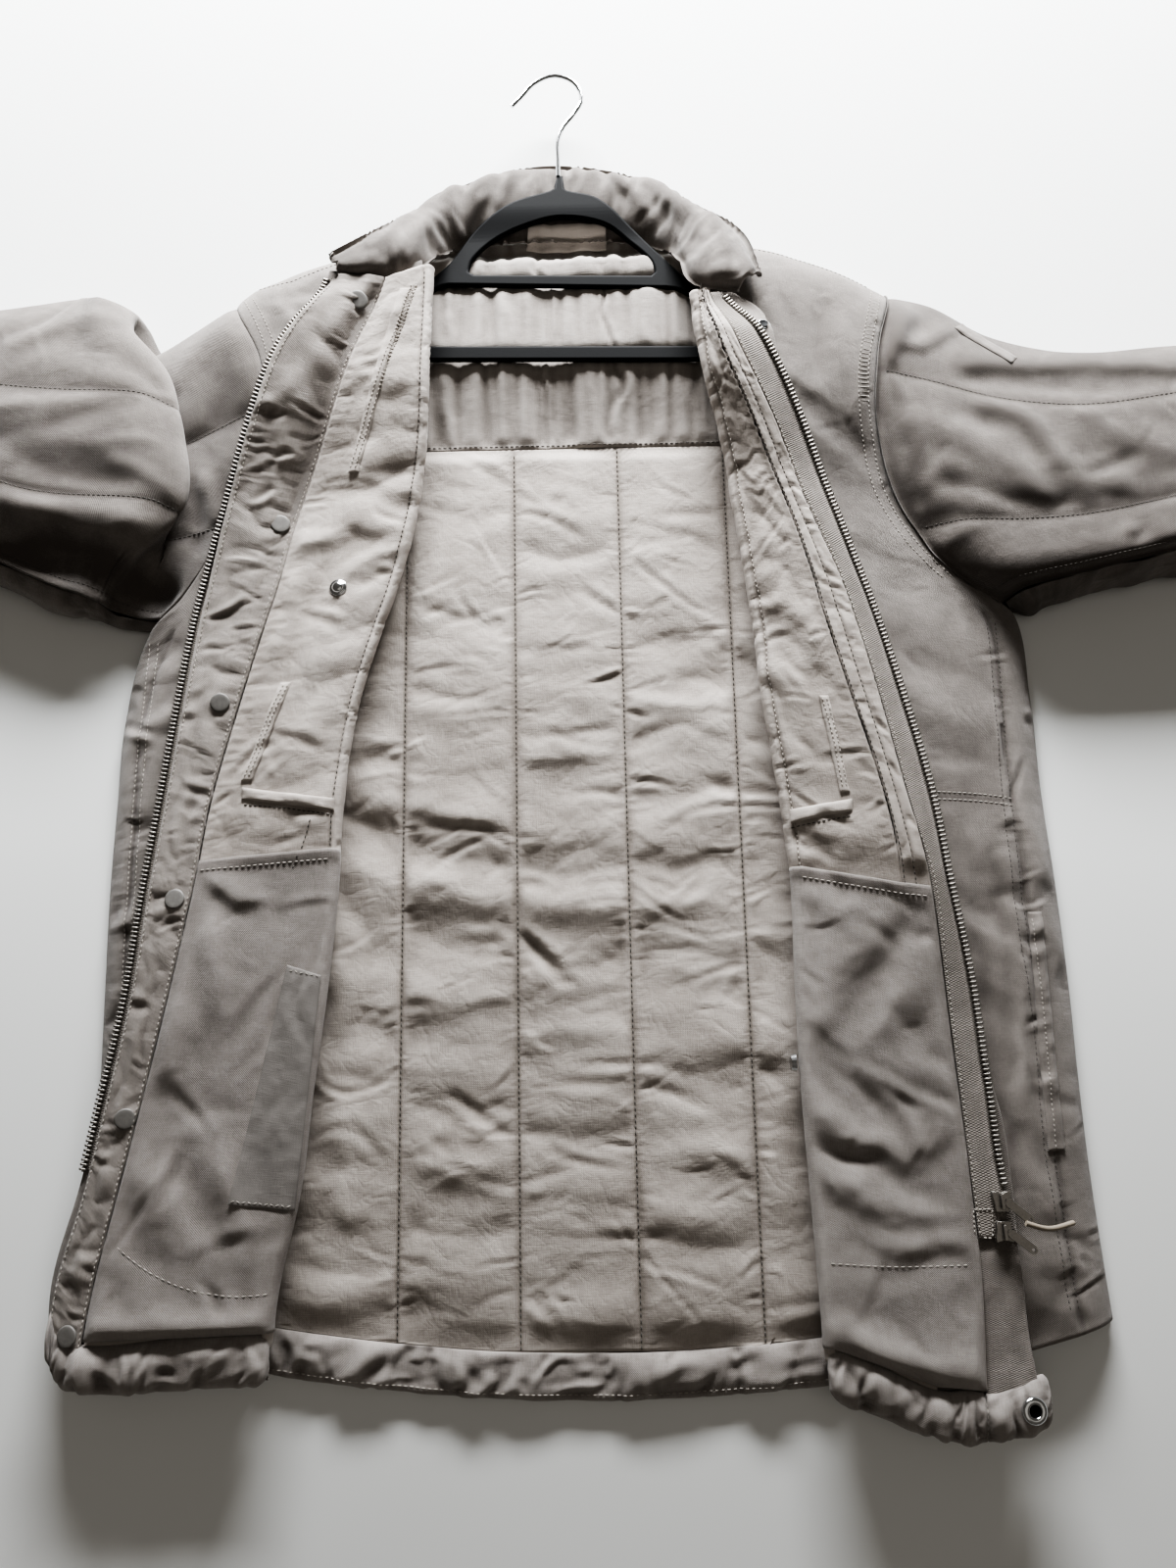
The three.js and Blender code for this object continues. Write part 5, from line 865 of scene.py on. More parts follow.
    # facing
    v_low = 0.014 if letter == "R" else 0.040
    rows = int((1 - v_low) * 750 / STEP); v = np.linspace(v_low, 1.0, rows)[:, None]
    cols = 27 if letter == "R" else 24
    t = np.linspace(0, 1, cols)[None, :]
    x, y = flap_xy(letter, "seam", "zip" if letter == "R" else "tape", 1, 2, t, v, ina=0.7, inb=5.5 if letter == "R" else 0.5)
    hid = ramp(-88, -100, y) if letter == "L" else 0 * y
    z = top_z(letter, x, y) + 5.2 - 1.4 * hid
    if letter == "R":
        tip = ramp(70, 200, y) * ramp(346, 320, y)
        z = z + tip * (6.5 * t - 6.5 * np.exp(-((t - 0.14) / 0.22) ** 2))
    P0 = np.stack([x, y, z], 2)
    N = up_normals(P0, None)
    su3, sv3 = arc_len(P0)
    X, Y = x + 0 * y, y + 0 * x
    wid = su3[:, -1:]
    mid = np.sin(np.pi * np.clip(su3 / wid, 0, 1)) ** 0.6
    wr = noise(X.shape, 9 / STEP, 3.6 / STEP, sd + 11) * 0.9 + noise(X.shape, 14 / STEP, 10 / STEP, sd + 12) * 0.8
    cr = creases(X.shape, 8 / STEP, 7 / STEP, sd + 12) * 0.9 + crumples(X, Y, 260, -34 if letter == "L" else 14, 20, 11, 2.6, 1.2, sd + 14)
    target = ((1.2 + cr) if letter == "R" else (0.7 + 0.8 * cr)) * mid * (1 - hid) - 1.0 * hid * mid
    start = target + wr * mid * (1 - hid)
    pin = np.zeros(X.shape, bool); pin[:, 0] = True; pin[:, -1] = True; pin[0] = True; pin[-1] = True
    if letter == "L":      # two stitch lines run down the facing
        pin[:, int(0.5 * (cols - 1))] = True
        start[:, int(0.5 * (cols - 1))] = 0; target[:, int(0.5 * (cols - 1))] = -0.3
    ev = 0.045 + 0.02 * np.clip(noise(X.shape, 30 / STEP, 30 / STEP, sd + 13), -1, 1)
    P = relax(P0, N, 0.02 * (1 - hid), ev * (1 - hid), start, target, lo=-1.4, hi=np.where(hid + 0 * X > 0.4, 0.1, 6.0), pin=pin, iters=70, kt=0.03, bend=0.03)
    # the wearer's left facing is darkened by -0.12 as painted shade
    piece(f"front_{low}_facing_cloth", P, "facing" if letter == "R" else "lining", t=3.4, edge=0.7, held="folded", rests=(f"front_{low}_shell",), replaces=(f"front_{low}_facing",), painted_light_shade_offset=np.full(X.shape, -0.12 if letter == "L" else 0.0))
    if letter == "R":
        stitches("pale", P, a[a < P.shape[0] - 1], np.full((a < P.shape[0] - 1).sum(), 1.3), 2.4, 1.2, 0.7, 0.05)
        stitches("pale", P, a[a < P.shape[0] - 1], np.full((a < P.shape[0] - 1).sum(), cols - 2.6), 2.4, 1.2, 0.7, 0.05)
    else:
        for f in (0.5,): stitches("quilt", P, a[a < P.shape[0] - 1], np.full((a < P.shape[0] - 1).sum(), float(int(f * (cols - 1)))), 2.6, 1.1, 0.75, 0.05)
        stitches("quilt", P, a[a < P.shape[0] - 1], np.full((a < P.shape[0] - 1).sum(), 1.0), 2.6, 1.1, 0.75, 0.05)
    # hem roll of the flap; on the wearer's left it has a last piece across the foot of the storm flap
    sp = FRONT[letter]
    fold_x = lambda y: line("fold" + letter, y) - d * 1.0
    stops = [(fold_x, sp["flap"][0]), (lambda y: line("seam" + letter, y), sp["flap"][1]), (lambda y: line(("zip" if letter == "R" else "tape") + letter, y) + (2 if letter == "R" else 0), sp["flap"][2])]
    if letter == "L": stops.append((lambda y: line("zipL", y) + herm(STORM[:, 0], STORM[:, 1], y) + 1, sp["flap"][2] + 8))
    k = np.linspace(0, len(stops) - 1, 60 * len(stops))
    ys = np.array([q[1] for q in stops], float)
    yl = herm(np.arange(len(ys)), ys, k)[None, :]
    xs_ = np.array([float(q[0](q[1])) for q in stops])
    xx = herm(np.arange(len(ys)), xs_, k)[None, :]
    n = len(k); s = np.linspace(0, 1, n)[None, :]
    ph = np.radians(np.linspace(-80, 168, 34))[:, None]
    wd = 15.0 + 0.9 * np.sin(k * 5)[None, :]
    zc = top_z(letter, xx, yl + 14) + 1.6
    P0 = np.stack([xx + 0 * ph, yl + wd - wd * np.cos(ph), zc + 7.4 * np.sin(ph)], 2)
    N = np.stack([0 * xx + 0 * ph, -np.cos(ph) + 0 * xx, np.sin(ph) + 0 * xx], 2)
    endf = np.sqrt(np.clip(np.minimum(s, 1 - s) / 0.03, 0, 1))          # rounded ends
    P0[..., 2] = zc + (P0[..., 2] - zc) * (0.25 + 0.75 * endf)
    P0[..., 1] = (yl + wd) + (P0[..., 1] - yl - wd) * (0.6 + 0.4 * endf)
    up = np.clip(np.sin(ph + 0.35), 0, 1) * endf
    XX = P0[..., 0]; YY = P0[..., 1]
    wr = (creases(P0.shape[:2], 8, 7, sd + 21) * 2.4 + crumples(XX, YY, 70, 60, 40, 10, 3.2, 1.5, sd + 23)) * up
    pin = np.zeros(P0.shape[:2], bool); pin[-1] = True
    if letter == "L":
        c = int(np.argmin(np.abs(k - 2.0))); pin[:, c] = True; wr[:, c] = -2.2; wr[:, c - 1] -= 1.0; wr[:, c + 1] -= 1.0
    P = relax(P0, N, 0.02, 0.01, wr, 0.95 * wr, lo=-3.2, hi=5.0, pin=pin, iters=30, kt=0.12, bend=0.06)
    P[..., 2] = np.maximum(P[..., 2], 0.3)
    # the hem rolls are darkened by -0.10 as painted shade
    piece(f"front_{low}_hem_cloth", P, "pocket", t=1.5, held="folded", rests=(f"front_{low}_shell",), replaces=(f"front_{low}_hem_facing",) + (("front_l_hem_end",) if letter == "L" else ()), painted_light_shade_offset=np.full(P.shape[:2], -0.10))
SHELL_L_FOLDS = [  # half width, height (negative is a trough), how much steeper the side towards the hem is, then its points
    (7, -2.6, 0, (182, 323), (175, 291), (171, 261)),
    (6, -2, 0, (150, 328), (154, 299), (152, 272)),
    (10, 2.6, 1, (144, 271), (182, 242), (206, 218), (220, 197)),
    (8, 2, 0, (160, 230), (193, 203), (220, 172)),
    (7, -2.2, 0, (157, 247), (181, 222), (202, 201)),
    (7, 2, 0, (192, 311), (196, 279), (200, 236)),
    (10, 2.6, 1, (187, 158), (212, 136), (246, 125)),
    (8, -3.4, 0, (210, 108), (231, 102)),
    (10, 2.2, 0, (177, 135), (196, 105), (199, 69)),
    (5, 1.6, 0, (254, 119), (259, 90), (260, 47)),
    (9, -2.4, 0, (207, 76), (226, 54), (245, 40)),
    (9, 2.4, 0, (205, 48), (231, 26), (263, 4)),
    (8, -2, 0, (222, 5), (247, -16), (274, -23)),
    (7, 2.2, 0, (237, -57), (256, -70), (267, -91)),
    (6, -2.4, 0, (261, -91), (265, -110), (270, -136)),
    (6, -2.2, 0, (243, -107), (258, -120), (270, -123)),
    (6, 2.2, 0, (247, -129), (263, -139), (275, -152)),
    (6, 2.4, 0, (288, -57), (301, -71), (299, -104)),
    (5, -3, 0, (268, -117), (282, -114), (291, -124)),
    (6, -2.6, 0, (253, -174), (265, -187), (263, -218)),
    (6, 2.4, 0, (269, -206), (277, -222), (273, -243)),
    (5, -2.6, 0, (254, -242), (264, -261), (265, -279)),
    (6, 2.2, 0, (285, -255), (291, -273), (291, -309)),
    (6, -2.6, 0, (265, -314), (276, -327), (292, -328)),
    (5, 2.2, 0, (274, -285), (281, -297), (284, -315)),
    (6, -2.4, 0, (277, -349), (286, -356), (297, -360)),
    (5, 2.4, 0, (272, -366), (284, -371), (304, -367)),
    (5, -3.2, 0, (311, -175), (320, -172)),
    (4, -2.6, 0, (298, -246), (313, -250)),
    (5, -2.6, 0, (303, -107), (315, -111)),
    (4, -2.4, 0, (291, -332), (311, -338)),
    (5, 2.4, 0, (312, -194), (318, -219)),
    (5, 2.4, 0, (306, -130), (314, -156)),
    (4, -3.0, 0, (270, -80), (273, -130), (272, -190), (266, -250), (265, -300)),
    (4, 2.6, 0, (276, -84), (280, -130), (280, -190), (274, -260)),
    (3, -2.4, 0, (286, -60), (290, -110), (289, -170), (284, -240), (282, -290)),
    (6, -2.4, 0, (252, -60), (258, -120), (256, -190), (254, -250)),
]
SHELL_R_FOLDS = [(-186, 336, -214, 352, 3, 6, -2.2), (-220, 330, -206, 310, 3, 7, 2.4), (-240, 180, -258, 110, 3, 8, -2.4), (-276, 80, -318, 60, 3, 7, -2.6),
    (-280, 30, -320, 10, 3, 7, 2.4), (-286, -40, -322, -56, 3, 7, -2.4), (-292, -100, -324, -120, 3, 7, 2.4), (-296, -160, -324, -176, 3, 6, -2.2)]
def under_shell(letter):
    """Outer cloth of a front, from the side to the fold line, facing up."""
    sp = FRONT[letter]; d = sp["dir"]; low = letter.lower()
    sd = 300 if letter == "R" else 400
    wide = 0.62 if letter == "R" else 0.72
    u = np.concatenate([np.linspace(0, wide, int(170 * wide / STEP)), np.linspace(wide, 1, 16)[1:]])[None, :]
    v = np.linspace(0, 1, int(750 / STEP))[:, None]
    lowy = np.where(u < 0.5, lerp(sp["under"][0], sp["under"][1], u * 2), lerp(sp["under"][1], sp["under"][2], u * 2 - 1))
    xt = lerp(line("side" + letter, 345), line("fold" + letter, 352) - d * 3, u)
    high = np.where(u > 0.7, lerp(shoulder(xt), sp["neck"][0], ramp(0.6, 1.05, u)), shoulder(xt) - np.where(u <= 0, 2, 0))
    y = lerp(lowy, high, v)
    x = lerp(line("side" + letter, y), line("fold" + letter, y) - d * 3, u)
    P0 = np.stack([x, y, under_z(x, y) + 1.0], 2)
    N = up_normals(P0, None)
    X, Y = P0[..., 0], P0[..., 1]
    su, sv = arc_len(P0)
    F0 = 0.55 * strokes(X, Y, SHELL_L_FOLDS, 75, 1.2) if letter == "L" else folds(X, Y, SHELL_R_FOLDS)
    shown = 1 - ramp(0, 14, d * (X - (line("zip" + letter, Y) + d * 8)))     # what the flap does not cover
    # seams: the side seam, and the armhole
    sx = line("side" + letter, Y) + d * (24 if letter == "L" else 16)
    ds = np.abs(X - sx)
    seamline = np.exp(-(ds / 1.3) ** 2) * (Y < 88)
    valley = -1.6 * np.exp(-(ds / 3.0) ** 2) * ramp(95, 80, Y)
    edge = ramp(0, 9, su) * ramp(0, 8, sv) * ramp(0, 8, sv[-1:] - sv)
    puck = np.exp(-(ds / 9) ** 2) * ramp(95, 80, Y) + np.exp(-su / 9)
    cr = creases(X.shape, 20 / STEP, 20 / STEP, sd + 2) * 0.8 + crumples(X, Y, 260, 20, 60, 11, 2.6, 1.2, sd + 3, ramp(0.15, 0.6, puck) + 0.25)
    wr = noise(X.shape, 8 / STEP, 2.8 / STEP, sd + 1) * (0.1 + 1.2 * puck)
    target = (F0 + valley + cr) * edge * shown - 0.5 * (1 - shown)
    start = (F0 + valley + cr + wr) * edge * shown - 0.5 * (1 - shown)
    pin = np.zeros(X.shape, bool); pin[:, -1] = True; pin[-1] = True; pin[0] = True; pin[:, 0] = True
    ev = (0.012 + 0.05 * puck) * shown
    hi = np.where(shown > 0.3, 9.0, 0.0)
    P = relax(P0, N, 0.012 * shown, ev, start, target, lo=-3.0, hi=hi, pin=pin, iters=60, kt=0.06, bend=0.05)
    # painted shade along the side seam and, on the left, the cross seam
    seam = 0.4 * seamline
    if letter == "L":
        cs = -45 - 0.06 * (X - 230)
        seam = seam + 0.4 * np.exp(-((Y - cs) / 1.3) ** 2) * (X < sx)
    piece(f"front_{low}_shell_cloth", P, "shell", t=4.5, edge=1.6, seam=seam, held="folded", rests=("back_quilt_lining",), sides="l" + "b" + "t")
    # the shell under the flap, seen only at its rims
    rows = int(750 / 5); v = np.linspace(0.0, 1, rows)[:, None]
    t = np.linspace(0, 1, 14)[None, :]
    x1, y1 = flap_xy(letter, "fold", "seam", 0, 1, t, v, ina=9, inb=0)
    x2, y2 = flap_xy(letter, "seam", "zip" if letter == "R" else "tape", 1, 2, t[:, 1:], v, inb=1.5 if letter == "R" else 0)
    x = np.concatenate([x1, x2], 1); y = np.concatenate([y1, y2], 1)
    P = np.stack([x, y + 6, top_z(letter, x, y) + 1.0], 2)
    piece(f"front_{low}_flap_shell_cloth", P, "shell", t=2.2, edge=0.8, held="folded", rests=(f"front_{low}_shell",), see=False, replaces=(f"front_{low}_shell",))
    return sx

# ---------------------------------------------------------------- sleeves
SLEEVE_R_FOLDS = [  # half width, height (negative is a trough), how much steeper the side towards the hem is, then its points
    (15, 6, 0.6, (-443, 140), (-403, 148), (-384, 157), (-364, 162), (-343, 158), (-322, 148), (-301, 133), (-283, 120), (-261, 118)),
    (15, -5.5, 0, (-441, 118), (-402, 130), (-386, 138), (-362, 136), (-328, 128), (-300, 113), (-279, 103), (-263, 106)),
    (7, 3, 0, (-374, 122), (-340, 113), (-305, 98), (-292, 89)),
    (14, -5, 0, (-451, 221), (-409, 217), (-387, 202), (-366, 189), (-331, 178), (-317, 175)),
    (6, -2.6, 0, (-372, 225), (-342, 236), (-314, 245)),
    (9, 2.4, 0, (-439, 235), (-397, 239), (-363, 244), (-336, 251)),
    (6, -3, 0, (-416, 296), (-396, 305), (-376, 320)),
    (10, 3, 1, (-402, 291), (-381, 303), (-354, 313), (-334, 318)),
    (9, -3.2, 0, (-367, 296), (-338, 286), (-309, 268), (-293, 257)),
    (3, 1.3, 0, (-343, 207), (-321, 214), (-297, 215)),
    (5, 1.6, 0, (-325, 196), (-304, 188), (-283, 173)),
    (7, -2.2, 0, (-364, 167), (-343, 159), (-322, 148), (-308, 137)),
    (6, 2, 0, (-406, 177), (-378, 167), (-357, 165)),
    (5, 2.6, 0, (-273, 202), (-266, 186), (-259, 165), (-253, 146)),
    (4, -3.4, 0, (-277, 202), (-274, 180), (-273, 147)),
    (9, 2.6, 0, (-295, 277), (-289, 259), (-282, 233)),
    (7, -2, 0, (-272, 232), (-258, 255), (-246, 270)),
    (8, 2.2, 0, (-284, 298), (-274, 263), (-269, 232)),
    (5, 2.4, 1, (-283, 120), (-273, 116), (-261, 118)),
    (12, -3, 0, (-636, 210), (-576, 220), (-519, 208), (-465, 218)),
    (12, 3.5, 1, (-624, 173), (-558, 186), (-500, 163)),
]
SLEEVE_L_FOLDS = [  # half width, height (negative is a trough), how much steeper the side towards the hem is, then its points
    (5, 4, 0, (241, 312), (231, 294), (225, 275), (226, 255), (230, 242)),
    (4, -5, 0, (221, 290), (220, 265), (224, 242)),
    (7, -4.5, 0, (244, 306), (248, 298), (250, 291)),
    (5, 3, 1, (230, 286), (245, 284), (264, 292), (276, 300)),
    (9, 4, 1, (276, 269), (307, 265), (342, 263), (369, 260), (425, 256), (495, 259)),
    (8, -4.5, 0, (275, 255), (305, 249), (340, 244), (374, 240), (423, 241)),
    (3, -1.6, 0, (379, 271), (376, 260)),
    (7, -3.2, 0, (267, 228), (282, 218), (296, 209)),
    (6, -3.2, 0, (295, 227), (306, 214), (312, 200), (324, 186)),
    (7, 3, 0, (283, 232), (310, 220), (323, 200), (339, 175), (348, 161)),
    (9, 2.6, 0, (241, 228), (267, 205), (302, 179), (324, 162)),
    (6, -4.5, 0, (256, 177), (267, 169), (290, 162), (317, 157), (341, 155)),
    (4, -3, 0, (239, 167), (245, 181), (253, 192)),
    (5, 2.6, 0, (243, 171), (251, 186), (260, 187), (267, 178)),
    (7, 2.5, 0, (320, 189), (346, 175), (379, 162)),
    (6, -2.6, 0, (332, 182), (351, 174), (374, 180), (390, 191)),
    (5, -2, 0, (370, 218), (382, 205), (391, 197)),
    (9, 2.2, 0, (349, 229), (371, 210), (403, 193), (443, 186)),
    (6, 2.2, 0, (232, 232), (240, 202), (237, 174)),
    (4, -3.6, 0, (215, 233), (215, 206), (218, 184)),
    (5, -4, 0, (239, 139), (248, 149), (269, 152)),
    (4, 3.4, 1, (241, 129), (259, 134), (273, 141)),
    (10, -2.2, 0, (277, 132), (305, 142), (329, 146)),
    (6, 1.4, 0, (259, 117), (286, 114), (313, 116), (347, 122), (408, 126), (476, 130)),
    (4, -3, 0, (247, 118), (261, 101), (278, 89)),
    (12, -3, 0, (487, 207), (555, 198), (625, 204)),
]
def sleeve(letter):
    low = letter.lower(); d = -1 if letter == "R" else 1
    st, joins = SLEEVE[letter], JOINS[letter]
    arm = lambda y: float(line("side" + letter, np.clip(y, 86, 345)))
    wall = 2.4
    z_ = lambda h: wall / 2 + h
    def round_(s, tab): return [(lerp(s[1], s[0], w), z_(s[3] * h), w, h) for w, h in tab]
    up = (0.44, 0.6) if letter == "R" else (0.56, 0.80)
    def flank(s): return [(s[2] + 5, z_(0.03 * s[3]), 0, 0), (s[2], z_(0.26 * s[3]), 0, 0), (s[2] + 2, z_(up[0] * s[3]), 0, 0), (s[1] - 0.9, z_(up[1] * s[3]), 0, 0)]
    first = (float(shoulder(arm(345))) - 1, 94, 89, 16)
    gapx = lambda y: arm(y) + d * 0.8 * math.hypot(1, (arm(y + 4) - arm(y - 4)) / 8)
    top0 = [(y, max(float(under_z(arm(y), y)), z_(9)) if h > 0.6 else z_(h * 10)) for y, _, w, h in round_(first, TOP_SLEEVE)]
    RT = [[(gapx(y), y, z) for y, z in top0]]
    RU = [[(gapx(y), y, z) for y, z, _, _ in round_(first, UNDER_SLEEVE) + flank(first)]]
    x3 = st[0][0]
    for k, top, seam, bot, h, out, deep in joins:
        s = (top, seam, bot, st[0][4] * h)
        plain_x = lambda y: lerp(arm(min(y, 340)), x3, k)
        def dp(w, hh): return deep * float(ramp(0.02, 0.35, w)) * (1 if hh > 0.5 else 0.8 if hh > 0.3 else 0.35 if hh > 0.05 else 0)
        RT.append([(lerp(plain_x(y), float(herm(OVERLAP[:, 0], OVERLAP[:, 1], y)) + out, dp(w, hh)), y, z) for y, z, w, hh in round_(s, TOP_SLEEVE)])
        RU.append([(plain_x(y), y, z) for y, z, _, _ in round_(s, UNDER_SLEEVE) + flank(s)])
    for x, top, seam, bot, h in st:
        s = (top, seam, bot, h)
        RT.append([(x, y, z) for y, z, _, _ in round_(s, TOP_SLEEVE)])
        RU.append([(x, y, z) for y, z, _, _ in round_(s, UNDER_SLEEVE) + flank(s)])
    sd = 500 if letter == "R" else 600
    G, _, _ = spline(np.array(RT), 0, step=2.6)
    G, q, p = spline(G, 1, step=2.5)
    # share of the way from the under-arm seam, for each column
    w = np.interp(q, p, [a for a, _ in TOP_SLEEVE])
    kcol = [int(np.argmin(np.abs(q - np.interp(s, [a for a, _ in TOP_SLEEVE[:6]], p[:6])))) for s in ((0.27, 0.62) if letter == "R" else (0.22, 0.70))]
    G[..., 2] = np.maximum(G[..., 2] + 1.2, 0.6)
    if letter == "L":      # this one stays full down to its under-arm seam
        k3 = int(np.argmin(np.abs(w[: len(w) // 2] - 0.34)))
        for jc in range(k3):
            G[:, jc, 2] += (G[:, k3, 2] - G[:, jc, 2]) * (0.62 + 0.38 * float(ramp(0.0, 0.03, w[jc]))) * np.minimum(1, np.arange(len(G)) / 9.0)
    N = grid_normals(G); N *= np.sign(N[:, : len(q) // 2, 2].mean())
    X, Y = G[..., 0], G[..., 1]
    jj = np.arange(G.shape[1])[None, :]
    su, sv = arc_len(G)
    top = N[..., 2] > 0.15
    dq = np.min([np.abs(su - su[:, k:k + 1]) for k in kcol], axis=0)
    de = np.minimum(su, 60)
    F0 = strokes(X, Y, SLEEVE_R_FOLDS if letter == "R" else SLEEVE_L_FOLDS, 75, 1.1, 0.34, 0.46) * np.clip(N[..., 2] * 1.5, 0, 1)
    edge = ramp(0, 8, su) * ramp(0, 8, sv) * ramp(0, 10, sv[-1:] - sv)
    body = np.clip(dq / 8, 0, 1)
    puff = 2.4 * np.clip(1 - np.exp(-dq / 14), 0, 1)
    wr = noise(X.shape, 14 / 2.5, 14 / 2.6, sd + 1) * 0.5 + noise(X.shape, 4, 1.6, sd + 3) * 1.0 * np.exp(-dq / 7)
    wcol = np.interp(q, p, [a for a, _ in TOP_SLEEVE])
    wcol = np.where(np.arange(len(q)) > np.argmax(wcol), 1.0, wcol)[None, :]
    slump = (-8.0 if letter == "R" else 0.0) * ramp(0.30, 0.02, wcol)
    target = ((F0 * (0.95 if letter == "R" else 1.0) + puff) * body + slump) * edge
    start = target + wr * edge
    cr = (creases(X.shape, 22 / 2.5, 26 / 2.6, sd + 4) * 0.9 + crumples(X, Y, 60, 10, 40, 16, 3.0, 0.8, sd + 5)) * edge * body
    target = target + cr; start = start + cr
    pin = np.zeros(X.shape, bool); pin[0] = True; pin[-1] = True; pin[:, 0] = True; pin[:, -1] = True
    for k in kcol: pin[:, k] = True
    for k in kcol: target[:, k] = (-0.5 + slump[:, k]) * edge[:, k]
    P = relax(G, N, 0.016, 0.016 + 0.03 * np.exp(-dq / 8), start, target, lo=-9.0, hi=9.0, pin=pin, iters=60, kt=0.07, bend=0.06)
    P[..., 2] = np.maximum(P[..., 2], 0.25)
    # painted shade along the sleeve seams
    seam = 0.4 * np.exp(-(dq / 1.5) ** 2)
    # the sleeve tops are darkened by -0.66 as painted shade
    piece(f"sleeve_{low}_top_cloth", P, "shell", t=2.4, edge=0.5, seam=seam, held="laid", rests=("surface",), replaces=(f"sleeve_{low}_top",), sign=1, painted_light_shade_offset=np.full(X.shape, -0.66))
    r = np.arange(2, P.shape[0] - 1, 0.5)
    for k in kcol: stitches("thread", P, r, np.full(len(r), float(k)), 2.4, 1.0, 0.6, 0.05)
    stitches("thread", P, r, np.full(len(r), 2.0), 2.4, 1.0, 0.6, 0.05)
    # under sleeve: lies on the surface, its flank shows below the seam
    G, _, _ = spline(np.array(RU), 0, step=3.2)
    G, q, p = spline(G, 1, step=2.6)
    G[..., 2] = np.maximum(G[..., 2] + 0.6, 0.5)
    N = -up_normals(G, None)
    c = G[:, -8:, :].mean(axis=(0, 1))
    s = np.sign((N[:, -6:, 1]).mean()); N *= -s if s else 1
    su, sv = arc_len(G)
    flk = ramp(0.55, 0.8, q)[None, :]
    X = G[..., 0]
    wr = (noise(X.shape, 3.0, 1.8, sd + 31) * 1.5 + noise(X.shape, 4, 4.5, sd + 32) * 1.6) * flk
    pin = np.zeros(X.shape, bool); pin[0] = True; pin[-1] = True; pin[:, -1] = True
    P = relax(G, N, 0.01, 0.05 * flk + 0 * X, wr, 0.6 * wr, lo=-4, hi=4, pin=pin, iters=50, kt=0.04, bend=0.04)
    P[..., 2] = np.maximum(P[..., 2], 0.2)
    # the under sleeves are darkened by -0.1 as painted shade
    piece(f"sleeve_{low}_under_cloth", P, "shell", t=1.5, held="laid", rests=("surface",), replaces=(f"sleeve_{low}_under",), painted_light_shade_offset=np.full(X.shape, -0.1), sign=1)
    # cuff
    e = st[-1]; rows = []
    for x, grow in ((e[0] - d * 3, -2.2), (e[0] + d * 0.7, 0.4), (e[0] + d * 8, 2.6), (e[0] + d * 20, 2.8), (e[0] + d * 32, 2.2), (e[0] + d * 40, 0.5)):
        a = np.linspace(0, 2 * math.pi, 90)
        cc, ss = np.cos(a), np.sin(a)
        yy = (e[1] + e[3]) / 2 + ((e[1] - e[3]) / 2 + grow) * np.sign(cc) * np.abs(cc) ** 0.7
        zz = 1.2 + (e[4] + grow) * (0.5 + 0.5 * np.sign(ss) * np.abs(ss) ** 0.7)
        rows.append(np.stack([np.full(90, x), yy, np.maximum(zz, 0.6)], 1))
    G, _, _ = spline(np.array(rows), 0, step=2.4)
    rng = noise(G.shape[:2], 2.0, 6, sd + 41)
    G[..., 2] += np.clip(rng, -1.5, 1.5) * 0.5 * ramp(1, 6, G[..., 2])
    piece(f"cuff_{low}_cloth", G, "shell", t=2.2, held="laid", rests=("surface",), replaces=(f"cuff_{low}",), sides="bt")

# ---------------------------------------------------------------- collar
COLLAR_FOLDS = [  # half width, height (negative is a trough), how much steeper the side towards the hem is, then its points
    (5, -2.6, 0, (-76, 445), (-86, 418), (-92, 398)), (6, 3.0, 0, (-64, 446), (-74, 424), (-84, 404)),
    (5, -2.6, 0, (-52, 444), (-62, 424), (-72, 408)), (4, 2.2, 0, (-44, 446), (-54, 428)), (4, -2.0, 0, (-30, 448), (-42, 432)),
    (7, 3.4, 0, (-92, 436), (-102, 404), (-116, 380)), (6, -3.0, 0, (-102, 420), (-112, 396), (-128, 376)),
    (5, 2.4, 0, (-120, 398), (-132, 378), (-150, 362)), (5, -2.2, 0, (-134, 384), (-148, 366)),
    (4, -2.2, 0, (18, 448), (26, 432), (38, 420)), (5, 2.6, 0, (28, 446), (42, 424), (54, 408)), (5, -2.8, 0, (40, 442), (56, 418), (70, 398)),
    (6, 3.2, 0, (56, 438), (74, 414), (88, 390)), (5, -2.4, 0, (76, 420), (92, 394), (100, 370)), (6, 2.4, 0, (98, 400), (108, 372), (110, 350))]
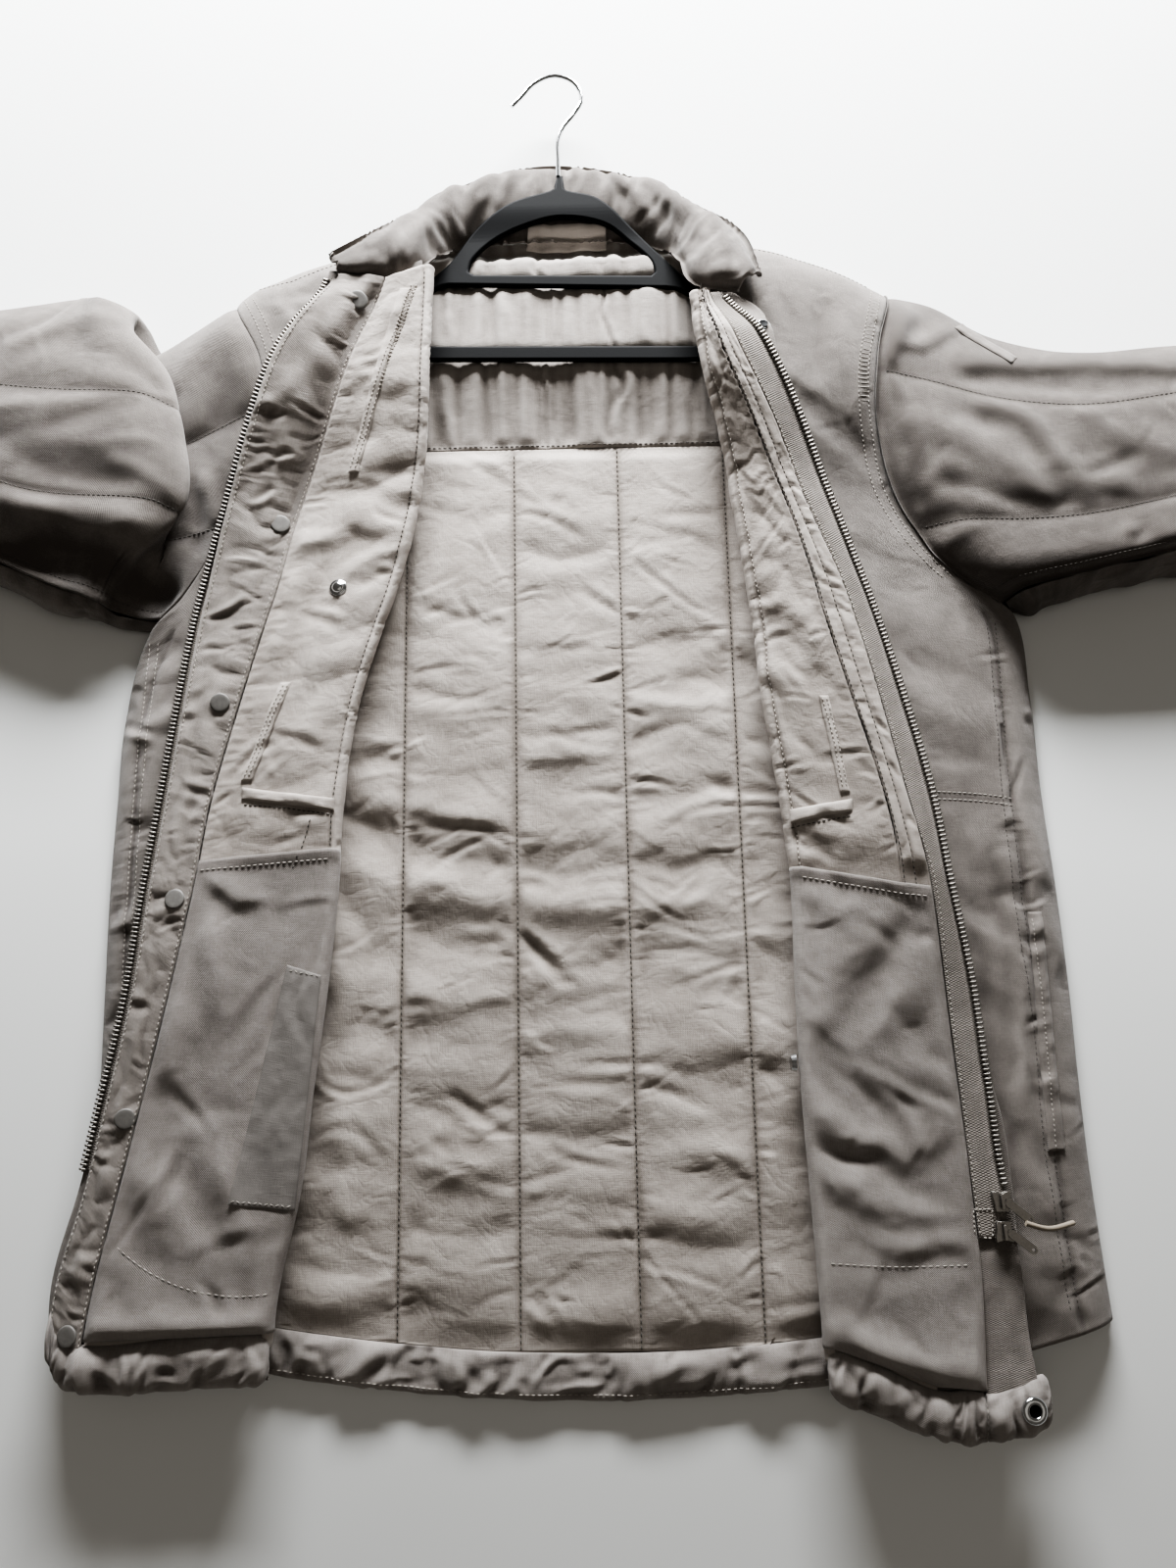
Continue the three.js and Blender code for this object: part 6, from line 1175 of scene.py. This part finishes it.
def collar():
    roll_w, roll_f = [0, 0.14, 0.45, 0.8, 1], [0, 0.66, 1, 0.8, 0]
    st_w, st_f = [0, 0.26, 0.60, 0.86, 1], [0, 0.55, 0.98, 0.92, 0]
    rows = []
    for ix, iy, ox, oy, zi, top, lip, stand in COLLAR:
        r = []
        for k in range(5):
            w = lerp(roll_w[k], st_w[k], stand); f = lerp(roll_f[k], st_f[k], stand)
            r.append((lerp(ix, ox, w), lerp(iy, oy, w), lerp(zi, top, f) if k < 2 else lerp(lip, top, f)))
        rows.append(r)
    G, _, _ = spline(np.array(rows), 0, step=2.4)
    G, q, p = spline(G, 1, step=2.2)
    for k in range(3): G[..., k] = blur(G[..., k], 1.2, 2.5)
    N = grid_normals(G); N *= np.sign(N[..., 2].mean())
    G = G + N * 2.0
    su, sv = arc_len(G)
    X = G[..., 0]
    w = su / su[:, -1:]
    along = sv
    edge = ramp(0, 6, su) * ramp(0, 6, su[:, -1:] - su) * ramp(0, 5, sv) * ramp(0, 5, sv[-1:] - sv)
    line5 = np.exp(-((su[:, -1:] - su - 9) / 1.3) ** 2)
    wr = noise(X.shape, 12 / 2.2, 5 / 2.4, 701) * 1.3 + noise(X.shape, 8 / 2.2, 14 / 2.4, 702) * 1.4 + noise(X.shape, 3, 1.6, 703) * 0.5
    target = (0.9 + 1.4 * creases(X.shape, 12 / 2.2, 11 / 2.4, 702) + crumples(G[..., 0], G[..., 1], 150, 82, 20, 14, 3.2, 1.2, 705) + 0.9 * strokes(G[..., 0], G[..., 1], COLLAR_FOLDS, 75, 0.9)) * edge
    start = target + wr * edge
    pin = np.zeros(X.shape, bool); pin[:, 0] = True; pin[0] = True; pin[-1] = True
    P = relax(G, N, 0.015, 0.05, start, target, lo=-2.5, hi=5.0, pin=pin, iters=60, kt=0.04, bend=0.04)
    # the collar is lightened by +0.10 as painted light
    piece("collar_cloth", P, "shell", t=4.0, edge=1.0, held="folded", rests=("back_shell",), replaces=("collar",), sign=1, painted_light_shade_offset=np.full(X.shape, 0.10))

# ---------------------------------------------------------------- strips, zip, small parts
def storm_and_tape():
    v = np.linspace(0, 1, int(750 / 2.4))[:, None]
    sp = FRONT["L"]
    ye = lerp(sp["flap"][2], sp["neck"][2], v)
    x0 = line("tapeL", ye) + 0.5
    x1 = np.maximum(line("zipL", ye) + herm(STORM[:, 0], STORM[:, 1], ye), x0 + 9)
    t = np.linspace(0, 1, 18)[None, :]
    x = lerp(x0, x1, t)
    P0 = np.stack([x, np.maximum(ye, sp["flap"][2] + 21) + 0 * t, top_z("L", x, ye + 0 * t) + 1.0], 2)
    P0[..., 2] += 2.4 * ramp(-300, -340, P0[..., 1]) + 2.0 * ramp(250, 290, P0[..., 1]) * t
    N = up_normals(P0, None)
    X, Y = P0[..., 0], P0[..., 1]
    lowp = ramp(-296, -320, Y) + ramp(270, 290, Y)
    wr = (noise(X.shape, 3.0, 5.0, 801) * 1.3 + noise(X.shape, 2.0, 2.0, 802) * 0.5) * lowp
    pin = np.zeros(X.shape, bool); pin[0] = True; pin[-1] = True; pin[:, 0] = True
    P = relax(P0, N, 0.02 * lowp, 0.03 * lowp, wr, 0.5 * wr, lo=-1.5, hi=5, pin=pin, iters=40, kt=0.05, bend=0.04)
    piece("storm_flap_cloth", P, "shell", t=2.0, edge=0.6, held="folded", rests=("front_l_shell",), replaces=("storm_flap_l",))
    # zip tape
    y = np.linspace(-326, 325, 250)[:, None]
    a = line("tapeL", y) + 0.6; b = np.maximum(line("zipL", y) - 1.0, a + 8)
    t = np.linspace(0, 1, 12)[None, :]
    x = lerp(a, b, t)
    z = top_z("L", x, y + 0 * t) + 4.4 - 1.4 * np.exp(-((t - 0.92) / 0.10) ** 2) + 0.25 * noise(x.shape, 1.5, 6, 810)
    piece("zip_tape_l_cloth", np.stack([x, y + 0 * t, z], 2), "tape", t=1.2, edge=0.2, held="folded", rests=("storm_flap_l",), replaces=("zip_tape_l",))
    y = np.linspace(-276, 344, 240)[:, None]
    t = np.linspace(0, 1, 6)[None, :]
    x = line("zipR", y) + lerp(-1.5, 7.5, t)
    z = top_z("R", x, y + 0 * t) + 1.4 + 0.5 * t
    # the right zip tape is darkened by -0.5 as painted shade
    piece("zip_tape_r_cloth", np.stack([x, y + 0 * t, z], 2), "tape", t=1.0, edge=0.2, held="folded", rests=("front_r_shell",), replaces=("zip_tape_r",), painted_light_shade_offset=np.full(x.shape, -0.5))
    teeth("zip_teeth_r", "R", lambda y: line("zipR", y) - 0.4, 344, -276, 2.4, -1)
    teeth("zip_teeth_l", "L", lambda y: line("zipL", y) + 0.4, 322, -296, 4.2, 1)
def teeth(name, letter, xf, y0, y1, lift, side):
    """Moulded teeth in a row: each is a block with a nose."""
    ys = np.linspace(y0, y1, 4000)
    xs = xf(ys)
    s = np.concatenate([[0], np.cumsum(np.hypot(np.diff(xs), np.diff(ys)))])
    n = int(s[-1] / 2.9)
    q = (np.arange(n) + 0.5) * 2.9
    X, Y = np.interp(q, s, xs), np.interp(q, s, ys)
    Z = top_z(letter, X, Y) + lift
    dx, dy = np.interp(q + 1, s, xs) - X, np.interp(q + 1, s, ys) - Y
    l = np.hypot(dx, dy); tx, ty = dx / l, dy / l
    nx, ny = -ty * 1.0, tx * 1.0
    sg = np.where(nx * side > 0, 1, -1); nx, ny = nx * sg, ny * sg
    # outline of a tooth along its length (across the zip) and half width (along the zip)
    prof = [(-2.6, 0.75, 0.9), (-0.6, 0.85, 1.25), (0.7, 0.6, 1.15), (1.5, 0.95, 1.2), (2.3, 0.55, 0.8)]
    V = []
    for a, w, h in prof:
        for e, f in ((-1, -1), (1, -1), (1, 0.7), (0.55, 1), (-0.55, 1), (-1, 0.7)):
            V.append(np.stack([X + nx * a + tx * e * w, Y + ny * a + ty * e * w, Z + f * h], 1))
    V = np.stack(V, 1).reshape(-1, 3)
    f = []
    for a in range(4):
        for b in range(6): f.append([a * 6 + b, a * 6 + (b + 1) % 6, (a + 1) * 6 + (b + 1) % 6, (a + 1) * 6 + b])
    quads = np.array(f)
    caps = np.array([[0, 5, 4, 1], [1, 4, 3, 2], [24, 25, 28, 29], [25, 26, 27, 28]])
    F_ = (np.arange(n)[:, None, None] * 30 + np.concatenate([quads, caps])[None]).reshape(-1, 4)
    mesh_from(name, V, F_, M["metal"], smooth=False)
def patch(name, corners, mat, lift, thick, replaces, step=1.6, only=None, puff=0.0, seed=1, held="laid", rests=()):
    a, b, c, e = [np.array(q, float) for q in corners]
    nu = max(4, int(np.linalg.norm(b - a) / step)); nv = max(4, int(np.linalg.norm(e - a) / step))
    s = np.linspace(0, 1, nu + 1)[None, :, None]; t = np.linspace(0, 1, nv + 1)[:, None, None]
    XY = lerp(lerp(a, b, s), lerp(e, c, s), t)
    Z = np.array([[surf(x, y, only)[0] for x, y in row] for row in XY])
    Z = blur(Z, 1.2, 1.2) + lift
    ss, tt = s[..., 0], t[..., 0]
    Z += puff * np.sin(math.pi * ss) ** 0.5 * np.sin(math.pi * np.clip(tt, 0, 1)) ** 0.3 + 0.25 * puff * noise(Z.shape, 1.5, 1.5, seed)
    P = np.concatenate([XY, Z[..., None]], 2)
    piece(name, P, mat, t=thick, edge=0.35, held=held, rests=rests, replaces=replaces)
    return P
def disc(name, x, y, r, h, mat, prof, replaces=(), lift=0.2, only=None, tilt=True, seg=40):
    """A turned part on the cloth: rings of (radius share, height share)."""
    zs = [surf(x + r * 0.8 * math.cos(a), y + r * 0.8 * math.sin(a), only)[0] for a in np.linspace(0, 2 * math.pi, 12, endpoint=False)]
    z0 = float(np.mean(zs)) + lift
    gx = (surf(x + r, y, only)[0] - surf(x - r, y, only)[0]) / (2 * r); gy = (surf(x, y + r, only)[0] - surf(x, y - r, only)[0]) / (2 * r)
    gx, gy = max(-0.25, min(0.25, gx)), max(-0.25, min(0.25, gy))
    V, f = [], []
    a = np.linspace(0, 2 * math.pi, seg, endpoint=False)
    for rr, hh in prof:
        for q in a:
            dx, dy = r * rr * math.cos(q), r * rr * math.sin(q)
            V.append((x + dx, y + dy, z0 + h * hh + (gx * dx + gy * dy if tilt else 0)))
    for i in range(len(prof) - 1):
        for k in range(seg):
            f.append([i * seg + k, i * seg + (k + 1) % seg, (i + 1) * seg + (k + 1) % seg, (i + 1) * seg + k])
    o = mesh_from(name, V, f, M[mat])
    if replaces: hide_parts(*replaces)
    return o

# ---------------------------------------------------------------- stage, light, camera
def stage():
    me = bpy.data.meshes.new("floor")
    s = 3.0
    me.from_pydata([(-s, -s, 0), (s, -s, 0), (s, s, 0), (-s, s, 0)], [], [(0, 1, 2, 3)])
    m = plain("floor_pale", (0.80, 0.81, 0.80), 0.75, spec=0.25, vary=0.015, scale=3.0)
    me.materials.append(m)
    o = bpy.data.objects.new("floor", me); bpy.context.scene.collection.objects.link(o)
    o.location.z = -0.0004
    w = bpy.data.worlds.new("soft"); bpy.context.scene.world = w
    w.use_nodes = True
    w.node_tree.nodes["Background"].inputs[0].default_value = (1.0, 0.93, 0.84, 1)
    w.node_tree.nodes["Background"].inputs[1].default_value = 0.11
    def area(name, loc, aim, size, power, color):
        l = bpy.data.lights.new(name, "AREA"); l.shape = "RECTANGLE"; l.size, l.size_y = size; l.energy = power; l.color = color
        q = bpy.data.objects.new(name, l); q.location = loc
        q.rotation_euler = (Vector(aim) - Vector(loc)).to_track_quat("-Z", "Y").to_euler()
        bpy.context.scene.collection.objects.link(q)
    area("window", (0.02, 1.85, 0.72), (0, -0.1, 0), (1.3, 0.5), 190, (0.97, 0.985, 1.0))
    fm = bpy.data.meshes.new("flag")
    fm.from_pydata([(-1.6, 0.92, 0.462), (2.2, 0.92, 0.462), (2.2, 0.92, 1.3), (-1.6, 0.92, 1.3)], [], [(0, 1, 2, 3)])
    fm.materials.append(plain("flag_cloth", (0.02, 0.02, 0.02), 0.9, vary=0.0))
    fo = bpy.data.objects.new("flag", fm); bpy.context.scene.collection.objects.link(fo)
    fo.visible_camera = False; fo.visible_glossy = False; fo.visible_diffuse = False
    area("room", (0.5, -0.6, 2.4), (0, 0, 0), (2.2, 2.2), 5, (1.0, 0.95, 0.88))
    cam = bpy.data.cameras.new("camera")
    cam.sensor_width = 36; cam.sensor_fit = "AUTO"; cam.lens = 27.0
    c = bpy.data.objects.new("camera", cam)
    c.matrix_world = Matrix.Translation((0, -0.2 + OFFY * 0.001, 0.8)) @ Matrix.Rotation(math.radians(12.2), 4, "X") @ Matrix.Rotation(math.radians(-1.2), 4, "Z")
    bpy.context.scene.collection.objects.link(c)
    bpy.context.scene.camera = c
    bpy.context.scene.view_settings.view_transform = "AgX"
    bpy.context.scene.view_settings.look = "AgX - High Contrast"

# ---------------------------------------------------------------- build
back_shell()
yoke()
backP = back_lining()
back_hem()
for side in ("R", "L"):
    under_shell(side)
for side in ("R", "L"):
    fronts(side)
storm_and_tape()
sleeve("R"); sleeve("L")
collar()

LIN_R, LIN_L = ("front_r_lining_cloth",), ("front_l_lining_cloth",)
patch("pocket_welt_r_cloth", [(-232, -39), (-170, -48), (-170, -40), (-232, -31)], "lining", 1.2, 1.6, ("pocket_welt_r",), puff=1.2, rests=("front_r_lining",))
patch("pocket_welt_l_cloth", [(134, -63), (174, -57), (174, -49), (134, -54)], "lining", 1.2, 1.6, ("pocket_welt_l",), puff=1.2, rests=("front_l_lining",))
patch("pocket_edge_r_cloth", [(-233, -26), (-226, -26), (-202, 42), (-209, 42)], "lining", 0.9, 1.2, ("pocket_edge_r",), puff=0.8, rests=("front_r_lining",))
patch("pocket_edge_l_cloth", [(167, -44), (173, -44), (163, 22), (157, 22)], "lining", 0.9, 1.2, ("pocket_edge_l",), puff=0.8, rests=("front_l_lining",))
patch("inner_strip_r_cloth", [(-165, 195), (-158, 195), (-121, 332), (-128, 332)], "lining", 0.9, 1.2, ("inner_strip_r",), puff=0.7, rests=("front_r_lining",))
patch("care_label_cloth", [(-228, -296), (-188, -301), (-175.5, -157), (-197, -150)], "label", 0.8, 0.7, ("care_label",), puff=0.3, rests=("front_r_patch_pocket",))
# the neck label's material is lightened as painted light
patch("neck_label_cloth", [(-38, 387.5), (22, 386.5), (22, 402), (-36, 403)], "neck", 4.0, 0.8, ("neck_label",), puff=1.0, rests=("back_yoke_lining",))
patch("side_welt_l_cloth", [(288, -276), (299, -276), (300, -124), (291, -124)], "shell", 1.2, 1.5, ("side_welt_l",), puff=1.2, rests=("front_l_shell",))
# sleeve pocket tab: an empty flap standing off the sleeve
patch("sleeve_tab_l_cloth", [(275, 302), (309, 266), (314, 271), (282, 307)], "shell", 1.2, 1.6, ("sleeve_tab_l",), puff=0.6, rests=("sleeve_l_top",))

# stitching
for k in (-1.4, 1.4):
    sew("pale", [(-205 + k, 41), (-217 + k, 12), (-226 + k, -15), (-230 + k, -25)], 2.4, 0.9)
    sew("pale", [(-118 + k * 1.3, 336), (-126 + k * 1.3, 309), (-137 + k * 1.3, 276), (-152 + k * 1.3, 229), (-162 + k * 1.3, 197)], 2.4, 0.9)
    sew("pale", [(160 + k, 21), (166 + k, -9), (170 + k, -43)], 2.4, 0.9)
sew("pale", [(-205, 40), (-217, 12), (-226, -15), (-230, -25)], 1.2, 2.2, 0.6, cross=6.0)
sew("pale", [(-118, 336), (-126, 309), (-137, 276), (-152, 229), (-162, 197)], 1.2, 2.2, 0.6, cross=6.5)
sew("pale", [(160, 21), (166, -9), (170, -43)], 1.2, 2.2, 0.6, cross=6.0)
sew("quilt", [(-231, -42.5), (-200, -46), (-170, -51)], 2.4, 0.9)
sew("quilt", [(134, -66), (174, -60)], 2.4, 0.9)
sew("quilt", [(-185, -53), (-190, -70), (-196, -87)], 2.4, 1.2)
sew("pale", [(-298, -320), (-280, -333), (-252, -345), (-222, -350), (-200, -349)], 2.8, 1.5, 0.6)
sew("pale", [(142, -338), (185, -341), (228, -341)], 2.8, 1.5, 0.6)
sew("pale", [(231, -441), (231.5, -428), (232, -415)], 2.2, 1.0, 0.6)
for k in (0, 5):
    sew("pale", [(229, -41 - k), (260, -43 - k), (291, -47 - k)], 2.4, 1.1, 0.6, only=("front_l_shell_cloth",))
for k in (0, 6):
    sew("thread", [(288 - k, 80), (288 - k, 26), (287 - k, -51), (289 - k, -136), (293 - k, -200), (292 - k, -275), (295 - k, -324), (298 - k, -374)], 2.4, 1.1, 0.6, only=("front_l_shell_cloth",))
    sew("pale", [(-306 + k, 78), (-308 + k, 26), (-311 + k, -51), (-311 + k, -136), (-310 + k, -250)], 2.4, 1.1, 0.6, only=("front_r_shell_cloth",))
for k in (3.5, 10.5):
    sew("pale", [(227 - k, 334), (219 - k, 303), (212 - k, 272), (211 - k, 236), (214 - k, 212), (218 - k, 188), (225 - k, 168), (241 - k, 139), (264 - k, 112)], 2.4, 1.0, 0.65, only=("front_l_shell_cloth",))
    sew("pale", [(-250 + k, 338), (-240 + k, 318), (-231 + k, 295), (-226 + k, 270), (-229 + k, 240)], 2.4, 1.0, 0.65, only=("front_r_shell_cloth",))
sew("pale", [(219, 325), (212, 300), (205, 272), (204, 240)], 1.2, 2.6, 0.55, cross=7.0, only=("front_l_shell_cloth",))
sew("thread", [(128, 375), (156, 369), (190, 354), (216, 340)], 2.4, 1.1, 0.6, only=("front_l_shell_cloth",))
sew("thread", [(-238, 350), (-215, 352), (-190, 362), (-165, 374)], 2.4, 1.1, 0.6, only=("front_r_shell_cloth",))
sew("pale", [(100.5, 312), (117, 269), (141, 213), (157, 166), (175, 115), (191, 54), (205, -7), (213, -59), (223, -96), (229, -168), (233, -232), (235, -274), (237, -330)], 2.2, 1.2, 0.7, only=("zip_tape_l_cloth",))
sew("pale", [(234, -309), (246, -309)], 2.2, 0.6, 0.8)
sew("pale", [(233, -325), (244, -326)], 2.2, 0.6, 0.8)
sew("pale", [(233.5, -309), (233, -325)], 2.2, 0.6, 0.8)
sew("pale", [(246, -309), (244.5, -326)], 2.2, 0.6, 0.8)
sew("pale", [(-166, 341), (-143, 338), (-118, 343), (-104, 352)], 2.6, 1.0, 0.7, only=("collar_cloth",))
sew("pale", [(-230, -298), (-222, -250), (-210, -190), (-199, -152)], 2.2, 1.2, 0.5, zig=0.5, only=("care_label_cloth",))
sew("pale", [(-227, -294), (-186, -299)], 2.2, 1.2, 0.5, zig=0.5, only=("care_label_cloth",))
sew("pale", [(-196, -153), (-173, -158)], 2.2, 1.2, 0.5, zig=0.5, only=("care_label_cloth",))
sew("pale", [(293, -275), (294, -200), (293, -126)], 2.2, 1.0, 0.6, only=("side_welt_l_cloth",))

# snap caps, stud, rings, and black discs in the ring holes as painted shade
SNAPS = [(-158, 323), (-213, 159), (-249, 28), (-273, -105), (-297, -244), (-326, -372)]
CAP = [(0.0, 1.0), (0.6, 1.0), (0.84, 0.97), (0.92, 0.86), (0.98, 0.62), (1.0, 0.3), (1.0, 0.0)]
for k, (x, y) in enumerate(SNAPS):
    disc("snap_%d_visual" % (k + 1), x, y, 6.6, 1.3, "snap", CAP, (f"snap_cap_{k + 1}",), lift=0.2 if k < 5 else 1.4)
DOME = [(0.0, 1.0), (0.2, 0.98), (0.42, 0.9), (0.56, 0.74), (0.62, 0.62), (0.66, 0.30), (0.8, 0.26), (0.95, 0.2), (1.0, 0.08), (0.98, 0.0)]
disc("stud_r_visual", -171, 110, 6.2, 3.4, "chrome", DOME, ("stud_r",), lift=0.1)
RING = [(0.42, 0.0), (0.42, 0.55), (0.5, 0.85), (0.62, 1.0), (0.8, 0.95), (0.94, 0.7), (1.0, 0.3), (1.0, 0.0)]
disc("ring_top_visual", 131.5, 292, 5.9, 2.4, "chrome", RING, ("ring_top_l",), lift=0.8)
disc("ring_bottom_visual", 259, -423, 8.0, 2.6, "chrome", RING, ("ring_bottom_l",), lift=0.1)
# black discs fill the ring holes as painted shade
disc("ring_top_socket", 131.5, 292, 2.8, 0.8, "black", [(0, 0.5), (0.6, 0.5), (1, 1)], lift=0.9)
disc("ring_bottom_socket", 259, -423, 3.6, 0.8, "black", [(0, 0.5), (0.6, 0.5), (1, 1)], lift=0.2)

flush_stitches({"quilt": M["thread"], "thread": M["thread"], "pale": M["thread_pale"]})

# puller cord: two plies twisted round each other are bump on one line
def cord_curve():
    pts = [(263.5, -316.5, 35.5), (270.5, -319.0, 34.5), (279.0, -321.8, 31.0), (288.0, -320.2, 27.5), (297.0, -318.6, 24.0)]
    cu = bpy.data.curves.new("puller_cord_curve", "CURVE")
    cu.dimensions = "3D"; cu.bevel_depth = 0.0016; cu.bevel_resolution = 4; cu.resolution_u = 10; cu.use_fill_caps = True
    s = cu.splines.new("NURBS"); s.points.add(len(pts) - 1); s.order_u = 4; s.use_endpoint_u = True
    for q, (x, y, z) in zip(s.points, pts): q.co = (x * 0.001, (y + OFFY) * 0.001, z * 0.001, 1)
    cu.materials.append(M["cord"])
    o = bpy.data.objects.new("puller_cord_visual", cu)
    bpy.context.scene.collection.objects.link(o)
    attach(o, "pull_upper")
    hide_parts("puller_cord")
    prev = None
    import mathutils
    ev = o.evaluated_get(bpy.context.evaluated_depsgraph_get())
cord_curve()

def flat_shape(name, outer, holes, z0, thick, mat, bevel, body="jacket", replaces=(), lift=None):
    """A moulded or pressed part: an outline with holes, mm, its edges rounded."""
    cu = bpy.data.curves.new(name, "CURVE")
    cu.dimensions = "2D"; cu.fill_mode = "BOTH"; cu.extrude = (thick / 2 - bevel) * 0.001; cu.bevel_depth = bevel * 0.001; cu.bevel_resolution = 3; cu.offset = -bevel * 0.001
    for loop in [outer] + list(holes):
        p = np.array(loop, float)
        s = cu.splines.new("POLY"); s.points.add(len(p) - 1); s.use_cyclic_u = True
        for q, (x, y) in zip(s.points, p): q.co = (x * 0.001, (y + OFFY) * 0.001, 0, 1)
    t = bpy.data.objects.new(name + "_curve", cu); bpy.context.scene.collection.objects.link(t)
    me = bpy.data.meshes.new_from_object(t.evaluated_get(bpy.context.evaluated_depsgraph_get()))
    bpy.data.objects.remove(t)
    for v in me.vertices:
        v.co.z += (z0 + thick / 2) * 0.001
        if lift: v.co.z += lift(v.co.x * 1000, v.co.y * 1000 - OFFY) * 0.001
    me.materials.clear(); me.materials.append(M[mat])
    o = bpy.data.objects.new(name, me); bpy.context.scene.collection.objects.link(o)
    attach(o, body)
    if replaces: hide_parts(*replaces)
    return o
def smooth_line(pts, n=8):
    p = np.array(pts, float); d = np.concatenate([[0], np.cumsum(np.linalg.norm(np.diff(p, axis=0), axis=1))])
    s = np.linspace(0, d[-1], n * (len(p) - 1) + 1)
    return np.stack([herm(d, p[:, 0], s), herm(d, p[:, 1], s)], 1)
ARCH_TOP = [(-150, 337), (-122, 349), (-98, 367), (-76, 397), (-50, 418), (-20, 428)]
ARCH_TOP_L = [(-6, 428), (17, 421), (43, 395), (62, 374), (84, 352), (120, 336)]
outer = [(-204, 303), (-196, 312)] + list(map(tuple, smooth_line(ARCH_TOP))) + [(-16.5, 430), (-15, 441), (-9, 441), (-8.5, 430)] + list(map(tuple, smooth_line(ARCH_TOP_L))) + [(172, 311), (180, 303), (172, 288), (82, 285), (-106, 289), (-196, 292)]
hole_up = list(map(tuple, smooth_line([(-81, 362), (-78, 372), (-63, 387), (-41, 398), (-12, 405), (21, 399), (42, 382), (55, 368), (58, 359)]))) + [(55, 356), (-77, 359.5)]
hole_low = [(-184, 304)] + list(map(tuple, smooth_line([(-150, 325), (-112, 342), (-104, 349), (-96, 351)], 4))) + list(map(tuple, smooth_line([(66, 345), (76, 343), (84, 338), (130, 318)], 4))) + [(158, 299), (82, 297), (-106, 301)]
flat_shape("hanger_visual", outer, [hole_up, hole_low], 17.6, 4.8, "black", 2.0, lift=lambda x, y: 3.0 * float(ramp(385, 415, y)), replaces=("hanger_body", "hanger_neck"))
mm = lambda node: [np.array(v) * 1000 - np.array([0, OFFY, 0]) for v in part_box(node)]
def slider_visual(node, up):
    lo, hi = mm(node); c = (lo + hi) / 2; s = 1 if up else -1
    out = [(-4.2, -6.2), (-4.6, -1), (-5.6, 2.5), (-5.4, 6.2), (-1.6, 5.2), (0, 3.6), (1.6, 5.2), (5.4, 6.2), (5.6, 2.5), (4.6, -1), (4.2, -6.2)]
    loop = [(c[0] + x, c[1] + s * y) for x, y in (out if up else out[::-1])]
    flat_shape(node + "_top_plate", loop, [], hi[2] - 1.6, 1.6, "metal", 0.4, replaces=(node,))
    flat_shape(node + "_low_plate", loop, [], lo[2], 1.3, "metal", 0.35)
    post = [(c[0] + 1.8 * math.cos(a), c[1] + s * 3.2 + 1.8 * math.sin(a)) for a in np.linspace(0, 2 * math.pi, 14, endpoint=False)]
    flat_shape(node + "_post", post, [], lo[2] + 0.8, hi[2] - lo[2] - 1.6, "metal", 0.1)
    crown = [(c[0] - 1.1, c[1] - 4.6), (c[0] + 1.1, c[1] - 4.6), (c[0] + 1.1, c[1] + 4.6), (c[0] - 1.1, c[1] + 4.6)]
    flat_shape(node + "_crown", crown, [], hi[2] + 1.9, 1.0, "metal", 0.3)
slider_visual("zip_slider_upper", True); slider_visual("zip_slider_lower", False)

for name, key in {"hanger_hook": "chrome", "zip_pull_upper": "metal", "zip_pull_lower": "metal", "stud_l": "chrome"}.items():
    o = bpy.data.objects.get(name)
    if o is None: o = next(q for q in bpy.data.objects if q.get("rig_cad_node") == name)
    o.data.materials.clear(); o.data.materials.append(M[key])
    if name == "hanger_hook":
        for p in o.data.polygons: p.use_smooth = True

stage()
for o, W, L, area, held, rests in SHEETS:
    W, L = max(W, 0.0101), max(L, 0.0101)
